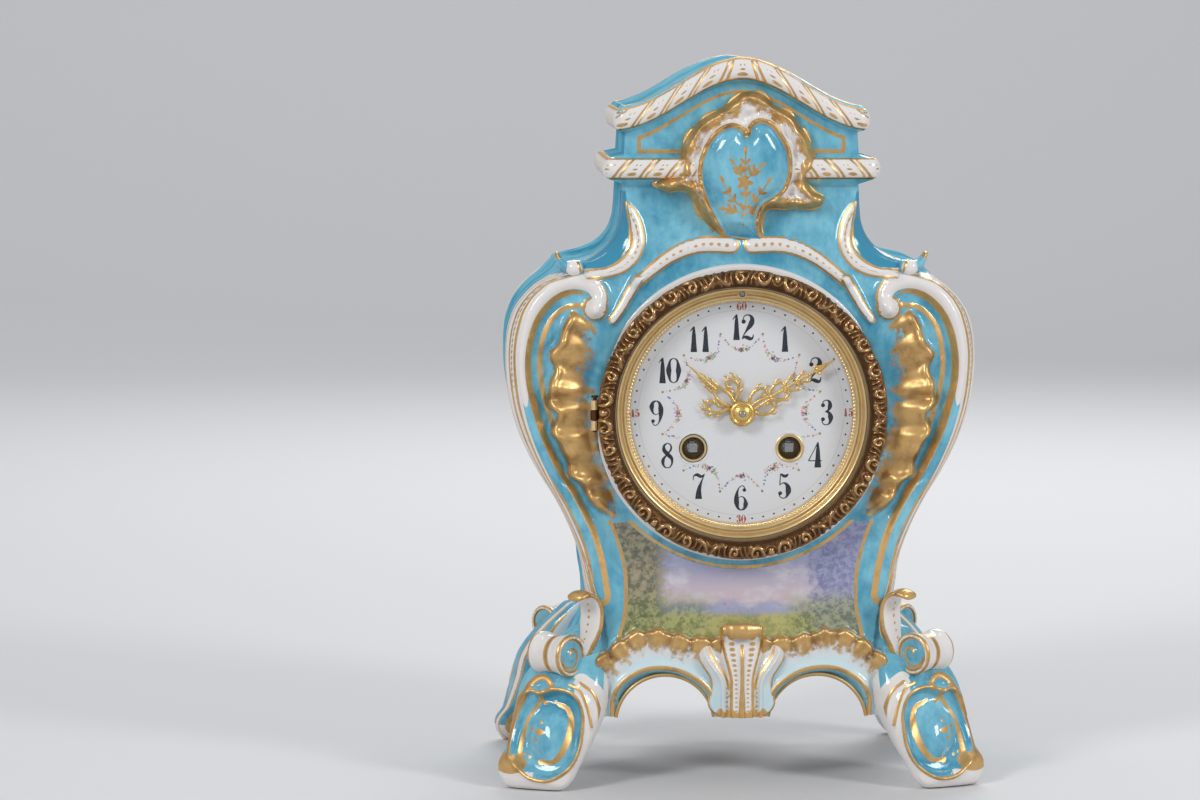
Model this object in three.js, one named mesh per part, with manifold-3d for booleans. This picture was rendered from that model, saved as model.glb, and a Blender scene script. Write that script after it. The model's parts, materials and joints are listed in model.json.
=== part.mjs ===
// Porcelain mantel clock with a round French striking movement.
// Millimetres, +Z up, +X to the viewer's right, the dial faces -Y.
// The origin is the middle of the clock's footprint, on the surface it stands on.
import * as THREE from 'three';
import { mergeVertices } from 'three/addons/utils/BufferGeometryUtils.js';
import Module from 'manifold-3d';

const wasm = await Module();
wasm.setup();

// Clearances
const SEAT_GAP = 0.3;
const PIVOT_GAP = 0.25;

// Porcelain case: heights above the table
const CASE_HEIGHT = 285;
const PEDIMENT_RISE = 23;
const FRIEZE_TOP = CASE_HEIGHT - PEDIMENT_RISE;
const FRIEZE_HEIGHT = 20.5;
const LOWER_CORNICE_HEIGHT = FRIEZE_TOP - FRIEZE_HEIGHT;
const CORNICE_THICKNESS = 9;
const CORNICE_END_DROP = 20;
const CARTOUCHE_TOP_DROP = 13.5;
const CARTOUCHE_FOOT_SHARE = 0.4466;
const SHOULDER_HEIGHT = 190;
const DIAL_HEIGHT = 146;
const APRON_BOTTOM = 26.5;
const ARCH_TOP = 43;
const ACANTHUS_TOP_DROP = 10;
const ACANTHUS_ROLL_RADIUS = 4;
const WAIST_HEIGHT = 76;
const LOWER_VOLUTE_HEIGHT = 52;

// Porcelain case: widths and depths, as halves from the middle plane
const SHOULDER_HALF_WIDTH = 92;
const WAIST_HALF_WIDTH = 60.5;
const BASE_HALF_WIDTH = 69;
const NECK_HALF_WIDTH = 42.3;
const FRIEZE_HALF_WIDTH = 45;
const UPPER_CORNICE_HALF_WIDTH = 50.5;
const LOWER_CORNICE_HALF_WIDTH = 54.5;
const BODY_HALF_DEPTH = 46;
const BASE_HALF_DEPTH = 50;
const NECK_HALF_DEPTH = 41;
const CORNICE_OVERHANG = 5.5;
const FOOT_REACH_X = 96;
const FOOT_REACH_Y = 66;
const WALL = 5;
const CORNER_REACH = 9;
const ARCH_HALF_WIDTH = 19.6;
const SIDE_ARCH_HALF_WIDTH = 27;

// Porcelain case: relief that stands proud of the front
const SEAT_STEP = 1.5;
const SCROLL_BAND_WIDTH = 8;
const SCROLL_BAND_DEPTH = 9;
const SCROLL_RELIEF = 3;
const TOP_VOLUTE_RADIUS = 5.6;
const LOWER_VOLUTE_RADIUS = 8.3;
const LOWER_VOLUTE_LENGTH = 17;
const ROCAILLE_RELIEF = 3.2;
const CARTOUCHE_RELIEF = 6;
const BOSS_RELIEF = 4;
const STRAP_RELIEF = 3;

// Front opening, bezel and dial
const FRONT_HOLE_RADIUS = 50.6;
const FRONT_SEAT_RADIUS = 57.6;
const FLANGE_RADIUS = 55;
const FLANGE_THICKNESS = 1.5;
const TUBE_WALL = 1.4;
const TUBE_LENGTH = 8.5;
const BEZEL_RADIUS = 56;
const BEZEL_DEPTH = 9;
const BEZEL_LIP_RADIUS = 49.6;
const BEZEL_LIP_THICKNESS = 3.2;
const GLASS_THICKNESS = 2;
const KNUCKLE_RADIUS = 1.7;
const KNUCKLE_LENGTH = 4;
const BEZEL_PIN_RADIUS = 0.75;
const DIAL_RADIUS = 46.9;
const DIAL_VISIBLE_RADIUS = 45.1;
const DIAL_THICKNESS = 1.4;
const DIAL_CROWN = 1.2;
const DIAL_EDGE_SETBACK = 2.6;
const PAN_THICKNESS = 1;
const WINDING_X = 18.9;
const WINDING_DROP = 13.9;
const WINDING_HOLE_RADIUS = 5.6;
const GROMMET_BORE = 4.5;
const REGULATOR_OFFSET = 46.8;
const REGULATOR_RADIUS = 0.9;

// Hands
const MINUTE_HAND_LENGTH = 42;
const HOUR_HAND_LENGTH = 31;
const MINUTE_HAND_ANGLE = 60;
const HOUR_HAND_ANGLE = -48;
const HAND_THICKNESS = 0.6;
const HAND_SPACING = 1;
const COLLET_RADIUS = 4;

// Round movement between two plates
const PLATE_RADIUS = 38;
const PLATE_THICKNESS = 1.8;
const PLATE_SPACING = 30;
const MOTION_WORK_SPACE = 4.5;
const PILLAR_RADIUS = 2.4;
const PILLAR_CIRCLE = 34.5;
const PILLAR_ANGLES = [20, 160, 250, 290];
const PIVOT_RADIUS = 0.6;
const ARBOR_RADIUS = 1;
const WINDING_ARBOR_RADIUS = 2.2;
const WINDING_SQUARE = 3.4;
const BARREL_DRUM_RADIUS = 12.3;
const BARREL_LENGTH = 12.5;
const WHEEL_TEETH = 24;
const PINION_LEAVES = 6;
const BARREL_MODULE = 1.13;
const CENTRE_MODULE = 0.93;
const ESCAPE_MODULE = 0.67;
const FLY_MODULE = 0.67;
const WHEEL_THICKNESS = 1.3;
const ESCAPE_TEETH = 24;
const ESCAPE_RADIUS = 8;
const PALLET_ARBOR_RISE = 11;
const CANNON_TEETH = 9;
const MINUTE_WHEEL_TEETH = 27;
const CANNON_MODULE = 0.64;
const COUNT_WHEEL_RADIUS = 9;
const FLY_RADIUS = 4;

// Pendulum and bell
const ROD_OFFSET = 10;
const PENDULUM_LENGTH = 100;
const ROD_RADIUS = 0.9;
const BOB_RADIUS = 16;
const BOB_THICKNESS = 7;
const BELL_RADIUS = 30;
const BELL_DEPTH = 14;
const BELL_WALL = 1.2;
const HAMMER_GAP = 1;

// Rear opening
const REAR_HOLE_RADIUS = 46.4;
const REAR_FLANGE_RADIUS = 52;
const REAR_DOOR_RADIUS = 51;
const REAR_DOOR_DOME = 4;
const SOUND_HOLE_RADIUS = 3.6;
const SOUND_HOLE_CIRCLE = 20;
const STRAP_RADIUS = 42.4;
const STRAP_WIDTH = 8;
const STRAP_THICKNESS = 1.6;
const SCREW_RADIUS = 1.5;

const FINISHES = {
  porcelain: { color: 0x6fb6cf, roughness: 0.15, metalness: 0 },
  enamel: { color: 0xf0f2f6, roughness: 0.2, metalness: 0 },
  giltBronze: { color: 0x8c6a34, roughness: 0.4, metalness: 1 },
  gilt: { color: 0xd9a64a, roughness: 0.3, metalness: 1 },
  brass: { color: 0xc9a55a, roughness: 0.35, metalness: 1 },
  steel: { color: 0x8f9298, roughness: 0.35, metalness: 1 },
  bellMetal: { color: 0xb9a07a, roughness: 0.3, metalness: 1 },
  glass: { color: 0xe8f0f0, roughness: 0.05, metalness: 0 },
};

const clock = new THREE.Group();
clock.name = 'porcelain_clock';

// Solids: closed geometries joined and cut as manifolds

function solidOf(geometry) {
  const bare = geometry.clone();
  for (const name of Object.keys(bare.attributes)) {
    if (name !== 'position') {
      bare.deleteAttribute(name);
    }
  }
  if (!bare.index) {
    const count = bare.attributes.position.count;
    bare.setIndex([...Array(count).keys()]);
  }
  const merged = mergeVertices(bare, 1e-4);
  const mesh = new wasm.Mesh({
    numProp: 3,
    vertProperties: new Float32Array(merged.attributes.position.array),
    triVerts: new Uint32Array(merged.index.array),
  });
  const solid = new wasm.Manifold(mesh);
  if (solid.volume() > 0) {
    return solid;
  }
  const flipped = Uint32Array.from(mesh.triVerts);
  for (let i = 0; i < flipped.length; i += 3) {
    [flipped[i], flipped[i + 1]] = [flipped[i + 1], flipped[i]];
  }
  return new wasm.Manifold(new wasm.Mesh({
    numProp: 3,
    vertProperties: mesh.vertProperties,
    triVerts: flipped,
  }));
}

function geometryOf(solid) {
  const mesh = solid.getMesh();
  const geometry = new THREE.BufferGeometry();
  geometry.setAttribute('position', new THREE.BufferAttribute(mesh.vertProperties, 3));
  geometry.setIndex(new THREE.BufferAttribute(mesh.triVerts, 1));
  geometry.computeVertexNormals();
  return geometry;
}

const join = (solids) => solids.reduce((sum, next) => sum.add(next));
const cut = (solid, cutters) => solid.subtract(join(cutters));

function addPart(name, solid, finish) {
  const mesh = new THREE.Mesh(geometryOf(solid), new THREE.MeshStandardMaterial(FINISHES[finish]));
  mesh.name = name;
  clock.add(mesh);
}

// Basic forms. Across means in the dial's plane: x to the right, z up.

function block(x0, x1, y0, y1, z0, z1) {
  const box = new THREE.BoxGeometry(x1 - x0, y1 - y0, z1 - z0);
  box.translate((x0 + x1) / 2, (y0 + y1) / 2, (z0 + z1) / 2);
  return solidOf(box);
}

function rod(radius, yFront, yBack, x, z, sides = 16) {
  const cylinder = new THREE.CylinderGeometry(radius, radius, yBack - yFront, sides);
  cylinder.translate(x, (yFront + yBack) / 2, z);
  return solidOf(cylinder);
}

function post(radius, zLow, zHigh, x, y, sides = 12) {
  const cylinder = new THREE.CylinderGeometry(radius, radius, zHigh - zLow, sides);
  cylinder.rotateX(Math.PI / 2);
  cylinder.translate(x, y, (zLow + zHigh) / 2);
  return solidOf(cylinder);
}

// A profile of [radius, y] points turned about an axis parallel to Y.
function turned(profile, x, z, sides = 26) {
  const points = profile.map(([radius, y]) => new THREE.Vector2(radius, y));
  const first = profile[0];
  const last = profile[profile.length - 1];
  if (first[0] !== 0 || last[0] !== 0) {
    points.push(new THREE.Vector2(first[0], first[1]));
  }
  const lathe = new THREE.LatheGeometry(points, sides);
  lathe.translate(x, 0, z);
  return solidOf(lathe);
}

function plate(shape, yFront, yBack, curveSegments = 8) {
  const settings = { depth: yBack - yFront, bevelEnabled: false, curveSegments };
  const slab = new THREE.ExtrudeGeometry(shape, settings);
  slab.rotateX(Math.PI / 2);
  slab.translate(0, yBack, 0);
  return solidOf(slab);
}

function outline(points) {
  return new THREE.Shape(points.map(([x, z]) => new THREE.Vector2(x, z)));
}

function smoothOutline(points, divisions) {
  const curve = new THREE.CatmullRomCurve3(points.map(([x, z]) => new THREE.Vector3(x, z, 0)), true);
  return outline(curve.getPoints(divisions).slice(0, divisions).map((p) => [p.x, p.y]));
}

// A closed skin over rings of points, with a flat fan at each end.
function loft(rings) {
  const sides = rings[0].length;
  const positions = rings.flat().flatMap((p) => [p.x, p.y, p.z]);
  const index = [];
  for (let r = 0; r + 1 < rings.length; r++) {
    for (let s = 0; s < sides; s++) {
      const a = r * sides + s;
      const b = r * sides + ((s + 1) % sides);
      index.push(a, b, b + sides, a, b + sides, a + sides);
    }
  }
  for (const [ring, turn] of [[0, -1], [rings.length - 1, 1]]) {
    const centre = positions.length / 3;
    const middle = rings[ring].reduce((sum, p) => sum.add(p), new THREE.Vector3());
    middle.divideScalar(sides);
    positions.push(middle.x, middle.y, middle.z);
    for (let s = 0; s < sides; s++) {
      const a = ring * sides + s;
      const b = ring * sides + ((s + 1) % sides);
      index.push(...(turn > 0 ? [centre, a, b] : [centre, b, a]));
    }
  }
  const geometry = new THREE.BufferGeometry();
  geometry.setAttribute('position', new THREE.Float32BufferAttribute(positions, 3));
  geometry.setIndex(index);
  return solidOf(geometry);
}

// A rounded bar swept along a smooth path across the front. Its width lies in the dial's
// plane, its depth along Y, and both follow the share of the path covered, from 0 to 1.
function scroll({ path, steps, width, depth, y, side = 1, sides = 8 }) {
  const curve = new THREE.CatmullRomCurve3(path.map(([x, z]) => new THREE.Vector3(side * x, 0, z)));
  const rings = [];
  for (let i = 0; i <= steps; i++) {
    const share = i / steps;
    const point = curve.getPoint(share);
    const along = curve.getTangent(share);
    const across = new THREE.Vector3(-along.z, 0, along.x);
    const ring = [];
    for (let s = 0; s < sides; s++) {
      const angle = ((s + 0.5) / sides) * 2 * Math.PI;
      const offset = across.clone().multiplyScalar(Math.cos(angle) * width(share) / 2);
      offset.y = y(share) + Math.sin(angle) * depth(share) / 2;
      ring.push(point.clone().add(offset));
    }
    rings.push(ring);
  }
  return loft(rings);
}

// Smooth value between named stations [height, value].
function between(stations, height) {
  const last = stations.length - 1;
  if (height <= stations[0][0]) {
    return stations[0][1];
  }
  if (height >= stations[last][0]) {
    return stations[last][1];
  }
  const i = stations.findIndex(([h], k) => height >= h && height <= stations[k + 1][0]);
  const [h0, v0] = stations[i];
  const [h1, v1] = stations[i + 1];
  const before = stations[Math.max(i - 1, 0)];
  const after = stations[Math.min(i + 2, last)];
  const slope0 = ((v1 - before[1]) / (h1 - before[0])) * (h1 - h0);
  const slope1 = ((after[1] - v0) / (after[0] - h0)) * (h1 - h0);
  const t = (height - h0) / (h1 - h0);
  const t2 = t * t;
  const t3 = t2 * t;
  return (2 * t3 - 3 * t2 + 1) * v0 + (t3 - 2 * t2 + t) * slope0
    + (3 * t2 - 2 * t3) * v1 + (t3 - t2) * slope1;
}

// Porcelain case

// Heights as shares of the apron, of the flank from waist to shoulder, and of the neck above.
const upApron = (share) => APRON_BOTTOM + share * (WAIST_HEIGHT - APRON_BOTTOM);
const upFlank = (share) => WAIST_HEIGHT + share * (SHOULDER_HEIGHT - WAIST_HEIGHT);
const upNeck = (share) => SHOULDER_HEIGHT + share * (LOWER_CORNICE_HEIGHT - SHOULDER_HEIGHT);

// Half widths of the flank at each height, and how far the front edge lies inside it, because
// the corner between them is a wide hollow moulding.
const WIDTH_STATIONS = [
  [APRON_BOTTOM, BASE_HALF_WIDTH + 1],
  [LOWER_VOLUTE_HEIGHT - 2, BASE_HALF_WIDTH - 3],
  [WAIST_HEIGHT - 16, WAIST_HALF_WIDTH + 0.5],
  [WAIST_HEIGHT - 6, WAIST_HALF_WIDTH],
  [upFlank(0.0965), WAIST_HALF_WIDTH + 2.3],
  [upFlank(0.1991), WAIST_HALF_WIDTH + 6.1],
  [upFlank(0.3158), SHOULDER_HALF_WIDTH - 19],
  [upFlank(0.4079), SHOULDER_HALF_WIDTH - 12.4],
  [upFlank(0.5237), SHOULDER_HALF_WIDTH - 5.8],
  [upFlank(0.6439), SHOULDER_HALF_WIDTH - 1.6],
  [upFlank(0.7368), SHOULDER_HALF_WIDTH],
  [upFlank(0.8333), SHOULDER_HALF_WIDTH + 0.2],
  [upFlank(0.9211), SHOULDER_HALF_WIDTH - 1.2],
  [upFlank(0.9912), SHOULDER_HALF_WIDTH - 5],
  [upNeck(0.0971), SHOULDER_HALF_WIDTH - 10.5],
  [upNeck(0.1748), SHOULDER_HALF_WIDTH - 18],
  [upNeck(0.2233), SHOULDER_HALF_WIDTH - 26.5],
  [upNeck(0.2621), NECK_HALF_WIDTH + 13.7],
  [upNeck(0.3204), NECK_HALF_WIDTH + 6.2],
  [upNeck(0.4078), NECK_HALF_WIDTH + 1.3],
  [upNeck(0.5437), NECK_HALF_WIDTH],
  [upNeck(0.835), NECK_HALF_WIDTH + 3.3],
  [upNeck(0.932), FRIEZE_HALF_WIDTH + 1],
  [FRIEZE_TOP, FRIEZE_HALF_WIDTH],
];
const FRONT_EDGE_INSET = [
  [APRON_BOTTOM, 8],
  [WAIST_HEIGHT - 16, 6],
  [WAIST_HEIGHT - 6, 5],
  [upFlank(0.0789), 2.7],
  [upFlank(0.3158), 2.2],
  [upFlank(0.5263), 4.2],
  [upFlank(0.8246), 4.2],
  [upNeck(0.0777), 3],
  [upNeck(0.1748), 6],
  [upNeck(0.3107), 2],
  [upNeck(0.5437), 0.8],
  [FRIEZE_TOP, 0.3],
];

const DEPTH_STATIONS = [
  [APRON_BOTTOM, BASE_HALF_DEPTH],
  [LOWER_VOLUTE_HEIGHT - 6, BASE_HALF_DEPTH - 0.5],
  [WAIST_HEIGHT - 16, BODY_HALF_DEPTH + 1],
  [WAIST_HEIGHT, BODY_HALF_DEPTH],
  [SHOULDER_HEIGHT, BODY_HALF_DEPTH],
  [upNeck(0.2718), BODY_HALF_DEPTH - 1.5],
  [upNeck(0.5825), NECK_HALF_DEPTH],
  [FRIEZE_TOP, NECK_HALF_DEPTH],
];

// One level ring of the body, of twelve points: two or three at each hollow corner.
function bodyRing(height, inset) {
  const flank = between(WIDTH_STATIONS, height) - inset;
  const edge = flank - between(FRONT_EDGE_INSET, height);
  const halfDepth = between(DEPTH_STATIONS, height) - inset;
  const corner = [
    [flank, halfDepth - CORNER_REACH],
    [edge + (flank - edge) * 0.65, halfDepth - CORNER_REACH * 0.3],
    [edge, halfDepth],
  ];
  const ring = [];
  for (const [sx, sy] of [[1, 1], [-1, 1], [-1, -1], [1, -1]]) {
    const points = corner.map(([x, y]) => new THREE.Vector3(sx * x, sy * y, height));
    ring.push(...(sx * sy > 0 ? points : points.reverse()));
  }
  return ring;
}

function bodyLoft(heights, inset) {
  return loft(heights.map((height) => bodyRing(height, inset)));
}

// The cornice's centre line falls from the apex to the two ends in an S on each side.
function corniceHeight(x) {
  const share = Math.min(Math.abs(x) / UPPER_CORNICE_HALF_WIDTH, 1);
  const apex = CASE_HEIGHT - CORNICE_THICKNESS / 2;
  return apex - CORNICE_END_DROP * (1 - Math.cos(Math.PI * share ** 0.95)) / 2;
}

function pediment() {
  const steps = 12;
  const reach = UPPER_CORNICE_HALF_WIDTH;
  const upper = [];
  const lower = [];
  for (let i = 0; i <= steps; i++) {
    const x = reach * (2 * i / steps - 1);
    upper.push([x, corniceHeight(x) + CORNICE_THICKNESS / 2]);
    lower.push([x, corniceHeight(x) - CORNICE_THICKNESS / 2]);
  }
  const front = -(NECK_HALF_DEPTH + CORNICE_OVERHANG);
  const cornice = plate(outline([...upper, ...lower.reverse()]), front, -front);
  const inner = FRIEZE_HALF_WIDTH;
  const crown = upper.filter(([x]) => Math.abs(x) < inner).map(
    ([x, z]) => [x, z - CORNICE_THICKNESS / 2],
  );
  const base = LOWER_CORNICE_HEIGHT;
  const filling = plate(
    outline([[-inner, base], ...crown, [inner, base]].reverse()),
    -NECK_HALF_DEPTH,
    NECK_HALF_DEPTH,
  );
  return cornice.add(filling);
}

function lowerCornice() {
  const reach = LOWER_CORNICE_HALF_WIDTH;
  const depth = NECK_HALF_DEPTH + CORNICE_OVERHANG;
  const half = CORNICE_THICKNESS / 2;
  const rings = [];
  for (const [rise, inset] of [[-half, 3.5], [-half * 0.6, 1], [0, 0], [half * 0.6, 1], [half, 3.5]]) {
    const x = reach - inset;
    const y = depth - inset;
    const z = LOWER_CORNICE_HEIGHT + rise;
    const corner = 2;
    const ring = [];
    for (const [sx, sy] of [[1, 1], [-1, 1], [-1, -1], [1, -1]]) {
      const a = new THREE.Vector3(sx * x, sy * (y - corner), z);
      const b = new THREE.Vector3(sx * (x - corner), sy * y, z);
      ring.push(...(sx * sy > 0 ? [a, b] : [b, a]));
    }
    rings.push(ring);
  }
  return loft(rings);
}

// The long scroll at each side of the front: from the top volute's eye over the shoulder and
// down the flank to the waist.
const SCROLL_PATH = [
  [58, upNeck(0.0971)],
  [62.8, upNeck(0.1515)],
  [69.5, upNeck(0.1437)],
  [76, upNeck(0.0777)],
  [81.3, upFlank(0.986)],
  [85, upFlank(0.9167)],
  [86.4, upFlank(0.8246)],
  [86, upFlank(0.7368)],
  [83.8, upFlank(0.6404)],
  [79.8, upFlank(0.5298)],
  [74.2, upFlank(0.4211)],
  [66.6, upFlank(0.3105)],
  [60.4, upFlank(0.1974)],
  [57, upFlank(0.0877)],
  [55, WAIST_HEIGHT - 2],
];

function scrollBand(side) {
  return scroll({
    path: SCROLL_PATH,
    steps: 14,
    side,
    sides: 6,
    width: (share) => SCROLL_BAND_WIDTH * (1 - 0.4 * share),
    depth: () => SCROLL_BAND_DEPTH,
    y: () => -(BODY_HALF_DEPTH + SCROLL_RELIEF - SCROLL_BAND_DEPTH / 2),
  });
}

function topVolute(side) {
  const back = -(BODY_HALF_DEPTH - 3);
  const front = -(BODY_HALF_DEPTH + SCROLL_RELIEF);
  return rod(TOP_VOLUTE_RADIUS, front, back, side * 57.8, SHOULDER_HEIGHT - 2.6, 14);
}

// A roll across each corner, whose painted end looks inward and outward at once.
function lowerVolute(side, face) {
  const roll = new THREE.CylinderGeometry(
    LOWER_VOLUTE_RADIUS, LOWER_VOLUTE_RADIUS, LOWER_VOLUTE_LENGTH, 14,
  );
  const eye = new THREE.CylinderGeometry(
    LOWER_VOLUTE_RADIUS * 0.4, LOWER_VOLUTE_RADIUS * 0.4, LOWER_VOLUTE_LENGTH + 1.6, 8,
  );
  const turn = side * face * Math.PI / 4;
  const solids = [roll, eye].map((cylinder) => {
    cylinder.rotateZ(turn);
    cylinder.translate(side * 70.5, face * 44.5, LOWER_VOLUTE_HEIGHT - 1);
    return solidOf(cylinder);
  });
  return join(solids);
}

// A leafy spur that curls outward below the end of each long scroll.
function spur(side, face) {
  return scroll({
    path: [
      [59, WAIST_HEIGHT - 18], [61, WAIST_HEIGHT - 10], [63.5, WAIST_HEIGHT - 3],
      [68, WAIST_HEIGHT + 1.5], [72, WAIST_HEIGHT - 0.5],
    ],
    steps: 6,
    side,
    sides: 6,
    width: (share) => 9 * (1 - 0.7 * share),
    depth: (share) => 8 * (1 - 0.4 * share),
    y: () => face * (BODY_HALF_DEPTH + 0.5),
  });
}

// Stations down a foot: x, y, height, half width across its face, half thickness.
const FOOT_STATIONS = [
  [61, 36, 60, 9, 9],
  [66.5, 40.5, 50, 15.5, 11],
  [70.5, 43.5, 39, 19, 11],
  [73, 46.5, 28, 19.5, 9.5],
  [77.5, 51, 17, 19.5, 7.5],
  [81.5, 56, 8, 18.5, 6.5],
  [84.5, 59.5, 2, 16, 6],
  [85, 60, -4, 14, 5.5],
];

function foot(side, face) {
  const faceTurn = 0.42;
  const wide = new THREE.Vector3(Math.cos(faceTurn), -Math.sin(faceTurn), 0);
  const out = new THREE.Vector3(Math.sin(faceTurn), Math.cos(faceTurn), 0);
  const rings = FOOT_STATIONS.map(([x, y, z, halfWidth, halfThickness]) => {
    const ring = [];
    for (let s = 0; s < 8; s++) {
      const angle = (s / 8) * 2 * Math.PI;
      const power = 0.75;
      const a = Math.sign(Math.cos(angle)) * Math.abs(Math.cos(angle)) ** power * halfWidth;
      const b = Math.sign(Math.sin(angle)) * Math.abs(Math.sin(angle)) ** power * halfThickness;
      const point = new THREE.Vector3(x, y, z).addScaledVector(wide, a).addScaledVector(out, b);
      point.x = Math.min(point.x, FOOT_REACH_X);
      point.y = Math.min(point.y, FOOT_REACH_Y);
      ring.push(new THREE.Vector3(side * point.x, face * point.y, point.z));
    }
    return ring;
  });
  const below = block(-FOOT_REACH_X - 9, FOOT_REACH_X + 9, -FOOT_REACH_Y - 9, FOOT_REACH_Y + 9, -30, 0);
  return loft(rings).subtract(below);
}

// An arched opening, square below and half an ellipse above.
function archShape(x, halfWidth) {
  const spring = APRON_BOTTOM - 3;
  const shape = new THREE.Shape();
  shape.absellipse(x, spring, halfWidth, ARCH_TOP - spring, 0, Math.PI, false);
  shape.lineTo(x - halfWidth, spring - 17);
  shape.lineTo(x + halfWidth, spring - 17);
  return shape;
}

function apronArches() {
  const arches = [-30, 30].map((x) => plate(archShape(x, ARCH_HALF_WIDTH), -80, 80, 9));
  const settings = { depth: 240, bevelEnabled: false, curveSegments: 9 };
  const slab = new THREE.ExtrudeGeometry(archShape(0, SIDE_ARCH_HALF_WIDTH), settings);
  slab.rotateX(Math.PI / 2);
  slab.rotateZ(Math.PI / 2);
  slab.translate(-120, 0, 0);
  arches.push(solidOf(slab));
  return arches;
}

// The acanthus shell in the middle of the apron, rolled over at its top.
function acanthus(face) {
  const root = APRON_BOTTOM - 0.5;
  const top = WAIST_HEIGHT - ACANTHUS_TOP_DROP;
  const half = [[7, 0.075], [17, 0.2], [18, 0.425], [12, 0.525], [9, 0.725], [9, 0.925]];
  const mirrored = half.map(([x, share]) => [-x, share]).reverse();
  const leaf = smoothOutline(
    [[0, 0], ...half, [0, 1], ...mirrored].map(([x, share]) => [x, root + share * (top - root)]),
    28,
  );
  const inner = face * (BASE_HALF_DEPTH - 12);
  const outer = face * (BASE_HALF_DEPTH + 2);
  const body = plate(leaf, Math.min(inner, outer), Math.max(inner, outer));
  const roll = new THREE.CylinderGeometry(ACANTHUS_ROLL_RADIUS, ACANTHUS_ROLL_RADIUS, 18, 12);
  roll.rotateZ(Math.PI / 2);
  roll.translate(0, face * (BASE_HALF_DEPTH + 1), top - ACANTHUS_ROLL_RADIUS);
  return body.add(solidOf(roll));
}

function apronCrest(side, face) {
  return scroll({
    path: [[57, -8], [53, -1], [46, 4.5], [34, 7], [22, 4.5], [12, 3]].map(
      ([x, rise]) => [x, LOWER_VOLUTE_HEIGHT + rise],
    ),
    steps: 8,
    side,
    sides: 6,
    width: (share) => 8 * (1 - 0.2 * share),
    depth: () => 7,
    y: () => face * (BASE_HALF_DEPTH - 2),
  });
}

// Rocaille: a rippled crescent between the long scroll and the dial opening.
function rocaille(side, face) {
  return scroll({
    path: [
      [64, SHOULDER_HEIGHT - 7], [67, SHOULDER_HEIGHT - 18], [68.5, DIAL_HEIGHT + 12],
      [66, DIAL_HEIGHT - 8], [59, DIAL_HEIGHT - 26], [51, DIAL_HEIGHT - 40],
    ],
    steps: 12,
    side,
    sides: 6,
    width: (share) => 4 + 9 * Math.sin(Math.PI * share) + 1.2 * Math.sin(share * 8 * Math.PI),
    depth: (share) => ROCAILLE_RELIEF * 2 + 0.8 * Math.sin(share * 8 * Math.PI),
    y: () => face * (BODY_HALF_DEPTH - 0.6),
  });
}

// The cartouche over the frieze: a wavy shield with a domed heart. Each outline point is an x and
// a share of the way from the cartouche's foot, on the neck, to its top, under the pediment's crown.
const CARTOUCHE_FOOT = upNeck(CARTOUCHE_FOOT_SHARE);
const CARTOUCHE_TOP = CASE_HEIGHT - CARTOUCHE_TOP_DROP;
const upCartouche = (share) => CARTOUCHE_FOOT + share * (CARTOUCHE_TOP - CARTOUCHE_FOOT);
const CARTOUCHE_OUTLINE = [
  [2, 1], [10, 0.9402], [16, 0.8376], [21, 0.7179], [24, 0.5983],
  [31, 0.4957], [33, 0.3761], [24, 0.3419], [15, 0.2735], [8, 0.1538],
  [4, 0.0171], [-2, 0], [-6, 0.1538], [-13, 0.2906], [-20, 0.3932],
  [-31, 0.4274], [-33, 0.5128], [-25, 0.5812], [-23, 0.735], [-18, 0.8547],
  [-9, 0.9573],
].map(([x, share]) => [x, upCartouche(share)]);
const HEART_OUTLINE = [
  [0, 0.7009], [7, 0.735], [14, 0.6496], [16, 0.5128], [12, 0.3419],
  [5, 0.1709], [0, 0.0342], [-5, 0.1709], [-12, 0.3419], [-15.5, 0.5128],
  [-13, 0.6496], [-6, 0.735],
].map(([x, share]) => [x, upCartouche(share)]);
const HEART_MIDDLE = upCartouche(0.4615);

function cartouche(face) {
  const front = NECK_HALF_DEPTH + CORNICE_OVERHANG;
  const shield = smoothOutline(CARTOUCHE_OUTLINE, 26);
  const inner = face * (NECK_HALF_DEPTH - 3);
  const outer = face * (front + CARTOUCHE_RELIEF - 3.5);
  const body = plate(shield, Math.min(inner, outer), Math.max(inner, outer));
  const rings = [[1, 0], [0.8, 0.6], [0.4, 0.95]].map(([scale, rise]) => {
    const shape = smoothOutline(HEART_OUTLINE, 16).getPoints();
    const y = face * (front + CARTOUCHE_RELIEF - 4.5 + rise * (BOSS_RELIEF + 2));
    const height = (p) => HEART_MIDDLE + (p.y - HEART_MIDDLE) * scale;
    return shape.map((p) => new THREE.Vector3(p.x * scale, y, height(p)));
  });
  return body.add(loft(rings));
}

function neckScroll(side, face) {
  return scroll({
    path: [
      [42, 0.7961], [40, 0.6019], [43, 0.4272], [51, 0.3107],
      [61, 0.2718], [69, 0.3204], [72.5, 0.4078],
    ].map(([x, share]) => [x, upNeck(share)]),
    steps: 9,
    side,
    sides: 6,
    width: (share) => 7 - 3.6 * share,
    depth: (share) => 16 - 6 * share,
    y: () => face * (NECK_HALF_DEPTH - 4),
  });
}

function dialStrap(side, face) {
  return scroll({
    path: [
      [4, 0.4272], [12, 0.4563], [22, 0.4078], [31, 0.2913], [38, 0.1456],
    ].map(([x, share]) => [x, upNeck(share)]),
    steps: 7,
    side,
    sides: 6,
    width: (share) => 6 - 1.5 * Math.abs(2 * share - 1),
    depth: () => STRAP_RELIEF * 2,
    y: () => face * (BODY_HALF_DEPTH - 0.8),
  });
}

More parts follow.
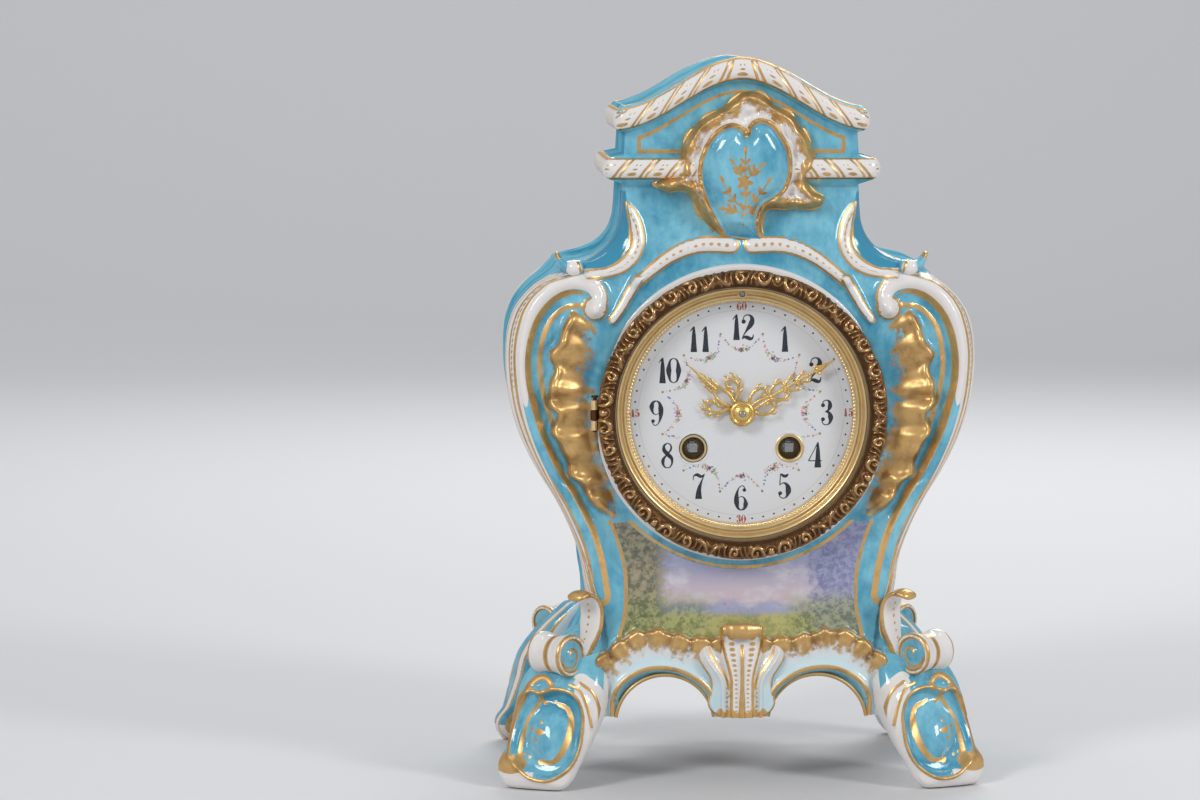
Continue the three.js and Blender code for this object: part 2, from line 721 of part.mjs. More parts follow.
// The levels of the body's rings, outside and inside, as shares of apron, flank and neck.
const OUTER_APRON_LEVELS = [0, 0.3131, 0.5556, 0.7576, 0.9596];
const OUTER_FLANK_LEVELS = [
  0.0877, 0.193, 0.3158, 0.4211, 0.5263, 0.6316, 0.7368, 0.8421, 0.9298, 0.9912,
];
const OUTER_NECK_LEVELS = [
  0.0971, 0.1748, 0.2233, 0.2621, 0.3204, 0.4078, 0.5437, 0.699, 0.835, 0.9709,
];
const INNER_APRON_LEVELS = [0.3737, 0.7576];
const INNER_FLANK_LEVELS = [0, 0.2105, 0.4737, 0.7368, 0.9474];
const INNER_NECK_LEVELS = [0.1165, 0.3495, 0.5825, 0.8544];

function porcelainCase() {
  const outerHeights = [
    ...OUTER_APRON_LEVELS.map(upApron),
    ...OUTER_FLANK_LEVELS.map(upFlank),
    ...OUTER_NECK_LEVELS.map(upNeck),
  ];
  const innerHeights = [
    APRON_BOTTOM - WALL,
    ...INNER_APRON_LEVELS.map(upApron),
    ...INNER_FLANK_LEVELS.map(upFlank),
    ...INNER_NECK_LEVELS.map(upNeck),
  ];
  const parts = [bodyLoft(outerHeights, 0), pediment(), lowerCornice()];
  for (const face of [-1, 1]) {
    parts.push(rod(
      face < 0 ? FRONT_SEAT_RADIUS : REAR_FLANGE_RADIUS + 2,
      face < 0 ? -(BODY_HALF_DEPTH + SEAT_STEP) : BODY_HALF_DEPTH - 3,
      face < 0 ? -(BODY_HALF_DEPTH - 3) : BODY_HALF_DEPTH + SEAT_STEP,
      0,
      DIAL_HEIGHT,
      32,
    ));
    for (const side of [-1, 1]) {
      parts.push(lowerVolute(side, face), foot(side, face));
    }
  }
  for (const side of [-1, 1]) {
    parts.push(scrollBand(side), topVolute(side), spur(side, -1), apronCrest(side, -1));
    parts.push(rocaille(side, -1), neckScroll(side, -1), dialStrap(side, -1));
  }
  parts.push(cartouche(-1), acanthus(-1));
  const cavity = bodyLoft(innerHeights, WALL);
  const holes = [
    rod(FRONT_HOLE_RADIUS, -BODY_HALF_DEPTH - 9, -BODY_HALF_DEPTH / 2, 0, DIAL_HEIGHT, 32),
    rod(REAR_HOLE_RADIUS, BODY_HALF_DEPTH / 2, BODY_HALF_DEPTH + 9, 0, DIAL_HEIGHT, 32),
  ];
  const seatFront = -(BODY_HALF_DEPTH + SEAT_STEP);
  const bezelRoom = rod(
    FRONT_SEAT_RADIUS - SEAT_GAP, seatFront - BEZEL_DEPTH, seatFront - SEAT_GAP / 3, 0, DIAL_HEIGHT, 32,
  );
  return cut(join(parts), [cavity, bezelRoom, ...holes, ...apronArches()]);
}

// Front assembly: fixed ring, dial and hinged bezel

const SEAT_Y = -(BODY_HALF_DEPTH + SEAT_STEP);
const FLANGE_BACK = SEAT_Y - SEAT_GAP;
const FLANGE_FRONT = FLANGE_BACK - FLANGE_THICKNESS;
const TUBE_OUTER = FRONT_HOLE_RADIUS - 0.6;
const TUBE_INNER = TUBE_OUTER - TUBE_WALL;
const BEZEL_BACK = FLANGE_FRONT - SEAT_GAP;
const BEZEL_FRONT = BEZEL_BACK - BEZEL_DEPTH;
const GLASS_FRONT = BEZEL_FRONT + BEZEL_LIP_THICKNESS + SEAT_GAP;
const GLASS_BACK = GLASS_FRONT + GLASS_THICKNESS;
const BEZEL_BORE = BEZEL_LIP_RADIUS + 1.8;
const DIAL_EDGE_FRONT = FLANGE_FRONT + DIAL_EDGE_SETBACK + 2;
const DIAL_CENTRE_FRONT = DIAL_EDGE_FRONT - DIAL_CROWN;
const DIAL_BACK = DIAL_EDGE_FRONT + DIAL_THICKNESS;
const PAN_FRONT = DIAL_BACK + SEAT_GAP;
const PAN_BACK = PAN_FRONT + PAN_THICKNESS;
const HINGE_X = -(BEZEL_RADIUS + KNUCKLE_RADIUS);
const HINGE_Y = BEZEL_BACK - KNUCKLE_RADIUS;
const FRONT_PLATE_FRONT = PAN_BACK + MOTION_WORK_SPACE;
const FRONT_PLATE_BACK = FRONT_PLATE_FRONT + PLATE_THICKNESS;
const BACK_PLATE_FRONT = FRONT_PLATE_BACK + PLATE_SPACING;
const BACK_PLATE_BACK = BACK_PLATE_FRONT + PLATE_THICKNESS;
const WINDING_HEIGHT = DIAL_HEIGHT - WINDING_DROP;
const REGULATOR_HEIGHT = DIAL_HEIGHT + REGULATOR_OFFSET;

// Half of a hinge: short knuckles on the pin's axis, each joined to its ring by a web and a leaf.
function knuckles(x, y, leafEnd, leafY0, leafY1, spans) {
  const barrels = spans.map(([low, high]) => {
    const barrel = post(KNUCKLE_RADIUS, low, high, x, y);
    const web = block(x - 1, x + 1, Math.min(y, leafY0), Math.max(y, leafY1), low, high);
    const leaf = block(Math.min(x, leafEnd), Math.max(x, leafEnd), leafY0, leafY1, low, high);
    const bore = post(BEZEL_PIN_RADIUS + SEAT_GAP, low - 1, high + 1, x, y);
    return join([barrel, web, leaf]).subtract(bore);
  });
  return join(barrels);
}

function hingeSpans(middle) {
  const low = DIAL_HEIGHT - KNUCKLE_LENGTH * 1.5;
  const spans = [0, 1, 2].map(
    (i) => [low + i * KNUCKLE_LENGTH, low + (i + 1) * KNUCKLE_LENGTH - SEAT_GAP],
  );
  return middle ? [spans[1]] : [spans[0], spans[2]];
}

function frontAssembly() {
  const flange = turned([
    [TUBE_INNER, FLANGE_FRONT], [FLANGE_RADIUS, FLANGE_FRONT], [FLANGE_RADIUS, FLANGE_BACK],
    [TUBE_OUTER, FLANGE_BACK], [TUBE_OUTER, FLANGE_BACK + TUBE_LENGTH],
    [TUBE_INNER, FLANGE_BACK + TUBE_LENGTH],
  ], 0, DIAL_HEIGHT);
  const fixedKnuckles = knuckles(
    HINGE_X, HINGE_Y, -(FLANGE_RADIUS - 2), FLANGE_FRONT, FLANGE_BACK - 0.2, hingeSpans(false),
  );
  addPart('front_ring', flange.add(fixedKnuckles), 'brass');

  const rim = turned([
    [BEZEL_BORE, BEZEL_BACK], [BEZEL_RADIUS, BEZEL_BACK], [BEZEL_RADIUS, BEZEL_FRONT + 3.5],
    [BEZEL_RADIUS - 1.2, BEZEL_FRONT + 1], [BEZEL_RADIUS - 3.2, BEZEL_FRONT],
    [BEZEL_LIP_RADIUS + 1, BEZEL_FRONT + 0.8], [BEZEL_LIP_RADIUS, BEZEL_FRONT + 2],
    [BEZEL_LIP_RADIUS, BEZEL_FRONT + BEZEL_LIP_THICKNESS],
    [BEZEL_BORE, BEZEL_FRONT + BEZEL_LIP_THICKNESS],
  ], 0, DIAL_HEIGHT);
  const movingKnuckle = knuckles(
    HINGE_X, HINGE_Y, -(BEZEL_RADIUS - 2), HINGE_Y - 0.6, BEZEL_BACK, hingeSpans(true),
  );
  addPart('bezel_rim', rim.add(movingKnuckle), 'giltBronze');
  addPart('bezel_glass', turned([
    [0, GLASS_BACK], [BEZEL_BORE - SEAT_GAP, GLASS_BACK],
    [BEZEL_BORE - SEAT_GAP, GLASS_FRONT], [0, GLASS_FRONT],
  ], 0, DIAL_HEIGHT), 'glass');
  const pinReach = KNUCKLE_LENGTH * 1.5 + 0.8;
  const pinHead = post(
    KNUCKLE_RADIUS - 0.3, DIAL_HEIGHT + pinReach, DIAL_HEIGHT + pinReach + 0.8, HINGE_X, HINGE_Y,
  );
  const pin = post(
    BEZEL_PIN_RADIUS, DIAL_HEIGHT - pinReach, DIAL_HEIGHT + pinReach + 0.4, HINGE_X, HINGE_Y, 8,
  );
  addPart('bezel_hinge_pin', pin.add(pinHead), 'brass');

  const surround = turned([
    [DIAL_VISIBLE_RADIUS, DIAL_EDGE_FRONT - SEAT_GAP],
    [TUBE_INNER - SEAT_GAP, DIAL_EDGE_FRONT - SEAT_GAP],
    [TUBE_INNER - SEAT_GAP, FLANGE_FRONT], [BEZEL_LIP_RADIUS - 0.4, FLANGE_FRONT - SEAT_GAP],
    [BEZEL_LIP_RADIUS - 0.6, FLANGE_FRONT - 1.2], [DIAL_VISIBLE_RADIUS + 0.6, DIAL_EDGE_FRONT - 1.6],
    [DIAL_VISIBLE_RADIUS, DIAL_EDGE_FRONT - 1.2],
  ], 0, DIAL_HEIGHT);
  const keyHole = rod(REGULATOR_RADIUS + 0.7, FLANGE_FRONT - 4, DIAL_BACK + 4, 0, REGULATOR_HEIGHT, 10);
  addPart('dial_surround', surround.subtract(keyHole), 'gilt');

  const windingHoles = [-1, 1].map((side) => (
    rod(WINDING_HOLE_RADIUS, DIAL_CENTRE_FRONT - 1, PAN_BACK + 1, side * WINDING_X, WINDING_HEIGHT, 20)
  ));
  const dialNotch = rod(
    REGULATOR_RADIUS + 0.7, DIAL_CENTRE_FRONT - 1, PAN_BACK + 1, 0, REGULATOR_HEIGHT, 10,
  );
  const dial = turned([
    [0, DIAL_BACK], [DIAL_RADIUS, DIAL_BACK], [DIAL_RADIUS, DIAL_EDGE_FRONT],
    [DIAL_RADIUS * 0.6, DIAL_EDGE_FRONT - DIAL_CROWN * 0.65],
    [0, DIAL_CENTRE_FRONT],
  ], 0, DIAL_HEIGHT);
  const pipeHole = rod(HOUR_PIPE_RADIUS + 0.4, DIAL_CENTRE_FRONT - 1, PAN_BACK + 1, 0, DIAL_HEIGHT, 14);
  addPart('enamel_dial', cut(dial, [...windingHoles, dialNotch, pipeHole]), 'enamel');

  const pan = turned([
    [0, PAN_BACK], [TUBE_INNER - SEAT_GAP, PAN_BACK], [TUBE_INNER - SEAT_GAP, PAN_FRONT], [0, PAN_FRONT],
  ], 0, DIAL_HEIGHT);
  const feet = [30, 150, 270].map((angle) => {
    const turn = THREE.MathUtils.degToRad(angle);
    const x = 33 * Math.cos(turn);
    return rod(
      1.6, PAN_BACK - 0.2, FRONT_PLATE_FRONT - SEAT_GAP, x, DIAL_HEIGHT + 33 * Math.sin(turn), 10,
    );
  });
  addPart('dial_pan', cut(join([pan, ...feet]), [...windingHoles, dialNotch, pipeHole]), 'brass');

  for (const [name, side] of [['left_grommet', -1], ['right_grommet', 1]]) {
    const outer = WINDING_HOLE_RADIUS - SEAT_GAP;
    const face = DIAL_CENTRE_FRONT + 0.1;
    addPart(name, turned([
      [GROMMET_BORE, face], [outer, face], [outer, PAN_BACK - 0.2], [GROMMET_BORE, PAN_BACK - 0.2],
    ], side * WINDING_X, WINDING_HEIGHT, 20), 'brass');
  }
  const key = rod(REGULATOR_RADIUS, FLANGE_FRONT + 1.5, COCK_FRONT - SEAT_GAP, 0, REGULATOR_HEIGHT, 8);
  addPart('regulator_arbor', key, 'steel');
}

// Hands and the motion work behind the dial

const HOUR_HAND_BACK = DIAL_CENTRE_FRONT - HAND_SPACING;
const HOUR_HAND_FRONT = HOUR_HAND_BACK - HAND_THICKNESS;
const MINUTE_HAND_BACK = HOUR_HAND_FRONT - HAND_SPACING;
const MINUTE_HAND_FRONT = MINUTE_HAND_BACK - HAND_THICKNESS;
const HAND_HUB_RADIUS = 3.6;

function ringSector(x, z, radius, width, from, to) {
  const shape = new THREE.Shape();
  shape.absarc(x, z, radius + width / 2, from, to, false);
  shape.absarc(x, z, radius - width / 2, to, from, true);
  return shape;
}

// A pierced hand pointing up: a hub, pairs of C scrolls that shrink towards the tip, a point.
function hand(length, pairs, yFront, yBack, bore, angle) {
  const pieces = [rod(HAND_HUB_RADIUS, yFront, yBack, 0, 0, 14)];
  for (const [height, radius] of pairs) {
    for (const side of [-1, 1]) {
      const mirror = side > 0 ? [-2.5, 2.1] : [Math.PI - 2.1, Math.PI + 2.5];
      const shape = ringSector(side * radius * 0.8, height, radius, 0.9, ...mirror);
      pieces.push(plate(shape, yFront, yBack, 3));
    }
  }
  const start = HAND_HUB_RADIUS - 0.5;
  const stem = outline(
    [[-0.55, start], [0.55, start], [0.9, length * 0.8], [0, length], [-0.9, length * 0.8]],
  );
  pieces.push(plate(stem, yFront, yBack));
  const pierced = join(pieces).subtract(rod(bore, yFront - 1, yBack + 1, 0, 0, 12));
  return pierced.rotate([0, angle, 0]).translate([0, 0, DIAL_HEIGHT]);
}

// A wheel outline with pointed teeth, one of them centred at the phase angle.
function toothedShape(teeth, module, phase) {
  const tip = (teeth * module) / 2 + 0.7 * module;
  const root = (teeth * module) / 2 - 1.1 * module;
  const pitch = (2 * Math.PI) / teeth;
  const points = [];
  for (let i = 0; i < teeth; i++) {
    for (const [share, radius] of [[-0.25, root], [0, tip], [0.25, root]]) {
      const angle = phase + (i + share) * pitch;
      points.push([radius * Math.cos(angle), radius * Math.sin(angle)]);
    }
  }
  return outline(points);
}

function wheel(teeth, module, phase, yFront, yBack, x, z) {
  return plate(toothedShape(teeth, module, phase), yFront, yBack).translate([x, 0, z]);
}

const directionTo = (from, to) => Math.atan2(to[1] - from[1], to[0] - from[0]);

// The follower's phase leaves a gap where the driver has a tooth on the line of centres.
const followerPhase = (from, to, teeth) => directionTo(to, from) + Math.PI / teeth;

const MOTION_FRONT = PAN_BACK + 0.6;
const MOTION_BACK = FRONT_PLATE_FRONT - 0.4;
const MINUTE_PIPE_RADIUS = 1.6;
const HOUR_PIPE_RADIUS = 2.8;
const HOUR_WHEEL_TEETH = 24;
const MINUTE_PINION_LEAVES = 6;
const MOTION_DISTANCE = (CANNON_MODULE * (CANNON_TEETH + MINUTE_WHEEL_TEETH)) / 2;
const HOUR_MODULE = (2 * MOTION_DISTANCE) / (HOUR_WHEEL_TEETH + MINUTE_PINION_LEAVES);

function handsAndMotionWork() {
  const minutePairs = [[10, 3.6], [19, 3], [27, 2]];
  const hourPairs = [[8.5, 3.2], [16.5, 4.6]];
  addPart('minute_hand', hand(
    MINUTE_HAND_LENGTH, minutePairs, MINUTE_HAND_FRONT, MINUTE_HAND_BACK, MINUTE_PIPE_RADIUS + SEAT_GAP,
    MINUTE_HAND_ANGLE,
  ), 'gilt');
  addPart('hour_hand', hand(
    HOUR_HAND_LENGTH, hourPairs, HOUR_HAND_FRONT, HOUR_HAND_BACK, HOUR_PIPE_RADIUS - 0.5 + SEAT_GAP,
    HOUR_HAND_ANGLE,
  ), 'gilt');
  const colletBack = MINUTE_HAND_FRONT - SEAT_GAP;
  addPart('hand_collet', turned([
    [0, colletBack - 2], [1.6, colletBack - 1.8],
    [COLLET_RADIUS, colletBack - 0.7], [COLLET_RADIUS, colletBack],
    [0, colletBack],
  ], 0, DIAL_HEIGHT, 20), 'brass');

  const centre = [0, 0];
  const minuteArbor = [0, -MOTION_DISTANCE];
  const down = directionTo(centre, minuteArbor);
  const z = DIAL_HEIGHT;
  const middle = (MOTION_FRONT + MOTION_BACK) / 2;
  const bore = rod(ARBOR_RADIUS + SEAT_GAP, MINUTE_HAND_FRONT - 1, FRONT_PLATE_FRONT + 1, 0, z, 10);
  const cannon = join([
    rod(MINUTE_PIPE_RADIUS, MINUTE_HAND_FRONT, MOTION_BACK, 0, z, 12),
    wheel(CANNON_TEETH, CANNON_MODULE, down, middle + 0.3, MOTION_BACK, 0, z),
  ]);
  addPart('cannon_pinion', cannon.subtract(bore), 'steel');
  const hourWheel = join([
    rod(HOUR_PIPE_RADIUS, HOUR_HAND_BACK + SEAT_GAP, MOTION_FRONT + 1, 0, z, 14),
    rod(HOUR_PIPE_RADIUS - 0.5, HOUR_HAND_FRONT, MOTION_FRONT + 1, 0, z, 14),
    wheel(HOUR_WHEEL_TEETH, HOUR_MODULE, down, MOTION_FRONT, MOTION_FRONT + 1.1, 0, z),
  ]);
  const hourBore = rod(MINUTE_PIPE_RADIUS + PIVOT_GAP, HOUR_HAND_FRONT - 1, MOTION_BACK, 0, z, 12);
  addPart('hour_wheel', hourWheel.subtract(hourBore), 'brass');
  const minuteX = minuteArbor[0];
  const minuteZ = z + minuteArbor[1];
  const minuteWheel = join([
    wheel(
      MINUTE_WHEEL_TEETH, CANNON_MODULE, followerPhase(centre, minuteArbor, MINUTE_WHEEL_TEETH),
      middle + 0.3, MOTION_BACK, minuteX, minuteZ,
    ),
    wheel(
      MINUTE_PINION_LEAVES, HOUR_MODULE, followerPhase(centre, minuteArbor, MINUTE_PINION_LEAVES),
      MOTION_FRONT, middle + 0.5, minuteX, minuteZ,
    ),
    rod(PIVOT_RADIUS, MOTION_BACK - 0.5, FRONT_PLATE_BACK, minuteX, minuteZ, 8),
  ]);
  addPart('minute_wheel', minuteWheel, 'brass');
}

// Movement plates, pillars and the two trains. Places are [x, rise] from the dial's centre.

const GOING_BARREL_AT = [WINDING_X, -WINDING_DROP];
const STRIKE_BARREL_AT = [-WINDING_X, -WINDING_DROP];
const BARREL_DISTANCE = (BARREL_MODULE * (WHEEL_TEETH + PINION_LEAVES)) / 2;
const CENTRE_DISTANCE = (CENTRE_MODULE * (WHEEL_TEETH + PINION_LEAVES)) / 2;
const ESCAPE_DISTANCE = (ESCAPE_MODULE * (WHEEL_TEETH + PINION_LEAVES)) / 2;
const FLY_DISTANCE = (FLY_MODULE * (WHEEL_TEETH + PINION_LEAVES)) / 2;

// The third corner of a triangle with known sides from two given corners, on the upper side.
function thirdCorner(from, reachFrom, to, reachTo) {
  const base = Math.hypot(to[0] - from[0], to[1] - from[1]);
  const cosine = (reachFrom ** 2 + base ** 2 - reachTo ** 2) / (2 * reachFrom * base);
  const turn = Math.acos(cosine) * (from[0] > to[0] ? -1 : 1);
  const candidates = [1, -1].map((sign) => {
    const angle = directionTo(from, to) + sign * turn;
    return [from[0] + reachFrom * Math.cos(angle), from[1] + reachFrom * Math.sin(angle)];
  });
  return candidates[0][1] > candidates[1][1] ? candidates[0] : candidates[1];
}

const stepFrom = (from, distance, degrees) => {
  const turn = THREE.MathUtils.degToRad(degrees);
  return [from[0] + distance * Math.cos(turn), from[1] + distance * Math.sin(turn)];
};

const CENTRE_AT = [0, 0];
const INTERMEDIATE_AT = thirdCorner(CENTRE_AT, CENTRE_DISTANCE, GOING_BARREL_AT, BARREL_DISTANCE);
const STRIKE_SECOND_AT = [-INTERMEDIATE_AT[0], INTERMEDIATE_AT[1]];
const THIRD_AT = [0, CENTRE_DISTANCE];
const ESCAPE_AT = [0, CENTRE_DISTANCE + ESCAPE_DISTANCE];
const PALLETS_AT = [0, ESCAPE_AT[1] + PALLET_ARBOR_RISE];
const PIN_WHEEL_AT = stepFrom(STRIKE_SECOND_AT, CENTRE_DISTANCE, 118);
const FLY_AT = stepFrom(PIN_WHEEL_AT, FLY_DISTANCE, 40);
const HAMMER_AT = [-32, -1];
const PENDULUM_HEIGHT = DIAL_HEIGHT + PALLETS_AT[1];

// Planes of the trains, counted back from the front plate
const plane = (depth) => FRONT_PLATE_BACK + depth;
const BARREL_TEETH_AT = 3 + BARREL_LENGTH;
const BARREL_TEETH_WIDTH = 2.6;
const INTERMEDIATE_PLANE = 21.4;
const CENTRE_PLANE = 25.2;
const THIRD_PLANE = 12;
const ESCAPE_PLANE = 5;
const STRIKE_SECOND_PLANE = 18.7;
const PIN_WHEEL_PLANE = 8;

// Rear side: pallet cock, crutch and rod
const CRUTCH_Y = BACK_PLATE_BACK + 1.5;
const COCK_FRONT = BACK_PLATE_BACK + 5;
const COCK_BACK = COCK_FRONT + 1.6;
const ROD_Y = BACK_PLATE_BACK + ROD_OFFSET;

function arbor(at, radius = ARBOR_RADIUS, front = 0.3, back = PLATE_SPACING - 0.3) {
  const z = DIAL_HEIGHT + at[1];
  return join([
    rod(radius, plane(front), plane(back), at[0], z, 8),
    rod(PIVOT_RADIUS, FRONT_PLATE_FRONT + 0.2, BACK_PLATE_BACK - 0.2, at[0], z, 8),
  ]);
}

// A driven pinion and a driving wheel on one arbor.
function trainWheel(at, pinion, driving) {
  const z = DIAL_HEIGHT + at[1];
  const pieces = [arbor(at)];
  if (pinion) {
    const phase = followerPhase(pinion.driver, at, PINION_LEAVES);
    const [near, far] = pinion.span;
    pieces.push(wheel(PINION_LEAVES, pinion.module, phase, plane(near), plane(far), at[0], z));
  }
  if (driving) {
    const phase = directionTo(at, driving.follower);
    const near = plane(driving.depth);
    pieces.push(wheel(WHEEL_TEETH, driving.module, phase, near, near + WHEEL_THICKNESS, at[0], z));
  }
  return join(pieces);
}

function barrel(at, follower) {
  const z = DIAL_HEIGHT + at[1];
  const teeth = wheel(
    WHEEL_TEETH, BARREL_MODULE, directionTo(at, follower), plane(BARREL_TEETH_AT),
    plane(BARREL_TEETH_AT + BARREL_TEETH_WIDTH), at[0], z,
  );
  const drum = rod(BARREL_DRUM_RADIUS, plane(3), plane(BARREL_TEETH_AT + 0.5), at[0], z, 24);
  const bore = rod(WINDING_ARBOR_RADIUS + SEAT_GAP, plane(0), plane(PLATE_SPACING), at[0], z, 12);
  return join([drum, teeth]).subtract(bore);
}

function windingArbor(at) {
  const z = DIAL_HEIGHT + at[1];
  const half = WINDING_SQUARE / 2;
  return join([
    rod(WINDING_ARBOR_RADIUS, FRONT_PLATE_FRONT - 1, plane(PLATE_SPACING - 0.4), at[0], z, 12),
    rod(WINDING_ARBOR_RADIUS - 0.9, plane(PLATE_SPACING - 1), BACK_PLATE_BACK - 0.2, at[0], z, 10),
    block(at[0] - half, at[0] + half, DIAL_EDGE_FRONT + 1.2, FRONT_PLATE_FRONT - 0.5, z - half, z + half),
  ]);
}

function plates() {
  const pivotBore = PIVOT_RADIUS + PIVOT_GAP + 0.1;
  const windingBore = WINDING_ARBOR_RADIUS + SEAT_GAP;
  const pivots = [
    INTERMEDIATE_AT, THIRD_AT, ESCAPE_AT, STRIKE_SECOND_AT, PIN_WHEEL_AT, FLY_AT,
  ];
  const pivotHoles = [...pivots, CENTRE_AT, PALLETS_AT, HAMMER_AT].map(([x, rise]) => (
    rod(pivotBore, FRONT_PLATE_FRONT - 1, BACK_PLATE_BACK + 1, x, DIAL_HEIGHT + rise, 8)
  ));
  const centreHole = rod(
    ARBOR_RADIUS + SEAT_GAP, FRONT_PLATE_FRONT - 1, FRONT_PLATE_BACK + 1, 0, DIAL_HEIGHT, 10,
  );
  const minuteHole = rod(
    pivotBore, FRONT_PLATE_FRONT - 1, FRONT_PLATE_BACK + 1, 0, DIAL_HEIGHT - MOTION_DISTANCE, 8,
  );
  const rearPivots = [PALLETS_AT, HAMMER_AT, STRIKE_SECOND_AT].map(([x, rise]) => (
    rod(ARBOR_RADIUS + SEAT_GAP, BACK_PLATE_FRONT - 1, BACK_PLATE_BACK + 1, x, DIAL_HEIGHT + rise, 8)
  ));
  const barrels = [GOING_BARREL_AT, STRIKE_BARREL_AT];
  const frontBarrelHoles = barrels.map(([x, rise]) => (
    rod(windingBore, FRONT_PLATE_FRONT - 1, FRONT_PLATE_BACK + 1, x, DIAL_HEIGHT + rise, 12)
  ));
  const backBarrelHoles = barrels.map(([x, rise]) => (
    rod(WINDING_ARBOR_RADIUS - 0.6, BACK_PLATE_FRONT - 1, BACK_PLATE_BACK + 1, x, DIAL_HEIGHT + rise, 10)
  ));
  const front = rod(PLATE_RADIUS, FRONT_PLATE_FRONT, FRONT_PLATE_BACK, 0, DIAL_HEIGHT, 32);
  const back = rod(PLATE_RADIUS, BACK_PLATE_FRONT, BACK_PLATE_BACK, 0, DIAL_HEIGHT, 32);
  const pillarPlaces = PILLAR_ANGLES.map((degrees) => stepFrom([0, DIAL_HEIGHT], PILLAR_CIRCLE, degrees));
  const pillarHoles = pillarPlaces.map(([x, z]) => (
    rod(PILLAR_RADIUS * 0.5 + SEAT_GAP, BACK_PLATE_FRONT - 1, BACK_PLATE_BACK + 1, x, z, 8)
  ));
  addPart(
    'front_plate', cut(front, [...pivotHoles, centreHole, minuteHole, ...frontBarrelHoles]), 'brass',
  );
  addPart(
    'back_plate', cut(back, [...pivotHoles, ...rearPivots, ...backBarrelHoles, ...pillarHoles]), 'brass',
  );
  pillarPlaces.forEach(([x, z], i) => {
    const shaft = rod(PILLAR_RADIUS, FRONT_PLATE_BACK + SEAT_GAP, BACK_PLATE_FRONT - SEAT_GAP, x, z, 10);
    const neck = rod(PILLAR_RADIUS * 0.5, BACK_PLATE_FRONT - 1, BACK_PLATE_BACK + 2, x, z, 8);
    addPart(`pillar_${i + 1}`, shaft.add(neck), 'brass');
    const nut = turned([
      [PILLAR_RADIUS * 0.5 + SEAT_GAP, BACK_PLATE_BACK + SEAT_GAP],
      [PILLAR_RADIUS, BACK_PLATE_BACK + SEAT_GAP],
      [PILLAR_RADIUS, BACK_PLATE_BACK + 1.8], [PILLAR_RADIUS * 0.5 + SEAT_GAP, BACK_PLATE_BACK + 1.8],
    ], x, z, 6);
    addPart(`pillar_nut_${i + 1}`, nut, 'brass');
  });
}

function escapeWheel() {
  const z = DIAL_HEIGHT + ESCAPE_AT[1];
  const pitch = (2 * Math.PI) / ESCAPE_TEETH;
  const points = [];
  for (let i = 0; i < ESCAPE_TEETH; i++) {
    const angle = Math.PI / 2 + (i + 0.5) * pitch;
    points.push([ESCAPE_RADIUS * Math.cos(angle), ESCAPE_RADIUS * Math.sin(angle)]);
    const gap = angle + pitch / 2;
    points.push([(ESCAPE_RADIUS - 1.6) * Math.cos(gap), (ESCAPE_RADIUS - 1.6) * Math.sin(gap)]);
  }
  const near = plane(ESCAPE_PLANE);
  const rim = plate(outline(points), near, near + WHEEL_THICKNESS).translate([0, 0, z]);
  const pinion = wheel(
    PINION_LEAVES, ESCAPE_MODULE, followerPhase(THIRD_AT, ESCAPE_AT, PINION_LEAVES),
    plane(THIRD_PLANE - 0.8), plane(THIRD_PLANE + 2.2), 0, z,
  );
  return join([arbor(ESCAPE_AT), rim, pinion]);
}

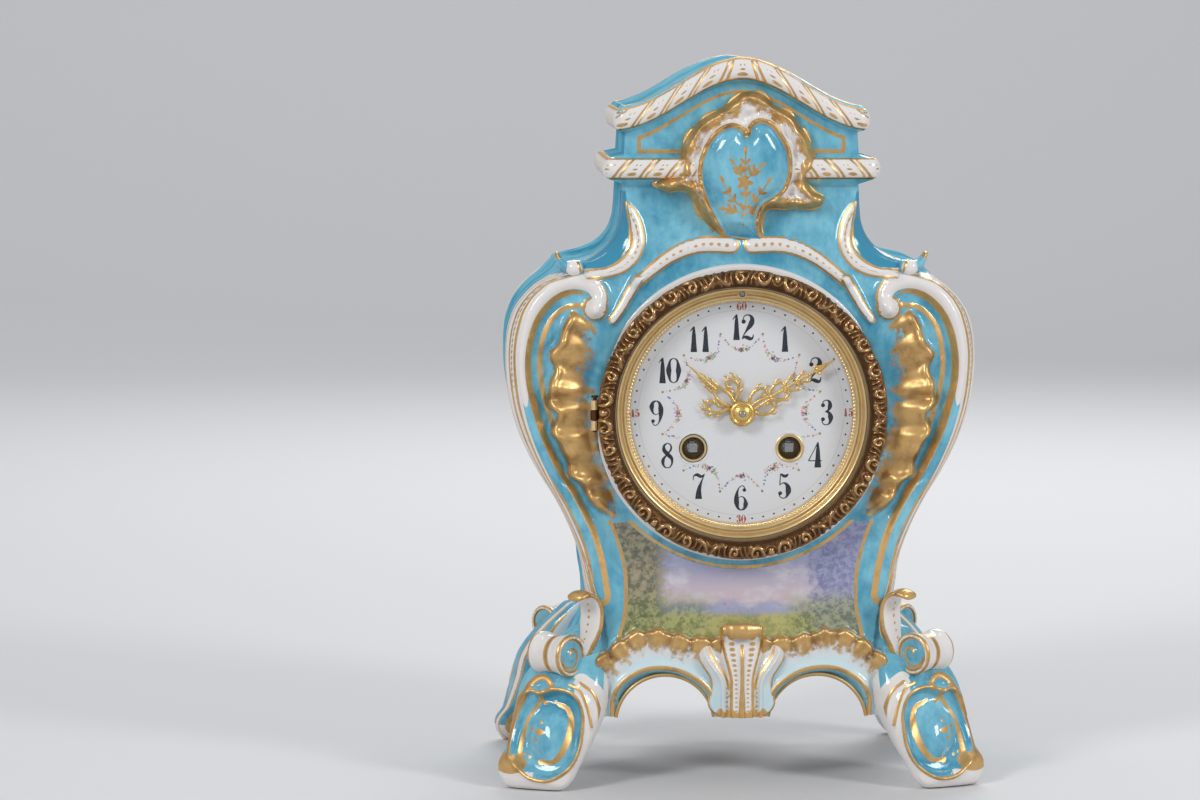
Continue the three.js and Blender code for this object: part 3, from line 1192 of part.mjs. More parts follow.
function trains() {
  addPart('going_barrel', barrel(GOING_BARREL_AT, INTERMEDIATE_AT), 'brass');
  addPart('strike_barrel', barrel(STRIKE_BARREL_AT, STRIKE_SECOND_AT), 'brass');
  addPart('going_winding_arbor', windingArbor(GOING_BARREL_AT), 'steel');
  addPart('strike_winding_arbor', windingArbor(STRIKE_BARREL_AT), 'steel');
  const barrelPinion = [BARREL_TEETH_AT - 0.6, BARREL_TEETH_AT + BARREL_TEETH_WIDTH + 0.6];
  addPart('intermediate_wheel', trainWheel(
    INTERMEDIATE_AT,
    { driver: GOING_BARREL_AT, module: BARREL_MODULE, span: barrelPinion },
    { follower: CENTRE_AT, module: CENTRE_MODULE, depth: INTERMEDIATE_PLANE },
  ), 'brass');
  const z = DIAL_HEIGHT;
  const centreWheel = join([
    trainWheel(
      CENTRE_AT,
      {
        driver: INTERMEDIATE_AT,
        module: CENTRE_MODULE,
        span: [INTERMEDIATE_PLANE - 0.8, INTERMEDIATE_PLANE + 2.2],
      },
      { follower: THIRD_AT, module: CENTRE_MODULE, depth: CENTRE_PLANE },
    ),
    rod(ARBOR_RADIUS, MINUTE_HAND_FRONT + 0.3, plane(1), 0, z, 10),
  ]);
  addPart('centre_wheel', centreWheel, 'brass');
  addPart('third_wheel', trainWheel(
    THIRD_AT,
    { driver: CENTRE_AT, module: CENTRE_MODULE, span: [CENTRE_PLANE - 0.7, CENTRE_PLANE + 2] },
    { follower: ESCAPE_AT, module: ESCAPE_MODULE, depth: THIRD_PLANE },
  ), 'brass');
  addPart('escape_wheel', escapeWheel(), 'brass');

  const [secondX, secondRise] = STRIKE_SECOND_AT;
  const secondWheel = join([
    trainWheel(
      STRIKE_SECOND_AT,
      {
        driver: STRIKE_BARREL_AT,
        module: BARREL_MODULE,
        span: [BARREL_TEETH_AT - 0.6, STRIKE_SECOND_PLANE + 0.3],
      },
      { follower: PIN_WHEEL_AT, module: CENTRE_MODULE, depth: STRIKE_SECOND_PLANE },
    ),
    rod(ARBOR_RADIUS, plane(PLATE_SPACING - 2), BACK_PLATE_BACK + 2.6, secondX, z + secondRise, 10),
  ]);
  addPart('strike_second_wheel', secondWheel, 'brass');
  const pins = [0, 1, 2, 3].map((i) => {
    const [x, rise] = stepFrom(PIN_WHEEL_AT, 6.3, 45 + 90 * i);
    return rod(0.5, plane(PIN_WHEEL_PLANE + 0.5), plane(PIN_WHEEL_PLANE + 3.4), x, z + rise, 6);
  });
  const pinWheel = trainWheel(
    PIN_WHEEL_AT,
    {
      driver: STRIKE_SECOND_AT,
      module: CENTRE_MODULE,
      span: [STRIKE_SECOND_PLANE - 0.6, STRIKE_SECOND_PLANE + 1.9],
    },
    { follower: FLY_AT, module: FLY_MODULE, depth: PIN_WHEEL_PLANE },
  );
  addPart('pin_wheel', join([pinWheel, ...pins]), 'brass');
  const flyX = FLY_AT[0];
  const flyZ = z + FLY_AT[1];
  const fly = join([
    trainWheel(
      FLY_AT,
      { driver: PIN_WHEEL_AT, module: FLY_MODULE, span: [PIN_WHEEL_PLANE - 0.6, PIN_WHEEL_PLANE + 1.9] },
    ),
    block(flyX - FLY_RADIUS, flyX + FLY_RADIUS, plane(14), plane(26), flyZ - 0.3, flyZ + 0.3),
  ]);
  addPart('strike_fly', fly, 'brass');

  const countPoints = [];
  for (let i = 0; i < 12; i++) {
    const start = (i / 12) * 2 * Math.PI;
    for (const [share, radius] of [[0, 1], [0.25, 1], [0.3, 0.86], [0.9, 0.86]]) {
      const angle = start + (share * 2 * Math.PI) / 12;
      countPoints.push(
        [COUNT_WHEEL_RADIUS * radius * Math.cos(angle), COUNT_WHEEL_RADIUS * radius * Math.sin(angle)],
      );
    }
  }
  const countWheel = plate(outline(countPoints), BACK_PLATE_BACK + 0.9, BACK_PLATE_BACK + 2);
  const countBore = rod(ARBOR_RADIUS + SEAT_GAP, BACK_PLATE_BACK, BACK_PLATE_BACK + 3, 0, 0, 10);
  addPart('count_wheel', countWheel.subtract(countBore).translate([secondX, 0, z + secondRise]), 'brass');
}

// Pallets with their crutch, the cock, and the pendulum

function escapementAndPendulum() {
  const z = PENDULUM_HEIGHT;
  const near = plane(ESCAPE_PLANE);
  const far = near + WHEEL_THICKNESS;
  const clear = ESCAPE_RADIUS + 0.35;
  const spread = Math.acos(ESCAPE_RADIUS / PALLET_ARBOR_RISE);
  const palletX = clear * Math.sin(spread);
  const palletRise = clear * Math.cos(spread) - PALLET_ARBOR_RISE;
  const arch = outline([
    [-palletX - 1.1, palletRise + 0.6], [-palletX - 0.1, palletRise],
    [-palletX + 1, palletRise + 1.4], [-1.4, -1.8],
    [1.4, -1.8], [palletX - 1, palletRise + 1.4], [palletX + 0.1, palletRise],
    [palletX + 1.1, palletRise + 0.6],
    [palletX * 0.6, 1.2], [0, 1.8], [-palletX * 0.6, 1.2],
  ]);
  const forkZ = z - 23;
  const prong = ROD_RADIUS + SEAT_GAP + 0.1;
  const prongs = [-1, 1].map((side) => {
    const edges = [side * prong, side * (prong + 0.9)].sort((a, b) => a - b);
    return block(edges[0], edges[1], CRUTCH_Y, ROD_Y + 1.5, forkZ - 1, forkZ + 1);
  });
  const pallets = join([
    plate(arch, near, far).translate([0, 0, z]),
    rod(ARBOR_RADIUS, plane(0.3), CRUTCH_Y + 1.2, 0, z, 8),
    rod(PIVOT_RADIUS, FRONT_PLATE_FRONT + 0.2, COCK_BACK - 0.2, 0, z, 8),
    block(-1, 1, CRUTCH_Y, CRUTCH_Y + 1, forkZ - 1, z),
    block(-prong - 0.9, prong + 0.9, CRUTCH_Y, CRUTCH_Y + 1, forkZ - 1, forkZ + 1),
    ...prongs,
  ]);
  addPart('pallet_anchor', pallets, 'steel');

  const cockOutline = outline([
    [-12, z - 4.5], [12, z - 4.5], [12, z + 2], [5, z + 6],
    [5, z + 16], [-5, z + 16], [-5, z + 6], [-12, z + 2],
  ]);
  const block0 = REGULATOR_HEIGHT - PENDULUM_HEIGHT;
  const cock = join([
    plate(cockOutline, COCK_FRONT, COCK_BACK),
    rod(1.6, BACK_PLATE_BACK + SEAT_GAP, COCK_FRONT + 0.5, -9.5, z - 2.5, 8),
    rod(1.6, BACK_PLATE_BACK + SEAT_GAP, COCK_FRONT + 0.5, 9.5, z - 2.5, 8),
    block(-3.5, 3.5, COCK_BACK - 0.5, ROD_Y + 2.5, z + 3.5, z + block0 + 1),
  ]);
  const springSlot = block(-2.3, 2.3, ROD_Y - 0.6, ROD_Y + 0.6, z + 2, z + 9);
  const pivotHole = rod(PIVOT_RADIUS + PIVOT_GAP, COCK_FRONT - 1, COCK_BACK + 0.5, 0, z, 8);
  addPart('suspension_cock', cut(cock, [springSlot, pivotHole]), 'brass');
  addPart('suspension_spring', block(-1.6, 1.6, ROD_Y - 0.2, ROD_Y + 0.2, z - 4.5, z + 8.4), 'steel');

  const bobZ = z - PENDULUM_LENGTH;
  const hook = block(-2, 2, ROD_Y - 1.2, ROD_Y + 1.2, z - 8, z - 3.5);
  const springSeat = block(-1.9, 1.9, ROD_Y - 0.5, ROD_Y + 0.5, z - 5, z - 3);
  const shaft = post(ROD_RADIUS, bobZ - BOB_RADIUS - 9, z - 7.5, 0, ROD_Y, 8);
  addPart('pendulum_rod', hook.add(shaft).subtract(springSeat), 'steel');
  const half = BOB_THICKNESS / 2;
  const bob = turned([
    [0, ROD_Y - half], [BOB_RADIUS * 0.6, ROD_Y - half * 0.8],
    [BOB_RADIUS, ROD_Y], [BOB_RADIUS * 0.6, ROD_Y + half * 0.8],
    [0, ROD_Y + half],
  ], 0, bobZ, 24);
  const bobBore = post(ROD_RADIUS + SEAT_GAP, bobZ - BOB_RADIUS - 2, bobZ + BOB_RADIUS + 2, 0, ROD_Y, 10);
  addPart('pendulum_bob', bob.subtract(bobBore), 'brass');
  const nutTop = bobZ - BOB_RADIUS - SEAT_GAP;
  const nut = post(3, nutTop - 2.5, nutTop, 0, ROD_Y, 12);
  addPart(
    'rating_nut',
    nut.subtract(post(ROD_RADIUS + SEAT_GAP, nutTop - 4, nutTop + 1, 0, ROD_Y, 10)), 'brass',
  );
}

// Bell, hammer, case straps and the rear door

const BELL_FRONT = ROD_Y + 3.5;
const BELL_BACK = BELL_FRONT + BELL_DEPTH;
const REAR_SEAT_Y = BODY_HALF_DEPTH + SEAT_STEP;
const REAR_FLANGE_FRONT = REAR_SEAT_Y + SEAT_GAP;
const REAR_FLANGE_BACK = REAR_FLANGE_FRONT + FLANGE_THICKNESS;
const REAR_TUBE_OUTER = REAR_HOLE_RADIUS - 0.6;
const REAR_TUBE_INNER = REAR_TUBE_OUTER - TUBE_WALL;
const LUG_FRONT = REAR_FLANGE_FRONT - 3;
const LUG_THICKNESS = 1.6;
const STRAP_END = LUG_FRONT - SEAT_GAP;
const STRAP_START = PAN_BACK + SEAT_GAP;
const SCREW_X = STRAP_RADIUS - 3.5;
const REAR_DOOR_FRONT = REAR_FLANGE_BACK + SEAT_GAP;
const BELL_POST_AT = [0, -8];
const BELL_POST_SHIFT = 10;

function strikeWork() {
  const z = DIAL_HEIGHT;
  const postX = BELL_POST_AT[0];
  const postZ = z + BELL_POST_AT[1];
  const bell = turned([
    [2, BELL_BACK], [BELL_RADIUS * 0.55, BELL_BACK - 0.6], [BELL_RADIUS * 0.88, BELL_BACK - 4.5],
    [BELL_RADIUS, BELL_FRONT], [BELL_RADIUS - BELL_WALL, BELL_FRONT],
    [BELL_RADIUS * 0.88 - BELL_WALL, BELL_BACK - 4.5 - BELL_WALL],
    [BELL_RADIUS * 0.55 - BELL_WALL, BELL_BACK - 0.6 - BELL_WALL], [2, BELL_BACK - BELL_WALL],
  ], postX, postZ, 28);
  addPart('bell', bell, 'bellMetal');
  const armFront = BELL_FRONT + 4;
  const stem = join([
    rod(2.2, BACK_PLATE_BACK + SEAT_GAP, armFront + 3, postX + BELL_POST_SHIFT, postZ, 10),
    block(postX - 2, postX + BELL_POST_SHIFT + 2, armFront, armFront + 3, postZ - 2, postZ + 2),
    rod(3, armFront, BELL_BACK - BELL_WALL - SEAT_GAP, postX, postZ, 10),
    rod(1.7, armFront + 2, BELL_BACK + 3.4, postX, postZ, 10),
  ]);
  addPart('bell_post', stem, 'brass');
  const nutFront = BELL_BACK + SEAT_GAP;
  addPart('bell_nut', turned([
    [2, nutFront], [3.6, nutFront], [3.6, nutFront + 2], [2, nutFront + 2],
  ], postX, postZ, 8), 'brass');

  const [hammerX, hammerRise] = HAMMER_AT;
  const hammerZ = z + hammerRise;
  const armY = BELL_FRONT + 1;
  const headRadius = 2.4;
  const reach = BELL_RADIUS + HAMMER_GAP + headRadius;
  const headX = hammerX - 0.2;
  const headZ = postZ + Math.sqrt(reach ** 2 - (headX - postX) ** 2);
  const tailEnd = stepFrom(PIN_WHEEL_AT, 8.2, 215);
  const tail = outline([
    [hammerX - 0.8, hammerRise], [hammerX + 0.8, hammerRise], [tailEnd[0] + 0.5, tailEnd[1]],
    [tailEnd[0] - 0.7, tailEnd[1] + 0.5],
  ]);
  const hammer = join([
    rod(ARBOR_RADIUS, plane(0.3), armY + 1.5, hammerX, hammerZ, 8),
    rod(PIVOT_RADIUS, FRONT_PLATE_FRONT + 0.2, plane(1), hammerX, hammerZ, 8),
    plate(tail, plane(PIN_WHEEL_PLANE + 2.2), plane(PIN_WHEEL_PLANE + 3.2)).translate([0, 0, z]),
    block(hammerX - 1, hammerX + 1, armY, armY + 1.5, Math.min(hammerZ, headZ), Math.max(hammerZ, headZ)),
    rod(headRadius, armY - 1.5, armY + 3.5, headX, headZ, 12),
  ]);
  addPart('hammer', hammer, 'steel');
}

function strapsAndRearDoor() {
  const z = DIAL_HEIGHT;
  for (const [name, side] of [['left', -1], ['right', 1]]) {
    const span = (a, b) => [Math.min(side * a, side * b), Math.max(side * a, side * b)];
    const inner = STRAP_RADIUS - STRAP_THICKNESS / 2;
    const outer = STRAP_RADIUS + STRAP_THICKNESS / 2;
    const half = STRAP_WIDTH / 2;
    const strap = join([
      block(...span(inner, outer), STRAP_START, STRAP_END, z - half, z + half),
      block(...span(inner, outer + 3.6), STRAP_START, STRAP_START + STRAP_THICKNESS, z - half, z + half),
      block(...span(SCREW_X - 3, outer), STRAP_END - STRAP_THICKNESS, STRAP_END, z - half, z + half),
    ]);
    const tapped = rod(SCREW_RADIUS + SEAT_GAP, STRAP_END - 4, STRAP_END + 1, side * SCREW_X, z, 10);
    addPart(`${name}_case_strap`, strap.subtract(tapped), 'brass');
    const headFront = LUG_FRONT + LUG_THICKNESS + SEAT_GAP;
    const slotFrom = side * SCREW_X - 4;
    const driverSlot = block(slotFrom, slotFrom + 8, headFront + 1, headFront + 3, z - 0.3, z + 0.3);
    addPart(`${name}_strap_screw`, join([
      rod(SCREW_RADIUS, STRAP_END - 3.5, headFront + 0.5, side * SCREW_X, z, 10),
      rod(SCREW_RADIUS + 1.2, headFront, headFront + 1.6, side * SCREW_X, z, 12),
    ]).subtract(driverSlot), 'steel');
  }

  const ring = turned([
    [REAR_TUBE_INNER, LUG_FRONT], [REAR_TUBE_OUTER, LUG_FRONT], [REAR_TUBE_OUTER, REAR_FLANGE_FRONT],
    [REAR_FLANGE_RADIUS, REAR_FLANGE_FRONT], [REAR_FLANGE_RADIUS, REAR_FLANGE_BACK],
    [REAR_TUBE_INNER, REAR_FLANGE_BACK],
  ], 0, z);
  const lugs = [-1, 1].map((side) => {
    const edges = [side * (SCREW_X - 3), side * (REAR_TUBE_INNER + 0.7)].sort((a, b) => a - b);
    const lug = block(edges[0], edges[1], LUG_FRONT, LUG_FRONT + LUG_THICKNESS, z - 4, z + 4);
    return lug.subtract(
      rod(SCREW_RADIUS + SEAT_GAP, LUG_FRONT - 1, LUG_FRONT + 4, side * SCREW_X, z, 10),
    );
  });
  const hingeX = REAR_DOOR_RADIUS + KNUCKLE_RADIUS;
  const hingeY = REAR_DOOR_FRONT + KNUCKLE_RADIUS;
  const fixedKnuckles = knuckles(
    hingeX, hingeY, REAR_FLANGE_RADIUS - 2, REAR_FLANGE_FRONT + 0.2, REAR_FLANGE_BACK, hingeSpans(false),
  );
  addPart('rear_ring', join([ring, ...lugs, fixedKnuckles]), 'brass');

  const skin = 1.2;
  const rimBack = REAR_DOOR_FRONT + 3;
  const shell = turned([
    [0, rimBack + REAR_DOOR_DOME], [REAR_DOOR_RADIUS * 0.55, rimBack + REAR_DOOR_DOME * 0.8],
    [REAR_DOOR_RADIUS - 3.5, rimBack + 0.5], [REAR_DOOR_RADIUS, rimBack],
    [REAR_DOOR_RADIUS, REAR_DOOR_FRONT],
    [REAR_DOOR_RADIUS - 4, REAR_DOOR_FRONT], [REAR_DOOR_RADIUS - 4, rimBack - 0.6],
    [REAR_DOOR_RADIUS * 0.55, rimBack + REAR_DOOR_DOME * 0.8 - skin],
    [0, rimBack + REAR_DOOR_DOME - skin],
  ], 0, z);
  const soundSlots = [0, 1, 2, 3, 4, 5].map((i) => {
    const [x, rise] = stepFrom([0, 0], SOUND_HOLE_CIRCLE, 60 * i + 30);
    return rod(SOUND_HOLE_RADIUS, REAR_DOOR_FRONT - 2, rimBack + REAR_DOOR_DOME + 3, x, z + rise, 12);
  });
  const movingKnuckle = knuckles(
    hingeX, hingeY, REAR_DOOR_RADIUS - 2, REAR_DOOR_FRONT, hingeY + 0.6, hingeSpans(true),
  );
  const buttonAt = -(REAR_DOOR_RADIUS - 2.2);
  const buttonHole = rod(1.2 + SEAT_GAP, REAR_DOOR_FRONT - 2, rimBack + 4, buttonAt, z, 10);
  addPart('rear_door', cut(shell.add(movingKnuckle), [...soundSlots, buttonHole]), 'brass');
  const pinReach = KNUCKLE_LENGTH * 1.5 + 0.8;
  addPart('rear_hinge_pin', join([
    post(BEZEL_PIN_RADIUS, z - pinReach, z + pinReach + 0.4, hingeX, hingeY, 8),
    post(KNUCKLE_RADIUS - 0.3, z + pinReach, z + pinReach + 0.8, hingeX, hingeY),
  ]), 'brass');
  addPart('rear_door_button', join([
    rod(1.2, REAR_DOOR_FRONT + SEAT_GAP, rimBack + 1.7, buttonAt, z, 10),
    block(buttonAt - 1.6, buttonAt + 1.6, rimBack + 1.6, rimBack + 3, z - 4.4, z + 4.4),
  ]), 'brass');
}

addPart('porcelain_case', porcelainCase(), 'porcelain');
frontAssembly();
handsAndMotionWork();
plates();
trains();
escapementAndPendulum();
strikeWork();
strapsAndRearDoor();

export default clock;
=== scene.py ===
# %% [markdown]
# # A porcelain mantel clock
# The case is one hollow casting of glazed porcelain, painted turquoise and white and gilded by hand.
# A brass movement, an enamel dial and a glazed bezel sit in its round opening.
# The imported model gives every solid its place. This lesson gives each of them its shape and finish:
# numpy works out the surfaces, and shader nodes paint them.
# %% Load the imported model
import json
import math
import bpy
import numpy as np
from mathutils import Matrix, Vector

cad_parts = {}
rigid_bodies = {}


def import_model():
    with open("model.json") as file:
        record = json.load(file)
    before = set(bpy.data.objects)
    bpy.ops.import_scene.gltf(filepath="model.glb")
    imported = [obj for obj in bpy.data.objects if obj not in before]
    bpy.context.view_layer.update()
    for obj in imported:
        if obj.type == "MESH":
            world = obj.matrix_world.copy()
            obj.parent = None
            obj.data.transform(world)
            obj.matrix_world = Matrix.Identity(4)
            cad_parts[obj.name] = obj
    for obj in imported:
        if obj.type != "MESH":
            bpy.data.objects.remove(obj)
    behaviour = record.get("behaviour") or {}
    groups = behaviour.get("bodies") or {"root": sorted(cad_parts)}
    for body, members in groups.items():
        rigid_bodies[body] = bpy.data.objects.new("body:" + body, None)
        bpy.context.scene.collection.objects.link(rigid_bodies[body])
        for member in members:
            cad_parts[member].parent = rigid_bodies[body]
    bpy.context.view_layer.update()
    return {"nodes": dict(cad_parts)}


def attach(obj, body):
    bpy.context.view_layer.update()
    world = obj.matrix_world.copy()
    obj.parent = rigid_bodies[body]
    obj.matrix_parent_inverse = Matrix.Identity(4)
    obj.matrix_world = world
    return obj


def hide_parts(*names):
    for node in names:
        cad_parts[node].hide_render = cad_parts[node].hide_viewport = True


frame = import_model()

# %% [markdown]
# ## Camera, light and floor
# The photograph was taken with a long lens from slightly to the clock's left and from about the
# height of its top. A long lens keeps upright lines upright, so no shift is needed.
# A colour looks as it is written when the light is plain, so the lamps are large and soft.
# %% Camera
MM = 0.001
VIEW_DISTANCE = 1.60
VIEW_TURN = math.radians(2.2)
VIEW_HEIGHT = 0.300
PICTURE_WIDTH = 1200
SENSOR_WIDTH = 36
MM_PER_PIXEL = 0.39
PIXELS_OFF_MIDDLE = 142
FRONT_PLANE = -0.045
AIM_HEIGHT = 0.1510
aim_offset = PIXELS_OFF_MIDDLE * MM_PER_PIXEL * MM
aim = Vector((
    -aim_offset * math.cos(VIEW_TURN),
    FRONT_PLANE + aim_offset * math.sin(VIEW_TURN),
    AIM_HEIGHT,
))
stand = Vector((
    aim.x - VIEW_DISTANCE * math.sin(VIEW_TURN),
    aim.y - VIEW_DISTANCE * math.cos(VIEW_TURN),
    VIEW_HEIGHT,
))
camera_data = bpy.data.cameras.new("view")
camera_data.sensor_width = SENSOR_WIDTH
camera_data.lens = SENSOR_WIDTH * VIEW_DISTANCE / (PICTURE_WIDTH * MM_PER_PIXEL * MM)
camera = bpy.data.objects.new("view", camera_data)
bpy.context.collection.objects.link(camera)
camera.location = stand
camera.rotation_euler = (aim - stand).to_track_quat("-Z", "Y").to_euler()
bpy.context.scene.camera = camera
bpy.context.scene.view_settings.view_transform = "Standard"
print("lens", round(camera_data.lens, 1), "mm")


# %% Lamps
def area_lamp(name, place, target, size, power):
    data = bpy.data.lights.new(name, "AREA")
    data.shape = "RECTANGLE"
    data.size, data.size_y = size
    data.energy = power
    lamp = bpy.data.objects.new(name, data)
    lamp.location = place
    lamp.rotation_euler = (Vector(target) - Vector(place)).to_track_quat("-Z", "Y").to_euler()
    bpy.context.collection.objects.link(lamp)


area_lamp("key_left", (-1.1, -1.2, 1.15), (0, 0, 0.14), (0.45, 0.6), 13)
area_lamp("key_right", (1.2, -1.0, 0.95), (0, 0, 0.14), (0.35, 0.55), 10)
area_lamp("rim_back", (0.3, 1.3, 1.0), (0, 0, 0.16), (1.0, 0.5), 8)
area_lamp("backdrop", (0.0, 0.9, 2.6), (0, 2.7, 0.9), (3.0, 0.4), 22)
print("four lamps")


# %% Floor and surrounding light
def seen_directly(tree):
    """1 for rays from the camera, in reflections and through glass, and 0 for the light that falls
    on the clock: the largest of three outputs of the light path."""
    path = tree.nodes.new("ShaderNodeLightPath")
    total = path.outputs["Is Camera Ray"]
    for ray in ("Is Glossy Ray", "Is Transmission Ray"):
        both = tree.nodes.new("ShaderNodeMath")
        both.operation = "MAXIMUM"
        tree.links.new(total, both.inputs[0])
        tree.links.new(path.outputs[ray], both.inputs[1])
        total = both.outputs[0]
    return total


world = bpy.data.worlds.new("studio")
bpy.context.scene.world = world
world.use_nodes = True
world_tree = world.node_tree
world_back = world_tree.nodes["Background"]
world_mix = world_tree.nodes.new("ShaderNodeMix")
world_mix.data_type = "RGBA"
world_mix.inputs[6].default_value = (0.50, 0.51, 0.53, 1)
world_mix.inputs[7].default_value = (0.72, 0.73, 0.75, 1)
world_tree.links.new(seen_directly(world_tree), world_mix.inputs[0])
world_tree.links.new(world_mix.outputs[2], world_back.inputs["Color"])
world_back.inputs["Strength"].default_value = 0.75

# The floor is one sheet, bent up behind the clock in a quarter circle. It lies a hair below the feet.
FLOOR_HALF = 4.5
FLOOR_FRONT = -4.0
BEND_START = 1.8
BEND_RADIUS = 1.1
WALL_TOP = 3.4
FLOOR_GAP = 0.0003
bend = np.linspace(0, np.pi / 2, 25)
sweep_y = np.concatenate([[FLOOR_FRONT], BEND_START + BEND_RADIUS * np.sin(bend), [BEND_START + BEND_RADIUS]])
sweep_z = np.concatenate([[0.0], BEND_RADIUS - BEND_RADIUS * np.cos(bend), [WALL_TOP]]) - FLOOR_GAP
sweep_points = [(x, y, z) for y, z in zip(sweep_y, sweep_z) for x in (-FLOOR_HALF, FLOOR_HALF)]
sweep_faces = [(k, k + 1, k + 3, k + 2) for k in range(0, 2 * len(sweep_y) - 2, 2)]
floor_mesh = bpy.data.meshes.new("floor")
floor_mesh.from_pydata(sweep_points, [], sweep_faces)
floor_mesh.shade_smooth()
floor = bpy.data.objects.new("floor", floor_mesh)
bpy.context.collection.objects.link(floor)
floor_paint = bpy.data.materials.new("pale_floor")
floor_paint.use_nodes = True
floor_shader = floor_paint.node_tree.nodes["Principled BSDF"]
floor_shader.inputs["Base Color"].default_value = (0.68, 0.68, 0.69, 1)
floor_shader.inputs["Roughness"].default_value = 0.7
floor_mesh.materials.append(floor_paint)
print("floor and world ready")

# %% [markdown]
# ## Surfaces from arrays
# Every new piece is a grid of points. A function of two parameters gives the points as whole
# numpy arrays, and one helper joins neighbouring points with quads. Numbers that change over the
# surface, such as how far a point is from the edge of the gilding, are kept as attributes,
# because a material can turn a distance into a crisp painted line on any mesh.
# %% From a grid to a mesh
# AWAY is a distance in mm well outside every painted shape, FAR one well outside the clock.
AWAY = -9.0
FAR = 1000.0


def grid_quads(rows, cols, around=False, along=False):
    """Corner numbers of the quads between neighbouring points of a rows by cols grid."""
    index = np.arange(rows * cols).reshape(rows, cols)
    if around:
        index = np.concatenate([index, index[:, :1]], axis=1)
    if along:
        index = np.concatenate([index, index[:1]], axis=0)
    corners = [index[:-1, :-1], index[:-1, 1:], index[1:, 1:], index[1:, :-1]]
    return np.stack(corners, axis=-1).reshape(-1, 4)


def outward(points, quads, centre):
    """Turns all the quads over if on average they face the centre, a point in mm or one per quad."""
    a, b, c, d = (points[quads[:, k]] for k in range(4))
    facing = np.cross(c - a, d - b) * ((a + b + c + d) / 4 - centre)
    return quads[:, ::-1] if np.sum(facing) < 0 else quads


def one_grid(grid, centre, around=True, along=False):
    """The points of one grid as a list, and its quads, facing away from the centre."""
    flat = grid.reshape(-1, 3)
    return flat, outward(flat, grid_quads(*grid.shape[:2], around, along), np.asarray(centre))


def join_grids(grids, centre_of=lambda points: points.reshape(-1, 3).mean(axis=0)):
    """Several grids as one list of points and one of quads. A grid that isn't closed round its
    columns alone is given as (points, around, along)."""
    all_points = []
    all_quads = []
    start = 0
    for grid in grids:
        points, around, along = grid if isinstance(grid, tuple) else (grid, True, False)
        flat, quads = one_grid(points, centre_of(points), around, along)
        all_points.append(flat)
        all_quads.append(quads + start)
        start += len(flat)
    return np.concatenate(all_points), np.concatenate(all_quads)


def make_piece(name, points, quads, body, material, slot=None, replaces=None, smooth=True, **fields):
    """A mesh object from points in mm, quads, and named numbers, riding on a body. The numbers are
    one for the whole piece, or one per point of a grid that the piece repeats."""
    mesh = bpy.data.meshes.new(name)
    mesh.vertices.add(len(points))
    mesh.vertices.foreach_set("co", (points * MM).astype(np.float32).ravel())
    mesh.loops.add(quads.size)
    mesh.loops.foreach_set("vertex_index", quads.astype(np.int32).ravel())
    mesh.polygons.add(len(quads))
    mesh.polygons.foreach_set("loop_start", np.arange(0, quads.size, 4, dtype=np.int32))
    mesh.polygons.foreach_set("loop_total", np.full(len(quads), 4, dtype=np.int32))
    mesh.polygons.foreach_set("use_smooth", np.full(len(quads), smooth))
    mesh.update(calc_edges=True)
    for key, values in fields.items():
        attribute = mesh.attributes.new(key, "FLOAT", "POINT")
        values = np.resize(np.asarray(values, dtype=np.float32), len(points))
        attribute.data.foreach_set("value", values)
    mesh.validate()
    mesh.materials.append(material)
    piece = bpy.data.objects.new(name, mesh)
    bpy.context.collection.objects.link(piece)
    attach(piece, body)
    if replaces:
        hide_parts(replaces)
    return piece


def porcelain_piece(name, points, quads, finish=None, **fields):
    """A piece of the casting. Where it has no gold line, white or ragged gold, the distance is AWAY."""
    fields = {"gild": AWAY, "white": AWAY, "fade": AWAY} | fields
    return make_piece(name, points, quads, "case", finish or painted_porcelain, slot="porcelain",
                      replaces="porcelain_case", **fields)


print("grid helpers ready")


# %% Paths and distances
def smooth_path(points, count=60):
    """A smooth curve through the points: on each span a cubic whose slope at a knot is half the
    step between that knot's two neighbours. The result is spaced evenly along its length."""
    knots = np.asarray(points, dtype=float)
    padded = np.vstack([2 * knots[0] - knots[1], knots, 2 * knots[-1] - knots[-2]])
    t = np.linspace(0, len(knots) - 1, count * 8)
    span = np.minimum(t.astype(int), len(knots) - 2)
    f = (t - span)[:, None]
    a, b, c, d = (padded[span + k] for k in range(4))
    square = 2 * a - 5 * b + 4 * c - d
    cube = 3 * b - a - 3 * c + d
    fine = 0.5 * (2 * b + (c - a) * f + square * f ** 2 + cube * f ** 3)
    run = np.concatenate([[0], np.cumsum(np.linalg.norm(np.diff(fine, axis=0), axis=1))])
    even = np.linspace(0, run[-1], count)
    return np.stack([np.interp(even, run, fine[:, k]) for k in range(fine.shape[1])], axis=1)


def measure(x, z, path):
    """Distance of each point (x, z) from a path, in mm, which side of it the point is on
    (positive to the left of the direction of travel), and the share of the path's length there."""
    best = np.full(x.shape, np.inf)
    side = np.ones(x.shape)
    share = np.zeros(x.shape)
    steps = np.diff(path, axis=0)
    lengths = np.linalg.norm(steps, axis=1)
    run = np.concatenate([[0], np.cumsum(lengths)])
    for (px, pz), (dx, dz), length, start in zip(path[:-1], steps, lengths, run[:-1]):
        along = np.clip(((x - px) * dx + (z - pz) * dz) / length ** 2, 0, 1)
        ex = x - px - along * dx
        ez = z - pz - along * dz
        distance = np.hypot(ex, ez)
        near = distance < best
        best = np.where(near, distance, best)
        side = np.where(near, np.sign(dx * ez - dz * ex), side)
        share = np.where(near, (start + along * length) / run[-1], share)
    return best, side, share


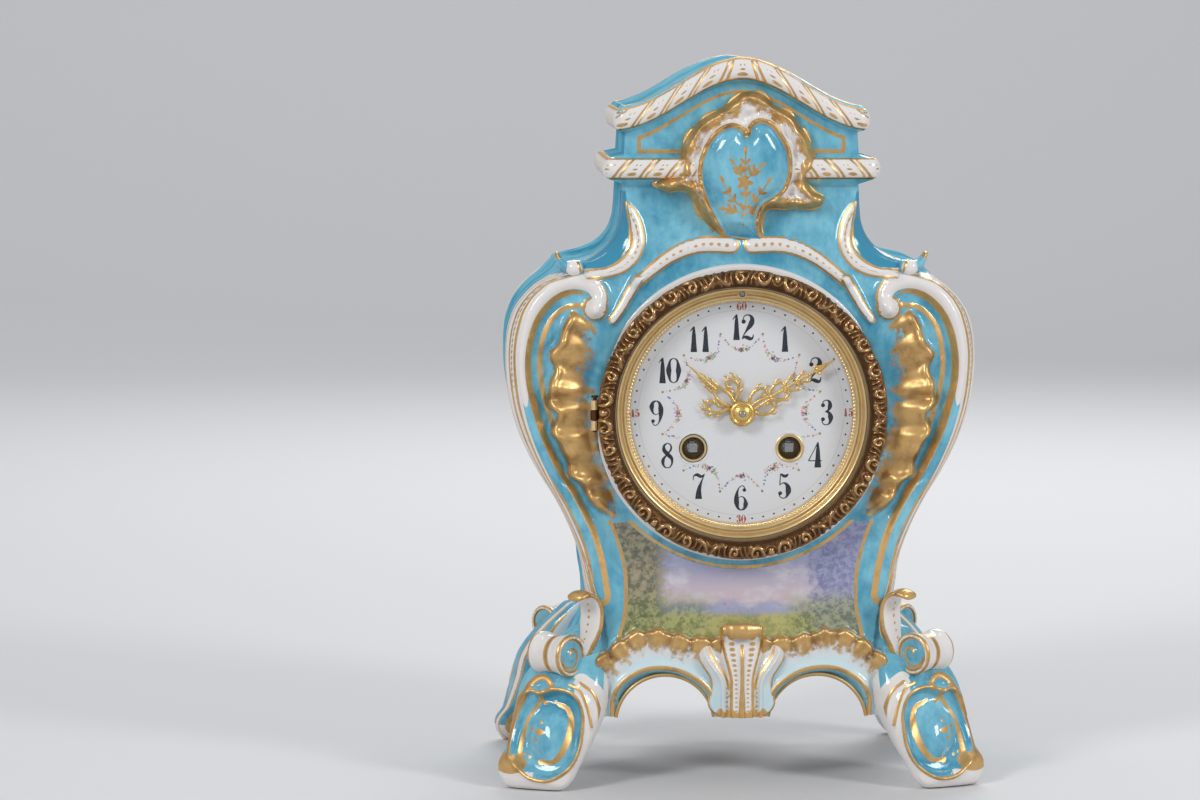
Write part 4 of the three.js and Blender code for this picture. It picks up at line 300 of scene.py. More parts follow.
def inside(x, z, outline):
    """Signed distance to a closed outline in mm, positive inside. A point is inside if a ray to
    the right crosses the outline an odd number of times."""
    closed = np.vstack([outline, outline[:1]])
    distance, _, _ = measure(x, z, closed)
    odd = np.zeros(x.shape, dtype=bool)
    for (ax, az), (bx, bz) in zip(closed[:-1], closed[1:]):
        crosses = (az > z) != (bz > z)
        rise = bz - az if bz != az else 1e-9
        odd ^= crosses & (x < (bx - ax) * (z - az) / rise + ax)
    return np.where(odd, distance, -distance)


def ease(value, low, high):
    """0 below low, 1 above high, and a smooth S between: 3 t^2 - 2 t^3."""
    t = np.clip((value - low) / (high - low), 0, 1)
    return t * t * (3 - 2 * t)


def bump(distance, reach):
    """A smooth hill: 1 in the middle, 0 from reach on, and flat at both."""
    t = np.clip(np.abs(distance) / reach, 0, 1)
    return (1 - t * t) ** 2


def stations(table, z):
    """A value at each height, by the smooth curve through a table of [height, value]."""
    table = np.asarray(table, dtype=float)
    heights, values = table[:, 0], table[:, 1]
    slopes = np.gradient(values, heights)
    i = np.clip(np.searchsorted(heights, z) - 1, 0, len(heights) - 2)
    step = heights[i + 1] - heights[i]
    t = np.clip((z - heights[i]) / step, 0, 1)
    t2, t3 = t * t, t * t * t
    return ((2 * t3 - 3 * t2 + 1) * values[i] + (t3 - 2 * t2 + t) * step * slopes[i]
            + (3 * t2 - 2 * t3) * values[i + 1] + (t3 - t2) * step * slopes[i + 1])


def ripple(x, z, seed, size):
    """Soft waves that never quite repeat: a sum of six sines in directions drawn from the seed."""
    draw = np.random.default_rng(seed)
    angles = draw.uniform(0, 2 * np.pi, 6)
    waves = draw.uniform(0.6, 1.7, 6) / size
    phases = draw.uniform(0, 2 * np.pi, 6)
    total = 0
    for angle, wave, phase in zip(angles, waves, phases):
        total = total + np.sin(2 * np.pi * wave * (np.cos(angle) * x + np.sin(angle) * z) + phase)
    return total / 6


print("path helpers ready")

# %% [markdown]
# ## Finishes
# Glazed porcelain is never one flat colour: the enamel thins at ridges and shows the brush, and a
# deeper tone laid in its recesses is painted shade. Gilding is burnished gold leaf with an edge that
# a hand has drawn; the brown of the gold in hollows is painted shade. Effects that several finishes
# share are node groups with named inputs, and each material keeps its own shader.
# %% A short way to write nodes
class Nodes:
    """Adds nodes to one tree. Every method takes sockets or plain values, and returns outputs."""
    def __init__(self, tree):
        self.tree = tree

    def put(self, socket, value):
        if isinstance(value, bpy.types.NodeSocket):
            self.tree.links.new(value, socket)
        elif value is not None:
            socket.default_value = value

    def math(self, operation, a, b=None, c=None, clamp=False):
        node = self.tree.nodes.new("ShaderNodeMath")
        node.operation = operation
        node.use_clamp = clamp
        for socket, value in zip(node.inputs, (a, b, c)):
            self.put(socket, value)
        return node.outputs[0]

    def mix(self, factor, a, b, blend="MIX"):
        node = self.tree.nodes.new("ShaderNodeMix")
        node.data_type = "RGBA"
        node.blend_type = blend
        self.put(node.inputs[0], factor)
        self.put(node.inputs[6], a)
        self.put(node.inputs[7], b)
        return node.outputs[2]

    def remap(self, value, low, high, out_low=0.0, out_high=1.0):
        node = self.tree.nodes.new("ShaderNodeMapRange")
        node.interpolation_type = "SMOOTHSTEP"
        for socket, given in zip(node.inputs, (value, low, high, out_low, out_high)):
            self.put(socket, given)
        return node.outputs[0]

    def place(self, scale=(1, 1, 1), location=(0, 0, 0)):
        """The piece's own Object coordinates in metres, centred and scaled."""
        where = self.tree.nodes.new("ShaderNodeTexCoord")
        mapping = self.tree.nodes.new("ShaderNodeMapping")
        self.put(mapping.inputs["Vector"], where.outputs["Object"])
        mapping.inputs["Location"].default_value = location
        mapping.inputs["Scale"].default_value = scale
        return mapping.outputs[0]

    def noise(self, vector, scale, detail=3.0, rough=0.5, distortion=0.0):
        node = self.tree.nodes.new("ShaderNodeTexNoise")
        self.put(node.inputs["Vector"], vector)
        self.put(node.inputs["Scale"], scale)
        node.inputs["Detail"].default_value = detail
        node.inputs["Roughness"].default_value = rough
        node.inputs["Distortion"].default_value = distortion
        return node.outputs[0]

    def field(self, name):
        node = self.tree.nodes.new("ShaderNodeAttribute")
        node.attribute_name = name
        return node.outputs["Fac"]

    def group(self, tree, **inputs):
        node = self.tree.nodes.new("ShaderNodeGroup")
        node.node_tree = tree
        for name, value in inputs.items():
            self.put(node.inputs[name.replace("_", " ")], value)
        return node.outputs

    def axes(self, vector):
        node = self.tree.nodes.new("ShaderNodeSeparateXYZ")
        self.put(node.inputs[0], vector)
        return node.outputs

    def relief(self, height, distance_mm, strength=0.6):
        node = self.tree.nodes.new("ShaderNodeBump")
        node.inputs["Strength"].default_value = strength
        node.inputs["Distance"].default_value = distance_mm * MM
        self.put(node.inputs["Height"], height)
        return node.outputs[0]


def new_group(name, inputs, outputs):
    """An empty node group with named sockets. Returns its tree, a Nodes for it, and both end nodes."""
    tree = bpy.data.node_groups.new(name, "ShaderNodeTree")
    for label, kind, value in inputs:
        socket = tree.interface.new_socket(name=label, in_out="INPUT", socket_type=kind)
        socket.default_value = value
    for label, kind in outputs:
        tree.interface.new_socket(name=label, in_out="OUTPUT", socket_type=kind)
    start = tree.nodes.new("NodeGroupInput")
    end = tree.nodes.new("NodeGroupOutput")
    return tree, Nodes(tree), start, end


def new_material(name, **fixed):
    """A material with its Principled shader, and plain values set on the shader's own sockets."""
    material = bpy.data.materials.new(name)
    material.use_nodes = True
    shader = material.node_tree.nodes["Principled BSDF"]
    for key, value in fixed.items():
        shader.inputs[key.replace("_", " ")].default_value = value
    return material, Nodes(material.node_tree), shader


FLOAT = "NodeSocketFloat"
COLOR = "NodeSocketColor"
print("node helpers ready")


# %% Shared effect: an edge drawn by hand
# A distance in mm becomes a mask: 1 inside the painted shape, 0 outside. Noise moves the edge a
# little, as a brush does.
edge_tree, n, start, end = new_group(
    "drawn edge",
    [("Distance", FLOAT, 0.0), ("Softness", FLOAT, 0.12), ("Wobble", FLOAT, 0.15), ("Grain", FLOAT, 900.0)],
    [("Mask", FLOAT)],
)
shake = n.noise(n.place(), start.outputs["Grain"], 2.0)
shift = n.math("MULTIPLY", n.math("SUBTRACT", shake, 0.5), start.outputs["Wobble"])
moved = n.math("ADD", start.outputs["Distance"], n.math("MULTIPLY", shift, 2.0))
below = n.math("MULTIPLY", start.outputs["Softness"], -1.0)
n.put(end.inputs["Mask"], n.remap(moved, below, start.outputs["Softness"]))
print("group: drawn edge")

# %% Shared effect: enamel colour with painted shade
# Two tones of one colour change over about 20 mm, finer streaks over about 3 mm, and the kiln leaves
# rare dark specks. The Depth input deepens the tone: painted shade in recesses.
enamel_tree, n, start, end = new_group(
    "enamel with painted shade",
    [("Light", COLOR, (1, 1, 1, 1)), ("Deep", COLOR, (0, 0, 0, 1)), ("Depth", FLOAT, 0.0),
     ("Scale", FLOAT, 45.0)],
    [("Color", COLOR), ("Height", FLOAT)],
)
wide = n.noise(n.place(), start.outputs["Scale"], 4.0, 0.6, 0.6)
fine = n.noise(n.place(scale=(1, 1, 0.5)), n.math("MULTIPLY", start.outputs["Scale"], 7.0), 3.0, 0.6)
blend = n.math("ADD", wide, n.math("MULTIPLY", fine, 0.35))
# Depth is painted shade: it pushes the tone towards the deep colour.
blend = n.math("ADD", blend, start.outputs["Depth"])
tone = n.remap(blend, 0.42, 1.0)
speck = n.remap(n.noise(n.place(), 620.0, 1.0), 0.80, 0.84)
washed = n.mix(tone, start.outputs["Light"], start.outputs["Deep"])
n.put(end.inputs["Color"], n.mix(n.math("MULTIPLY", speck, 0.45), washed, (0.03, 0.05, 0.06, 1)))
n.put(end.inputs["Height"], fine)
print("group: enamel with painted shade")

# %% Shared effect: gilding, worn and with painted shade
# Bright gold, brown and rougher in random thin patches as wear, and browner by the Hollow input: painted
# shade in hollows of the relief, or a brown band.
gilding_tree, n, start, end = new_group(
    "gilding with wear and painted shade",
    [("Bright", COLOR, (0.70, 0.44, 0.17, 1)), ("Dull", COLOR, (0.22, 0.115, 0.042, 1)),
     ("Hollow", FLOAT, 0.0),
     ("Scale", FLOAT, 130.0)],
    [("Color", COLOR), ("Roughness", FLOAT)],
)
patch = n.noise(n.place(), start.outputs["Scale"], 4.0, 0.65)
# Hollow adds painted shade in hollows of the relief, or a brown band, on top of the random patches.
brown = n.math("ADD", n.remap(patch, 0.42, 0.78, 0.0, 0.55), start.outputs["Hollow"], clamp=True)
n.put(end.inputs["Color"], n.mix(brown, start.outputs["Bright"], start.outputs["Dull"]))
n.put(end.inputs["Roughness"], n.remap(patch, 0.25, 0.8, 0.28, 0.52))
print("group: gilding with wear and painted shade")

# %% Shared effect: fine lines left by turning or rolling
# Noise squeezed to nothing along the line's direction and left free across it.
lines_tree, n, start, end = new_group(
    "fine lines",
    [("Across", FLOAT, 0.0), ("Scale", FLOAT, 3000.0), ("Low", FLOAT, 0.2), ("High", FLOAT, 0.4)],
    [("Roughness", FLOAT), ("Height", FLOAT)],
)
one_way = n.tree.nodes.new("ShaderNodeTexNoise")
one_way.noise_dimensions = "1D"
n.put(one_way.inputs["W"], start.outputs["Across"])
n.put(one_way.inputs["Scale"], start.outputs["Scale"])
one_way.inputs["Detail"].default_value = 2.0
low, high = start.outputs["Low"], start.outputs["High"]
n.put(end.inputs["Roughness"], n.remap(one_way.outputs[0], 0.3, 0.7, low, high))
n.put(end.inputs["Height"], one_way.outputs[0])
print("group: fine lines")

# %% [markdown]
# ### Painted porcelain
# One material dresses the whole case. It reads numbers that the shapes carry: `gild` and
# `white` are distances in mm, positive inside the gold and the bare white, `hollow` browns the gold,
# as painted shade in hollows of the relief and as the brown rings of the foot rolls, and `pale` thins
# the turquoise. Three more are `fade`, the distance inside gold with a ragged edge, `depth`, painted
# shade that deepens the enamel in recesses and a painted shadow round the bezel, and `panel`, the
# distance inside the painted panel. Where a shape carries none, the number is 0.
# %% Porcelain
TURQUOISE_LIGHT = (0.245, 0.590, 0.725, 1)
TURQUOISE_DEEP = (0.035, 0.270, 0.420, 1)
PORCELAIN_WHITE = (0.800, 0.770, 0.745, 1)
PALE_BLUE = (0.480, 0.720, 0.800, 1)


def porcelain(name, has_panel=False):
    material, n, shader = new_material(name, IOR=1.5)
    slant = n.tree.nodes.new("ShaderNodeLayerWeight")
    slant.inputs["Blend"].default_value = 0.5
    n.put(shader.inputs["Specular IOR Level"], n.remap(slant.outputs["Facing"], 0.45, 0.9, 0.55, 0.0))
    # The depth attribute is painted shade: it deepens the turquoise in recesses and round the bezel.
    enamel = n.group(enamel_tree, Light=TURQUOISE_LIGHT, Deep=TURQUOISE_DEEP, Depth=n.field("depth"))
    colour = n.mix(n.field("pale"), enamel["Color"], PALE_BLUE)
    if has_panel:
        panel_mask = n.group(edge_tree, Distance=n.field("panel"), Wobble=0.05)["Mask"]
        colour = n.mix(panel_mask, colour, landscape(n))
    white_mask = n.group(edge_tree, Distance=n.field("white"), Softness=0.1, Wobble=0.1)["Mask"]
    glaze = n.mix(n.math("MULTIPLY", n.field("pale"), 0.7), PORCELAIN_WHITE, PALE_BLUE)
    colour = n.mix(white_mask, colour, glaze)
    # The hollow attribute browns the gold: painted shade in hollows of the relief, and the brown rings of the
    # foot rolls.
    gilding = n.group(gilding_tree, Hollow=n.field("hollow"))
    ragged = n.group(edge_tree, Distance=n.field("fade"), Softness=1.3, Wobble=3.4, Grain=420.0)["Mask"]
    drawn = n.group(edge_tree, Distance=n.field("gild"), Softness=0.10, Wobble=0.16)["Mask"]
    gold = n.math("MAXIMUM", drawn, ragged)
    n.put(shader.inputs["Base Color"], n.mix(gold, colour, gilding["Color"]))
    n.put(shader.inputs["Metallic"], n.math("MULTIPLY", gold, 0.72))
    n.put(shader.inputs["Roughness"], n.mix(gold, (0.10, 0.10, 0.10, 1), gilding["Roughness"]))
    height = n.math("ADD", n.math("MULTIPLY", enamel["Height"], 0.5), n.math("MULTIPLY", gold, 0.5))
    n.put(shader.inputs["Normal"], n.relief(height, 0.12, 0.5))
    return material


def landscape(n):
    """A meadow with foliage at both sides under a hazy sky, in soft kiln colours: each mask is a
    smooth step over a height or a width in mm, made ragged by noise."""
    x, _, z = n.axes(n.place(scale=(1000, 1000, 1000)))
    leaves = n.noise(n.place(), 420.0, 5.0, 0.7)
    clouds = n.noise(n.place(scale=(1, 1, 1.8)), 75.0, 4.0, 0.6)
    ragged = n.math("MULTIPLY", n.math("SUBTRACT", leaves, 0.5), 16.0)
    sky = n.mix(n.remap(z, 70.0, 92.0), (0.62, 0.50, 0.52, 1), (0.36, 0.40, 0.62, 1))
    sky = n.mix(n.remap(clouds, 0.45, 0.7), sky, (0.66, 0.62, 0.68, 1))
    far = n.remap(n.math("ADD", z, n.math("MULTIPLY", clouds, 14.0)), 80.0, 76.0)
    sky = n.mix(n.math("MULTIPLY", far, 0.75), sky, (0.30, 0.36, 0.58, 1))
    grass = n.mix(n.remap(leaves, 0.4, 0.62), (0.50, 0.47, 0.18, 1), (0.33, 0.34, 0.12, 1))
    scene = n.mix(n.remap(n.math("ADD", z, n.math("MULTIPLY", ragged, 0.25)), 68.5, 65.0), sky, grass)
    olive = n.mix(n.remap(leaves, 0.38, 0.62), (0.36, 0.31, 0.17, 1), (0.10, 0.11, 0.05, 1))
    left = n.remap(n.math("ADD", x, ragged), -27.0, -34.0)
    scene = n.mix(n.math("MULTIPLY", left, 0.9), scene, olive)
    violet = n.mix(n.remap(leaves, 0.38, 0.62), (0.33, 0.35, 0.52, 1), (0.16, 0.17, 0.36, 1))
    right = n.remap(n.math("ADD", x, ragged), 24.0, 33.0)
    scene = n.mix(n.math("MULTIPLY", right, 0.85), scene, violet)
    bush = n.remap(n.math("ADD", z, n.math("MULTIPLY", ragged, 0.6)), 77.0, 69.0)
    sides = n.remap(n.math("ABSOLUTE", n.math("SUBTRACT", x, 3.0)), 10.0, 22.0)
    greens = n.mix(n.remap(leaves, 0.42, 0.6), (0.36, 0.38, 0.16, 1), (0.13, 0.17, 0.06, 1))
    scene = n.mix(n.math("MULTIPLY", n.math("MULTIPLY", bush, sides), 0.7), scene, greens)
    blossom = n.remap(n.noise(n.place(), 900.0, 1.0), 0.70, 0.74)
    low = n.remap(z, 76.0, 70.0)
    return n.mix(n.math("MULTIPLY", blossom, n.math("MULTIPLY", low, 0.7)), scene, (0.55, 0.17, 0.22, 1))


painted_porcelain = porcelain("painted_porcelain")
panel_porcelain = porcelain("porcelain_with_painted_panel", has_panel=True)
print("porcelain ready")

# %% [markdown]
# ### Metals, enamel and glass
# Brass plates are rolled and then rubbed in one direction, wheels and rings are turned, and
# pivots, squares and springs are polished steel. Each finish below sets its own colours and its
# range of roughness.
# %% Metals
def lined_metal(name, tones, across, rough, scale, stain_scale, tarnish, relief):
    """Metal with fine lines. across(n) is the length across them, rough the lowest and highest
    roughness, and relief the depth in mm and the strength."""
    material, n, shader = new_material(name, Metallic=1.0)
    lines = n.group(lines_tree, Across=across(n), Scale=scale, Low=rough[0], High=rough[1])
    stain = n.remap(n.noise(n.place(), stain_scale, 4.0, 0.6), 0.45, 0.8, 0.0, tarnish)
    n.put(shader.inputs["Base Color"], n.mix(stain, *tones))
    n.put(shader.inputs["Roughness"], lines["Roughness"])
    n.put(shader.inputs["Normal"], n.relief(lines["Height"], *relief))
    return material


def turned_metal(name, colour, dull, low=0.18, high=0.36, centre=(0.0, 0.146), tarnish=0.35):
    """Rings about an axis parallel to Y: the lines follow the distance sqrt(x^2 + z^2) from that axis."""
    def radius(n):
        x, _, z = n.axes(n.place(location=(-centre[0], 0, -centre[1])))
        return n.math("SQRT", n.math("ADD", n.math("POWER", x, 2.0), n.math("POWER", z, 2.0)))
    return lined_metal(name, (colour, dull), radius, (low, high), 4000.0, 160.0, tarnish, (0.03, 0.35))


def brushed_metal(name, colour, dull, low=0.2, high=0.4, direction=2, scale=2500.0, tarnish=0.3):
    """Lines along one axis of the clock: the noise runs across it."""
    def across(n):
        axes = n.axes(n.place())
        return n.math("ADD", axes[direction], n.math("MULTIPLY", axes[1], 0.31))
    return lined_metal(name, (colour, dull), across, (low, high), scale, 190.0, tarnish, (0.02, 0.3))


BRASS = (0.70, 0.50, 0.22, 1)
BRASS_DULL = (0.33, 0.20, 0.07, 1)
STEEL = (0.46, 0.47, 0.49, 1)
STEEL_DULL = (0.16, 0.13, 0.11, 1)
turned_brass = turned_metal("turned_brass", BRASS, BRASS_DULL)
gilt_turned = turned_metal("gilt_turned_brass", (0.90, 0.68, 0.36, 1), (0.72, 0.48, 0.20, 1), 0.28, 0.44,
                           tarnish=0.4)
plate_brass = brushed_metal("rubbed_plate_brass", BRASS, BRASS_DULL)
wheel_brass = brushed_metal("wheel_brass", (0.74, 0.54, 0.25, 1), BRASS_DULL, 0.18, 0.32, 0, 1800.0)
polished_steel = brushed_metal("polished_steel", STEEL, STEEL_DULL, 0.14, 0.28, 2, 3200.0, 0.25)
blued_steel = brushed_metal("blued_screw_steel", (0.06, 0.09, 0.22, 1), (0.10, 0.07, 0.06, 1), 0.16, 0.3, 0,
                            3000.0)
bell_metal = turned_metal("turned_bell_metal", (0.62, 0.50, 0.32, 1), (0.36, 0.26, 0.13, 1), 0.16, 0.3,
                          (0, 0.138))
print("metals ready")

# %% Gilt of the hands, dark gilt of the embossed ring, glass
hand_gilt, n, shader = new_material("hand_gilt", Metallic=1.0)
punched = n.noise(n.place(), 2600.0, 2.0, 0.6)
worn = n.remap(n.noise(n.place(), 420.0, 3.0), 0.45, 0.75, 0.0, 0.5)
n.put(shader.inputs["Base Color"], n.mix(worn, (0.90, 0.62, 0.22, 1), (0.58, 0.31, 0.08, 1)))
n.put(shader.inputs["Roughness"], n.remap(punched, 0.3, 0.7, 0.2, 0.4))
n.put(shader.inputs["Normal"], n.relief(punched, 0.10, 0.6))

embossed_gilt, n, shader = new_material("embossed_dark_gilt", Metallic=1.0)
grain = n.math("SUBTRACT", n.noise(n.place(), 500.0, 3.0), 0.5)
# Dark patina stays in the low ground; the light tone on the highest relief is a painted highlight.
patina_and_highlight = n.math("ADD", n.field("rise"), n.math("MULTIPLY", grain, 0.5))
tone = n.mix(n.remap(patina_and_highlight, 0.05, 0.55), (0.105, 0.052, 0.022, 1), (0.24, 0.130, 0.058, 1))
tone = n.mix(n.remap(patina_and_highlight, 0.75, 1.5), tone, (0.52, 0.32, 0.15, 1))
n.put(shader.inputs["Base Color"], tone)
n.put(shader.inputs["Roughness"], n.remap(patina_and_highlight, 0.0, 1.0, 0.48, 0.26))
n.put(shader.inputs["Normal"], n.relief(n.noise(n.place(), 1500.0, 3.0), 0.08, 0.5))

clear_glass, n, shader = new_material("clear_glass", Roughness=0.02, IOR=1.45, Alpha=0.05,
                                      Specular_IOR_Level=0.4)
smear = n.remap(n.noise(n.place(), 60.0, 3.0), 0.3, 0.7)
n.put(shader.inputs["Base Color"], n.mix(smear, (0.05, 0.055, 0.055, 1), (0.02, 0.02, 0.02, 1)))
print("gilt and glass ready")

# %% [markdown]
# ## The case body
# The body is one closed skin that runs round the clock, from the front, over the corner onto the
# flank, and round the back. Two tables give its half width at each height: at the front face and
# at the flank behind it, because the corner is a wide hollow moulding. Everything on the front,
# such as the long scrolls and the rippled gold shells, is part of the same casting, so it is a
# height added to the front and not a piece laid on it.
# %% Sizes of the body
DIAL_Z = 146.0
FRONT_HOLE = 50.8
REAR_HOLE = 44.0
SHELL_BOTTOM = 26.6
SHELL_TOP = 262.0
FRONT_EDGE = [
    [26, 62], [40, 61], [50, 58], [60, 55], [68, 55], [76, 57.5], [85, 59.8], [96, 63.6], [106, 68],
    [114, 72], [122, 76.2], [135, 82], [148, 86], [160, 87.7], [170, 88], [180, 86.4], [188, 83.4],
    [194, 78.6], [197.5, 73.5], [199.8, 66], [201.5, 59.5], [203.5, 52.5], [206.5, 47.6], [211, 44.2],
    [218, 43.4], [226, 44.6], [233, 45.6], [238, 46], [262, 45],
]
FLANK_EDGE = [
    [26, 70], [40, 69], [50, 66], [60, 61], [70, 60.5], [79, 61.8], [87, 62.8], [98.7, 66.6],
    [111.8, 73], [122.5, 79.6], [135.7, 86.2], [149.4, 90.4], [160, 92], [171, 92.2], [181, 90.8],
    [189, 87], [195, 81.5], [199, 76.2], [202, 73], [204.6, 70], [205.8, 64], [207.2, 59.5], [209.8, 54.6],
    [213.5, 50.8], [219, 48.2], [226, 47.2], [233, 46.8], [238, 46.2], [262, 45],
]
DEPTH_TABLE = [[26, 50], [45, 49.5], [60, 47], [76, 46], [190, 46], [204, 44.5], [220, 41], [262, 41]]
heights = np.concatenate([
    np.linspace(SHELL_BOTTOM, 62, 42)[:-1], np.linspace(62, 108, 42)[:-1], np.linspace(108, 184, 68)[:-1],
    np.linspace(184, 210, 44)[:-1], np.linspace(210, SHELL_TOP, 46),
])
front_half = stations(FRONT_EDGE, heights)
flank_half = stations(FLANK_EDGE, heights)
half_depth = stations(DEPTH_TABLE, heights)
print("rows", len(heights), "widest", round(float(flank_half.max() * 2), 1), "mm")

# %% The lines that the painter and the modeller both follow
scroll_ridge = smooth_path([
    (57.3, 186.6), (55.6, 190.2), (57.6, 195.2), (62.8, 197.8), (69.5, 197.4), (76, 194), (81.3, 188.4),
    (85, 180.5), (86.7, 170.5), (86.4, 160), (84.2, 149), (80.2, 136.4), (74.6, 124), (67, 111.4),
    (60.8, 98.5), (57.3, 86), (55.4, 74),
], 110)
scroll_line = smooth_path([
    (61.9, 188.4), (68.6, 187.6), (73.9, 183.4), (77.4, 176.7), (78.9, 168.5), (78.7, 160.3), (76.8, 151),
    (73.1, 139.4), (69, 129), (64, 119.5), (59.5, 112.5),
], 60)
shell_spine = smooth_path([
    (60.5, 184), (64.2, 178), (66, 168), (66.2, 155), (64.6, 143), (61.8, 132), (58.2, 123),
    (54.4, 114.5), (50.2, 106.5),
], 60)
strap_line = smooth_path([(4.2, 211.6), (13.5, 212), (21, 210.6), (28.5, 207), (35.5, 201.8), (40.2, 197.8)],
                         50)
strap_leaf = smooth_path([(40.8, 198.4), (44, 193), (47, 187.6), (50.6, 182.6)], 20)
neck_line = smooth_path([
    (45.6, 226.4), (42.6, 222.4), (40.9, 217.6), (40.5, 212.4), (42.3, 207.6), (46.6, 203.6), (52.8, 201.2),
    (60.2, 200.6),
], 50)
apron_crest = smooth_path([
    (60, 42), (56.5, 47.8), (50.5, 53.2), (44.9, 57.2), (40, 58.9), (33, 59.4), (25.8, 57.8), (18.6, 56.4),
    (8, 56.2),
], 50)
apron_arch = smooth_path([
    (50.6, 26.5), (50.4, 34), (46.8, 40.4), (40, 44.6), (33, 46), (25, 45), (17.6, 41.4), (12.2, 36),
    (9.4, 27),
], 60)
panel_side = smooth_path([
    (51.5, 103.4), (48.5, 95.7), (46.1, 86.7), (45.2, 77.8), (45.5, 68.8), (47.4, 59.9), (50, 52),
], 40)
# Straps of white with a row of gold dots: line, half width at its start and end, where it begins to
# taper, height, number of dots, their distance, size of a dot, loss of size, last share with dots.
straps = [
    (strap_line, 2.5, 1.5, 0.15, 1.9, 13.0, 2.2, 0.72, 0.32, 1.0),
    (strap_leaf, 1.3, 1.0, 0.15, 1.9, 0.0, 4.4, 0.72, 0.32, 1.0),
    (neck_line, 1.85, 1.1, 0.6, 1.7, 16.0, 1.875, 0.62, 0.25, 0.84),
]
print("painted lines:", 9)


# %% Height and paint of the front
def front_face(x, z):
    """Height of the front in mm above the plain body, and the paint masks, for arrays of x and z.
    Each ornament is a smooth hill across the distance from its line; later paint covers earlier."""
    a = np.abs(x)
    gild = np.full(x.shape, AWAY)
    white = np.full(x.shape, AWAY)
    fade = np.full(x.shape, AWAY)
    hollow = np.zeros(x.shape)
    depth = np.zeros(x.shape)
    height = np.zeros(x.shape)
    from_dial = np.hypot(a, z - DIAL_Z)

    # The long scroll down each side, with its ball, the trough inside it and the white edge outside.
    d, side, share = measure(a, z, scroll_ridge)
    q = d * side
    ball = np.hypot(a - 57.4, z - 187.2)
    half = 2.6 - 1.3 * ease(share, 0.2, 0.45) + 0.5 * ease(share, 0.0, 0.1)
    band = half - np.abs(q)
    height += 3.4 * bump(q, half + 3.2) * (1 - 0.5 * ease(share, 0.5, 0.95))
    height += 2.2 * bump(ball, 6.0)
    height -= 2.0 * ease(q, half + 0.5, half + 4) * ease(share, 0.10, 0.2)
    # Painted shade: the trough inside the scroll gets a deeper turquoise through depth.
    trough = bump(q + half + 4.6, 5.0) * ease(share, 0.10, 0.22) * (1 - ease(share, 0.72, 0.95))
    height -= 1.6 * trough
    depth += 0.10 * trough
    low_end = ease(share, 0.45, 0.62)
    white = np.maximum(band * (1 - low_end) - 9 * low_end, 4.0 - ball)
    tan = 1.25 - np.abs(q + half + 1.15)
    tan = np.where(share > 0.05, tan - 1.0 + ease(share, 0.05, 0.16), AWAY)
    gild = np.maximum(gild, tan)
    gild = np.maximum(gild, 0.5 - np.abs(q - half - 0.3) * np.where(share > 0.02, 1, 9))
    gild = np.maximum(gild, np.where(band < 0.3, 0.5 - np.abs(ball - 4.5), AWAY))
    outside = (q > half + 0.6) & (q < 14) & (share > 0.16) & (a > 56) & (z > 82)
    white = np.maximum(white, np.where(outside, q - half - 0.6, AWAY))
    d, side, share = measure(a, z, scroll_line)
    gild = np.maximum(gild, (1.0 - 0.55 * ease(share, 0.55, 1.0)) - d)
    height += 0.5 * bump(d, 2.6)

    # The rippled gold shell: q is the distance outward from its spine.
    d, side, share = measure(a, z, shell_spine)
    q = d * side
    reach = 1.5 + 7.2 * np.sin(np.pi * np.clip(share * 0.93 + 0.07, 0, 1)) ** 0.6
    wave = np.sin(2 * np.pi * (5.6 * share + 0.12)) + 0.45 * np.sin(2 * np.pi * (9.3 * share + 0.3))
    edge_out = reach * (1 + 0.15 * wave)
    lip = bump(q - edge_out + 1.2, 2.4)
    flute = np.sin(2 * np.pi * (6.8 * share + 0.22 * np.sin(2 * np.pi * 2.3 * share) + 0.02 * q))
    flute = flute + 0.35 * np.sin(2 * np.pi * (13.7 * share + 0.03 * q + 0.2))
    rise = ease(edge_out + 0.9 - q, 0, 1.4) * ease(q + reach, 0.0, reach * 1.7)
    ends = ease(share, 0.0, 0.06) * (1 - 0.75 * ease(share, 0.93, 1.0))
    height += ends * rise * (3.0 + 1.15 * flute * ease(q + reach, 0, reach)) + 1.3 * lip * ends
    height -= 1.3 * bump(q - edge_out - 2.4, 2.6) * ends
    shell = np.minimum((edge_out + 0.5 - q) * 2.5, (q + reach * 0.66 + 1.7 * flute) * 0.5)
    fade = np.maximum(fade, np.where(ends > 0.05, shell, AWAY))
    # Painted shade: the gold is browner towards the shell's inner side and in the troughs of its flutes.
    shade = 0.45 * ease(-q, -2, reach) + 0.35 * ease(-flute, 0.1, 1.0)
    hollow = np.maximum(hollow, np.where(shell > -3, shade, 0) * ends)

    for line, wide, narrow, taper, tall, count, pitch, size, loss, last in straps:
        d, side, share = measure(a, z, line)
        half = wide + (narrow - wide) * ease(share, taper, 1.0)
        height += tall * bump(d, half + 2.4)
        inner = half - d
        beads = np.abs((share * count) % 1 - 0.5) * pitch
        oval = size - loss * ease(share, 0.1, 0.8) - np.hypot(d, beads)
        gild = np.maximum(gild, 0.48 - np.abs(d - half - 0.35))
        white = np.where(inner > -0.8, inner, white)
        gild = np.where(inner > 0.3, np.where(share <= last, oval, AWAY), gild)

    # The rim of the round opening, and the outline of the painted panel under it.
    rim = from_dial - 57.6
    height += 0.7 * bump(rim, 3.0)
    # Painted shadow of the bezel: a deeper turquoise ring just outside the rim.
    depth += 0.10 * bump(rim - 4, 6.0)
    d, side, share = measure(a, z, panel_side)
    gild = np.maximum(gild, np.where((z < 104) & (a < 52.5), 0.7 - np.abs(from_dial - 60.9), AWAY))
    gild = np.maximum(gild, np.where(z > 50, 0.75 - d, AWAY))
    inward = np.where(a < np.interp(z, panel_side[::-1, 1], panel_side[::-1, 0]), d, -d)
    inside_panel = np.minimum.reduce([inward - 0.7, from_dial - 61.7, 103.0 - z])

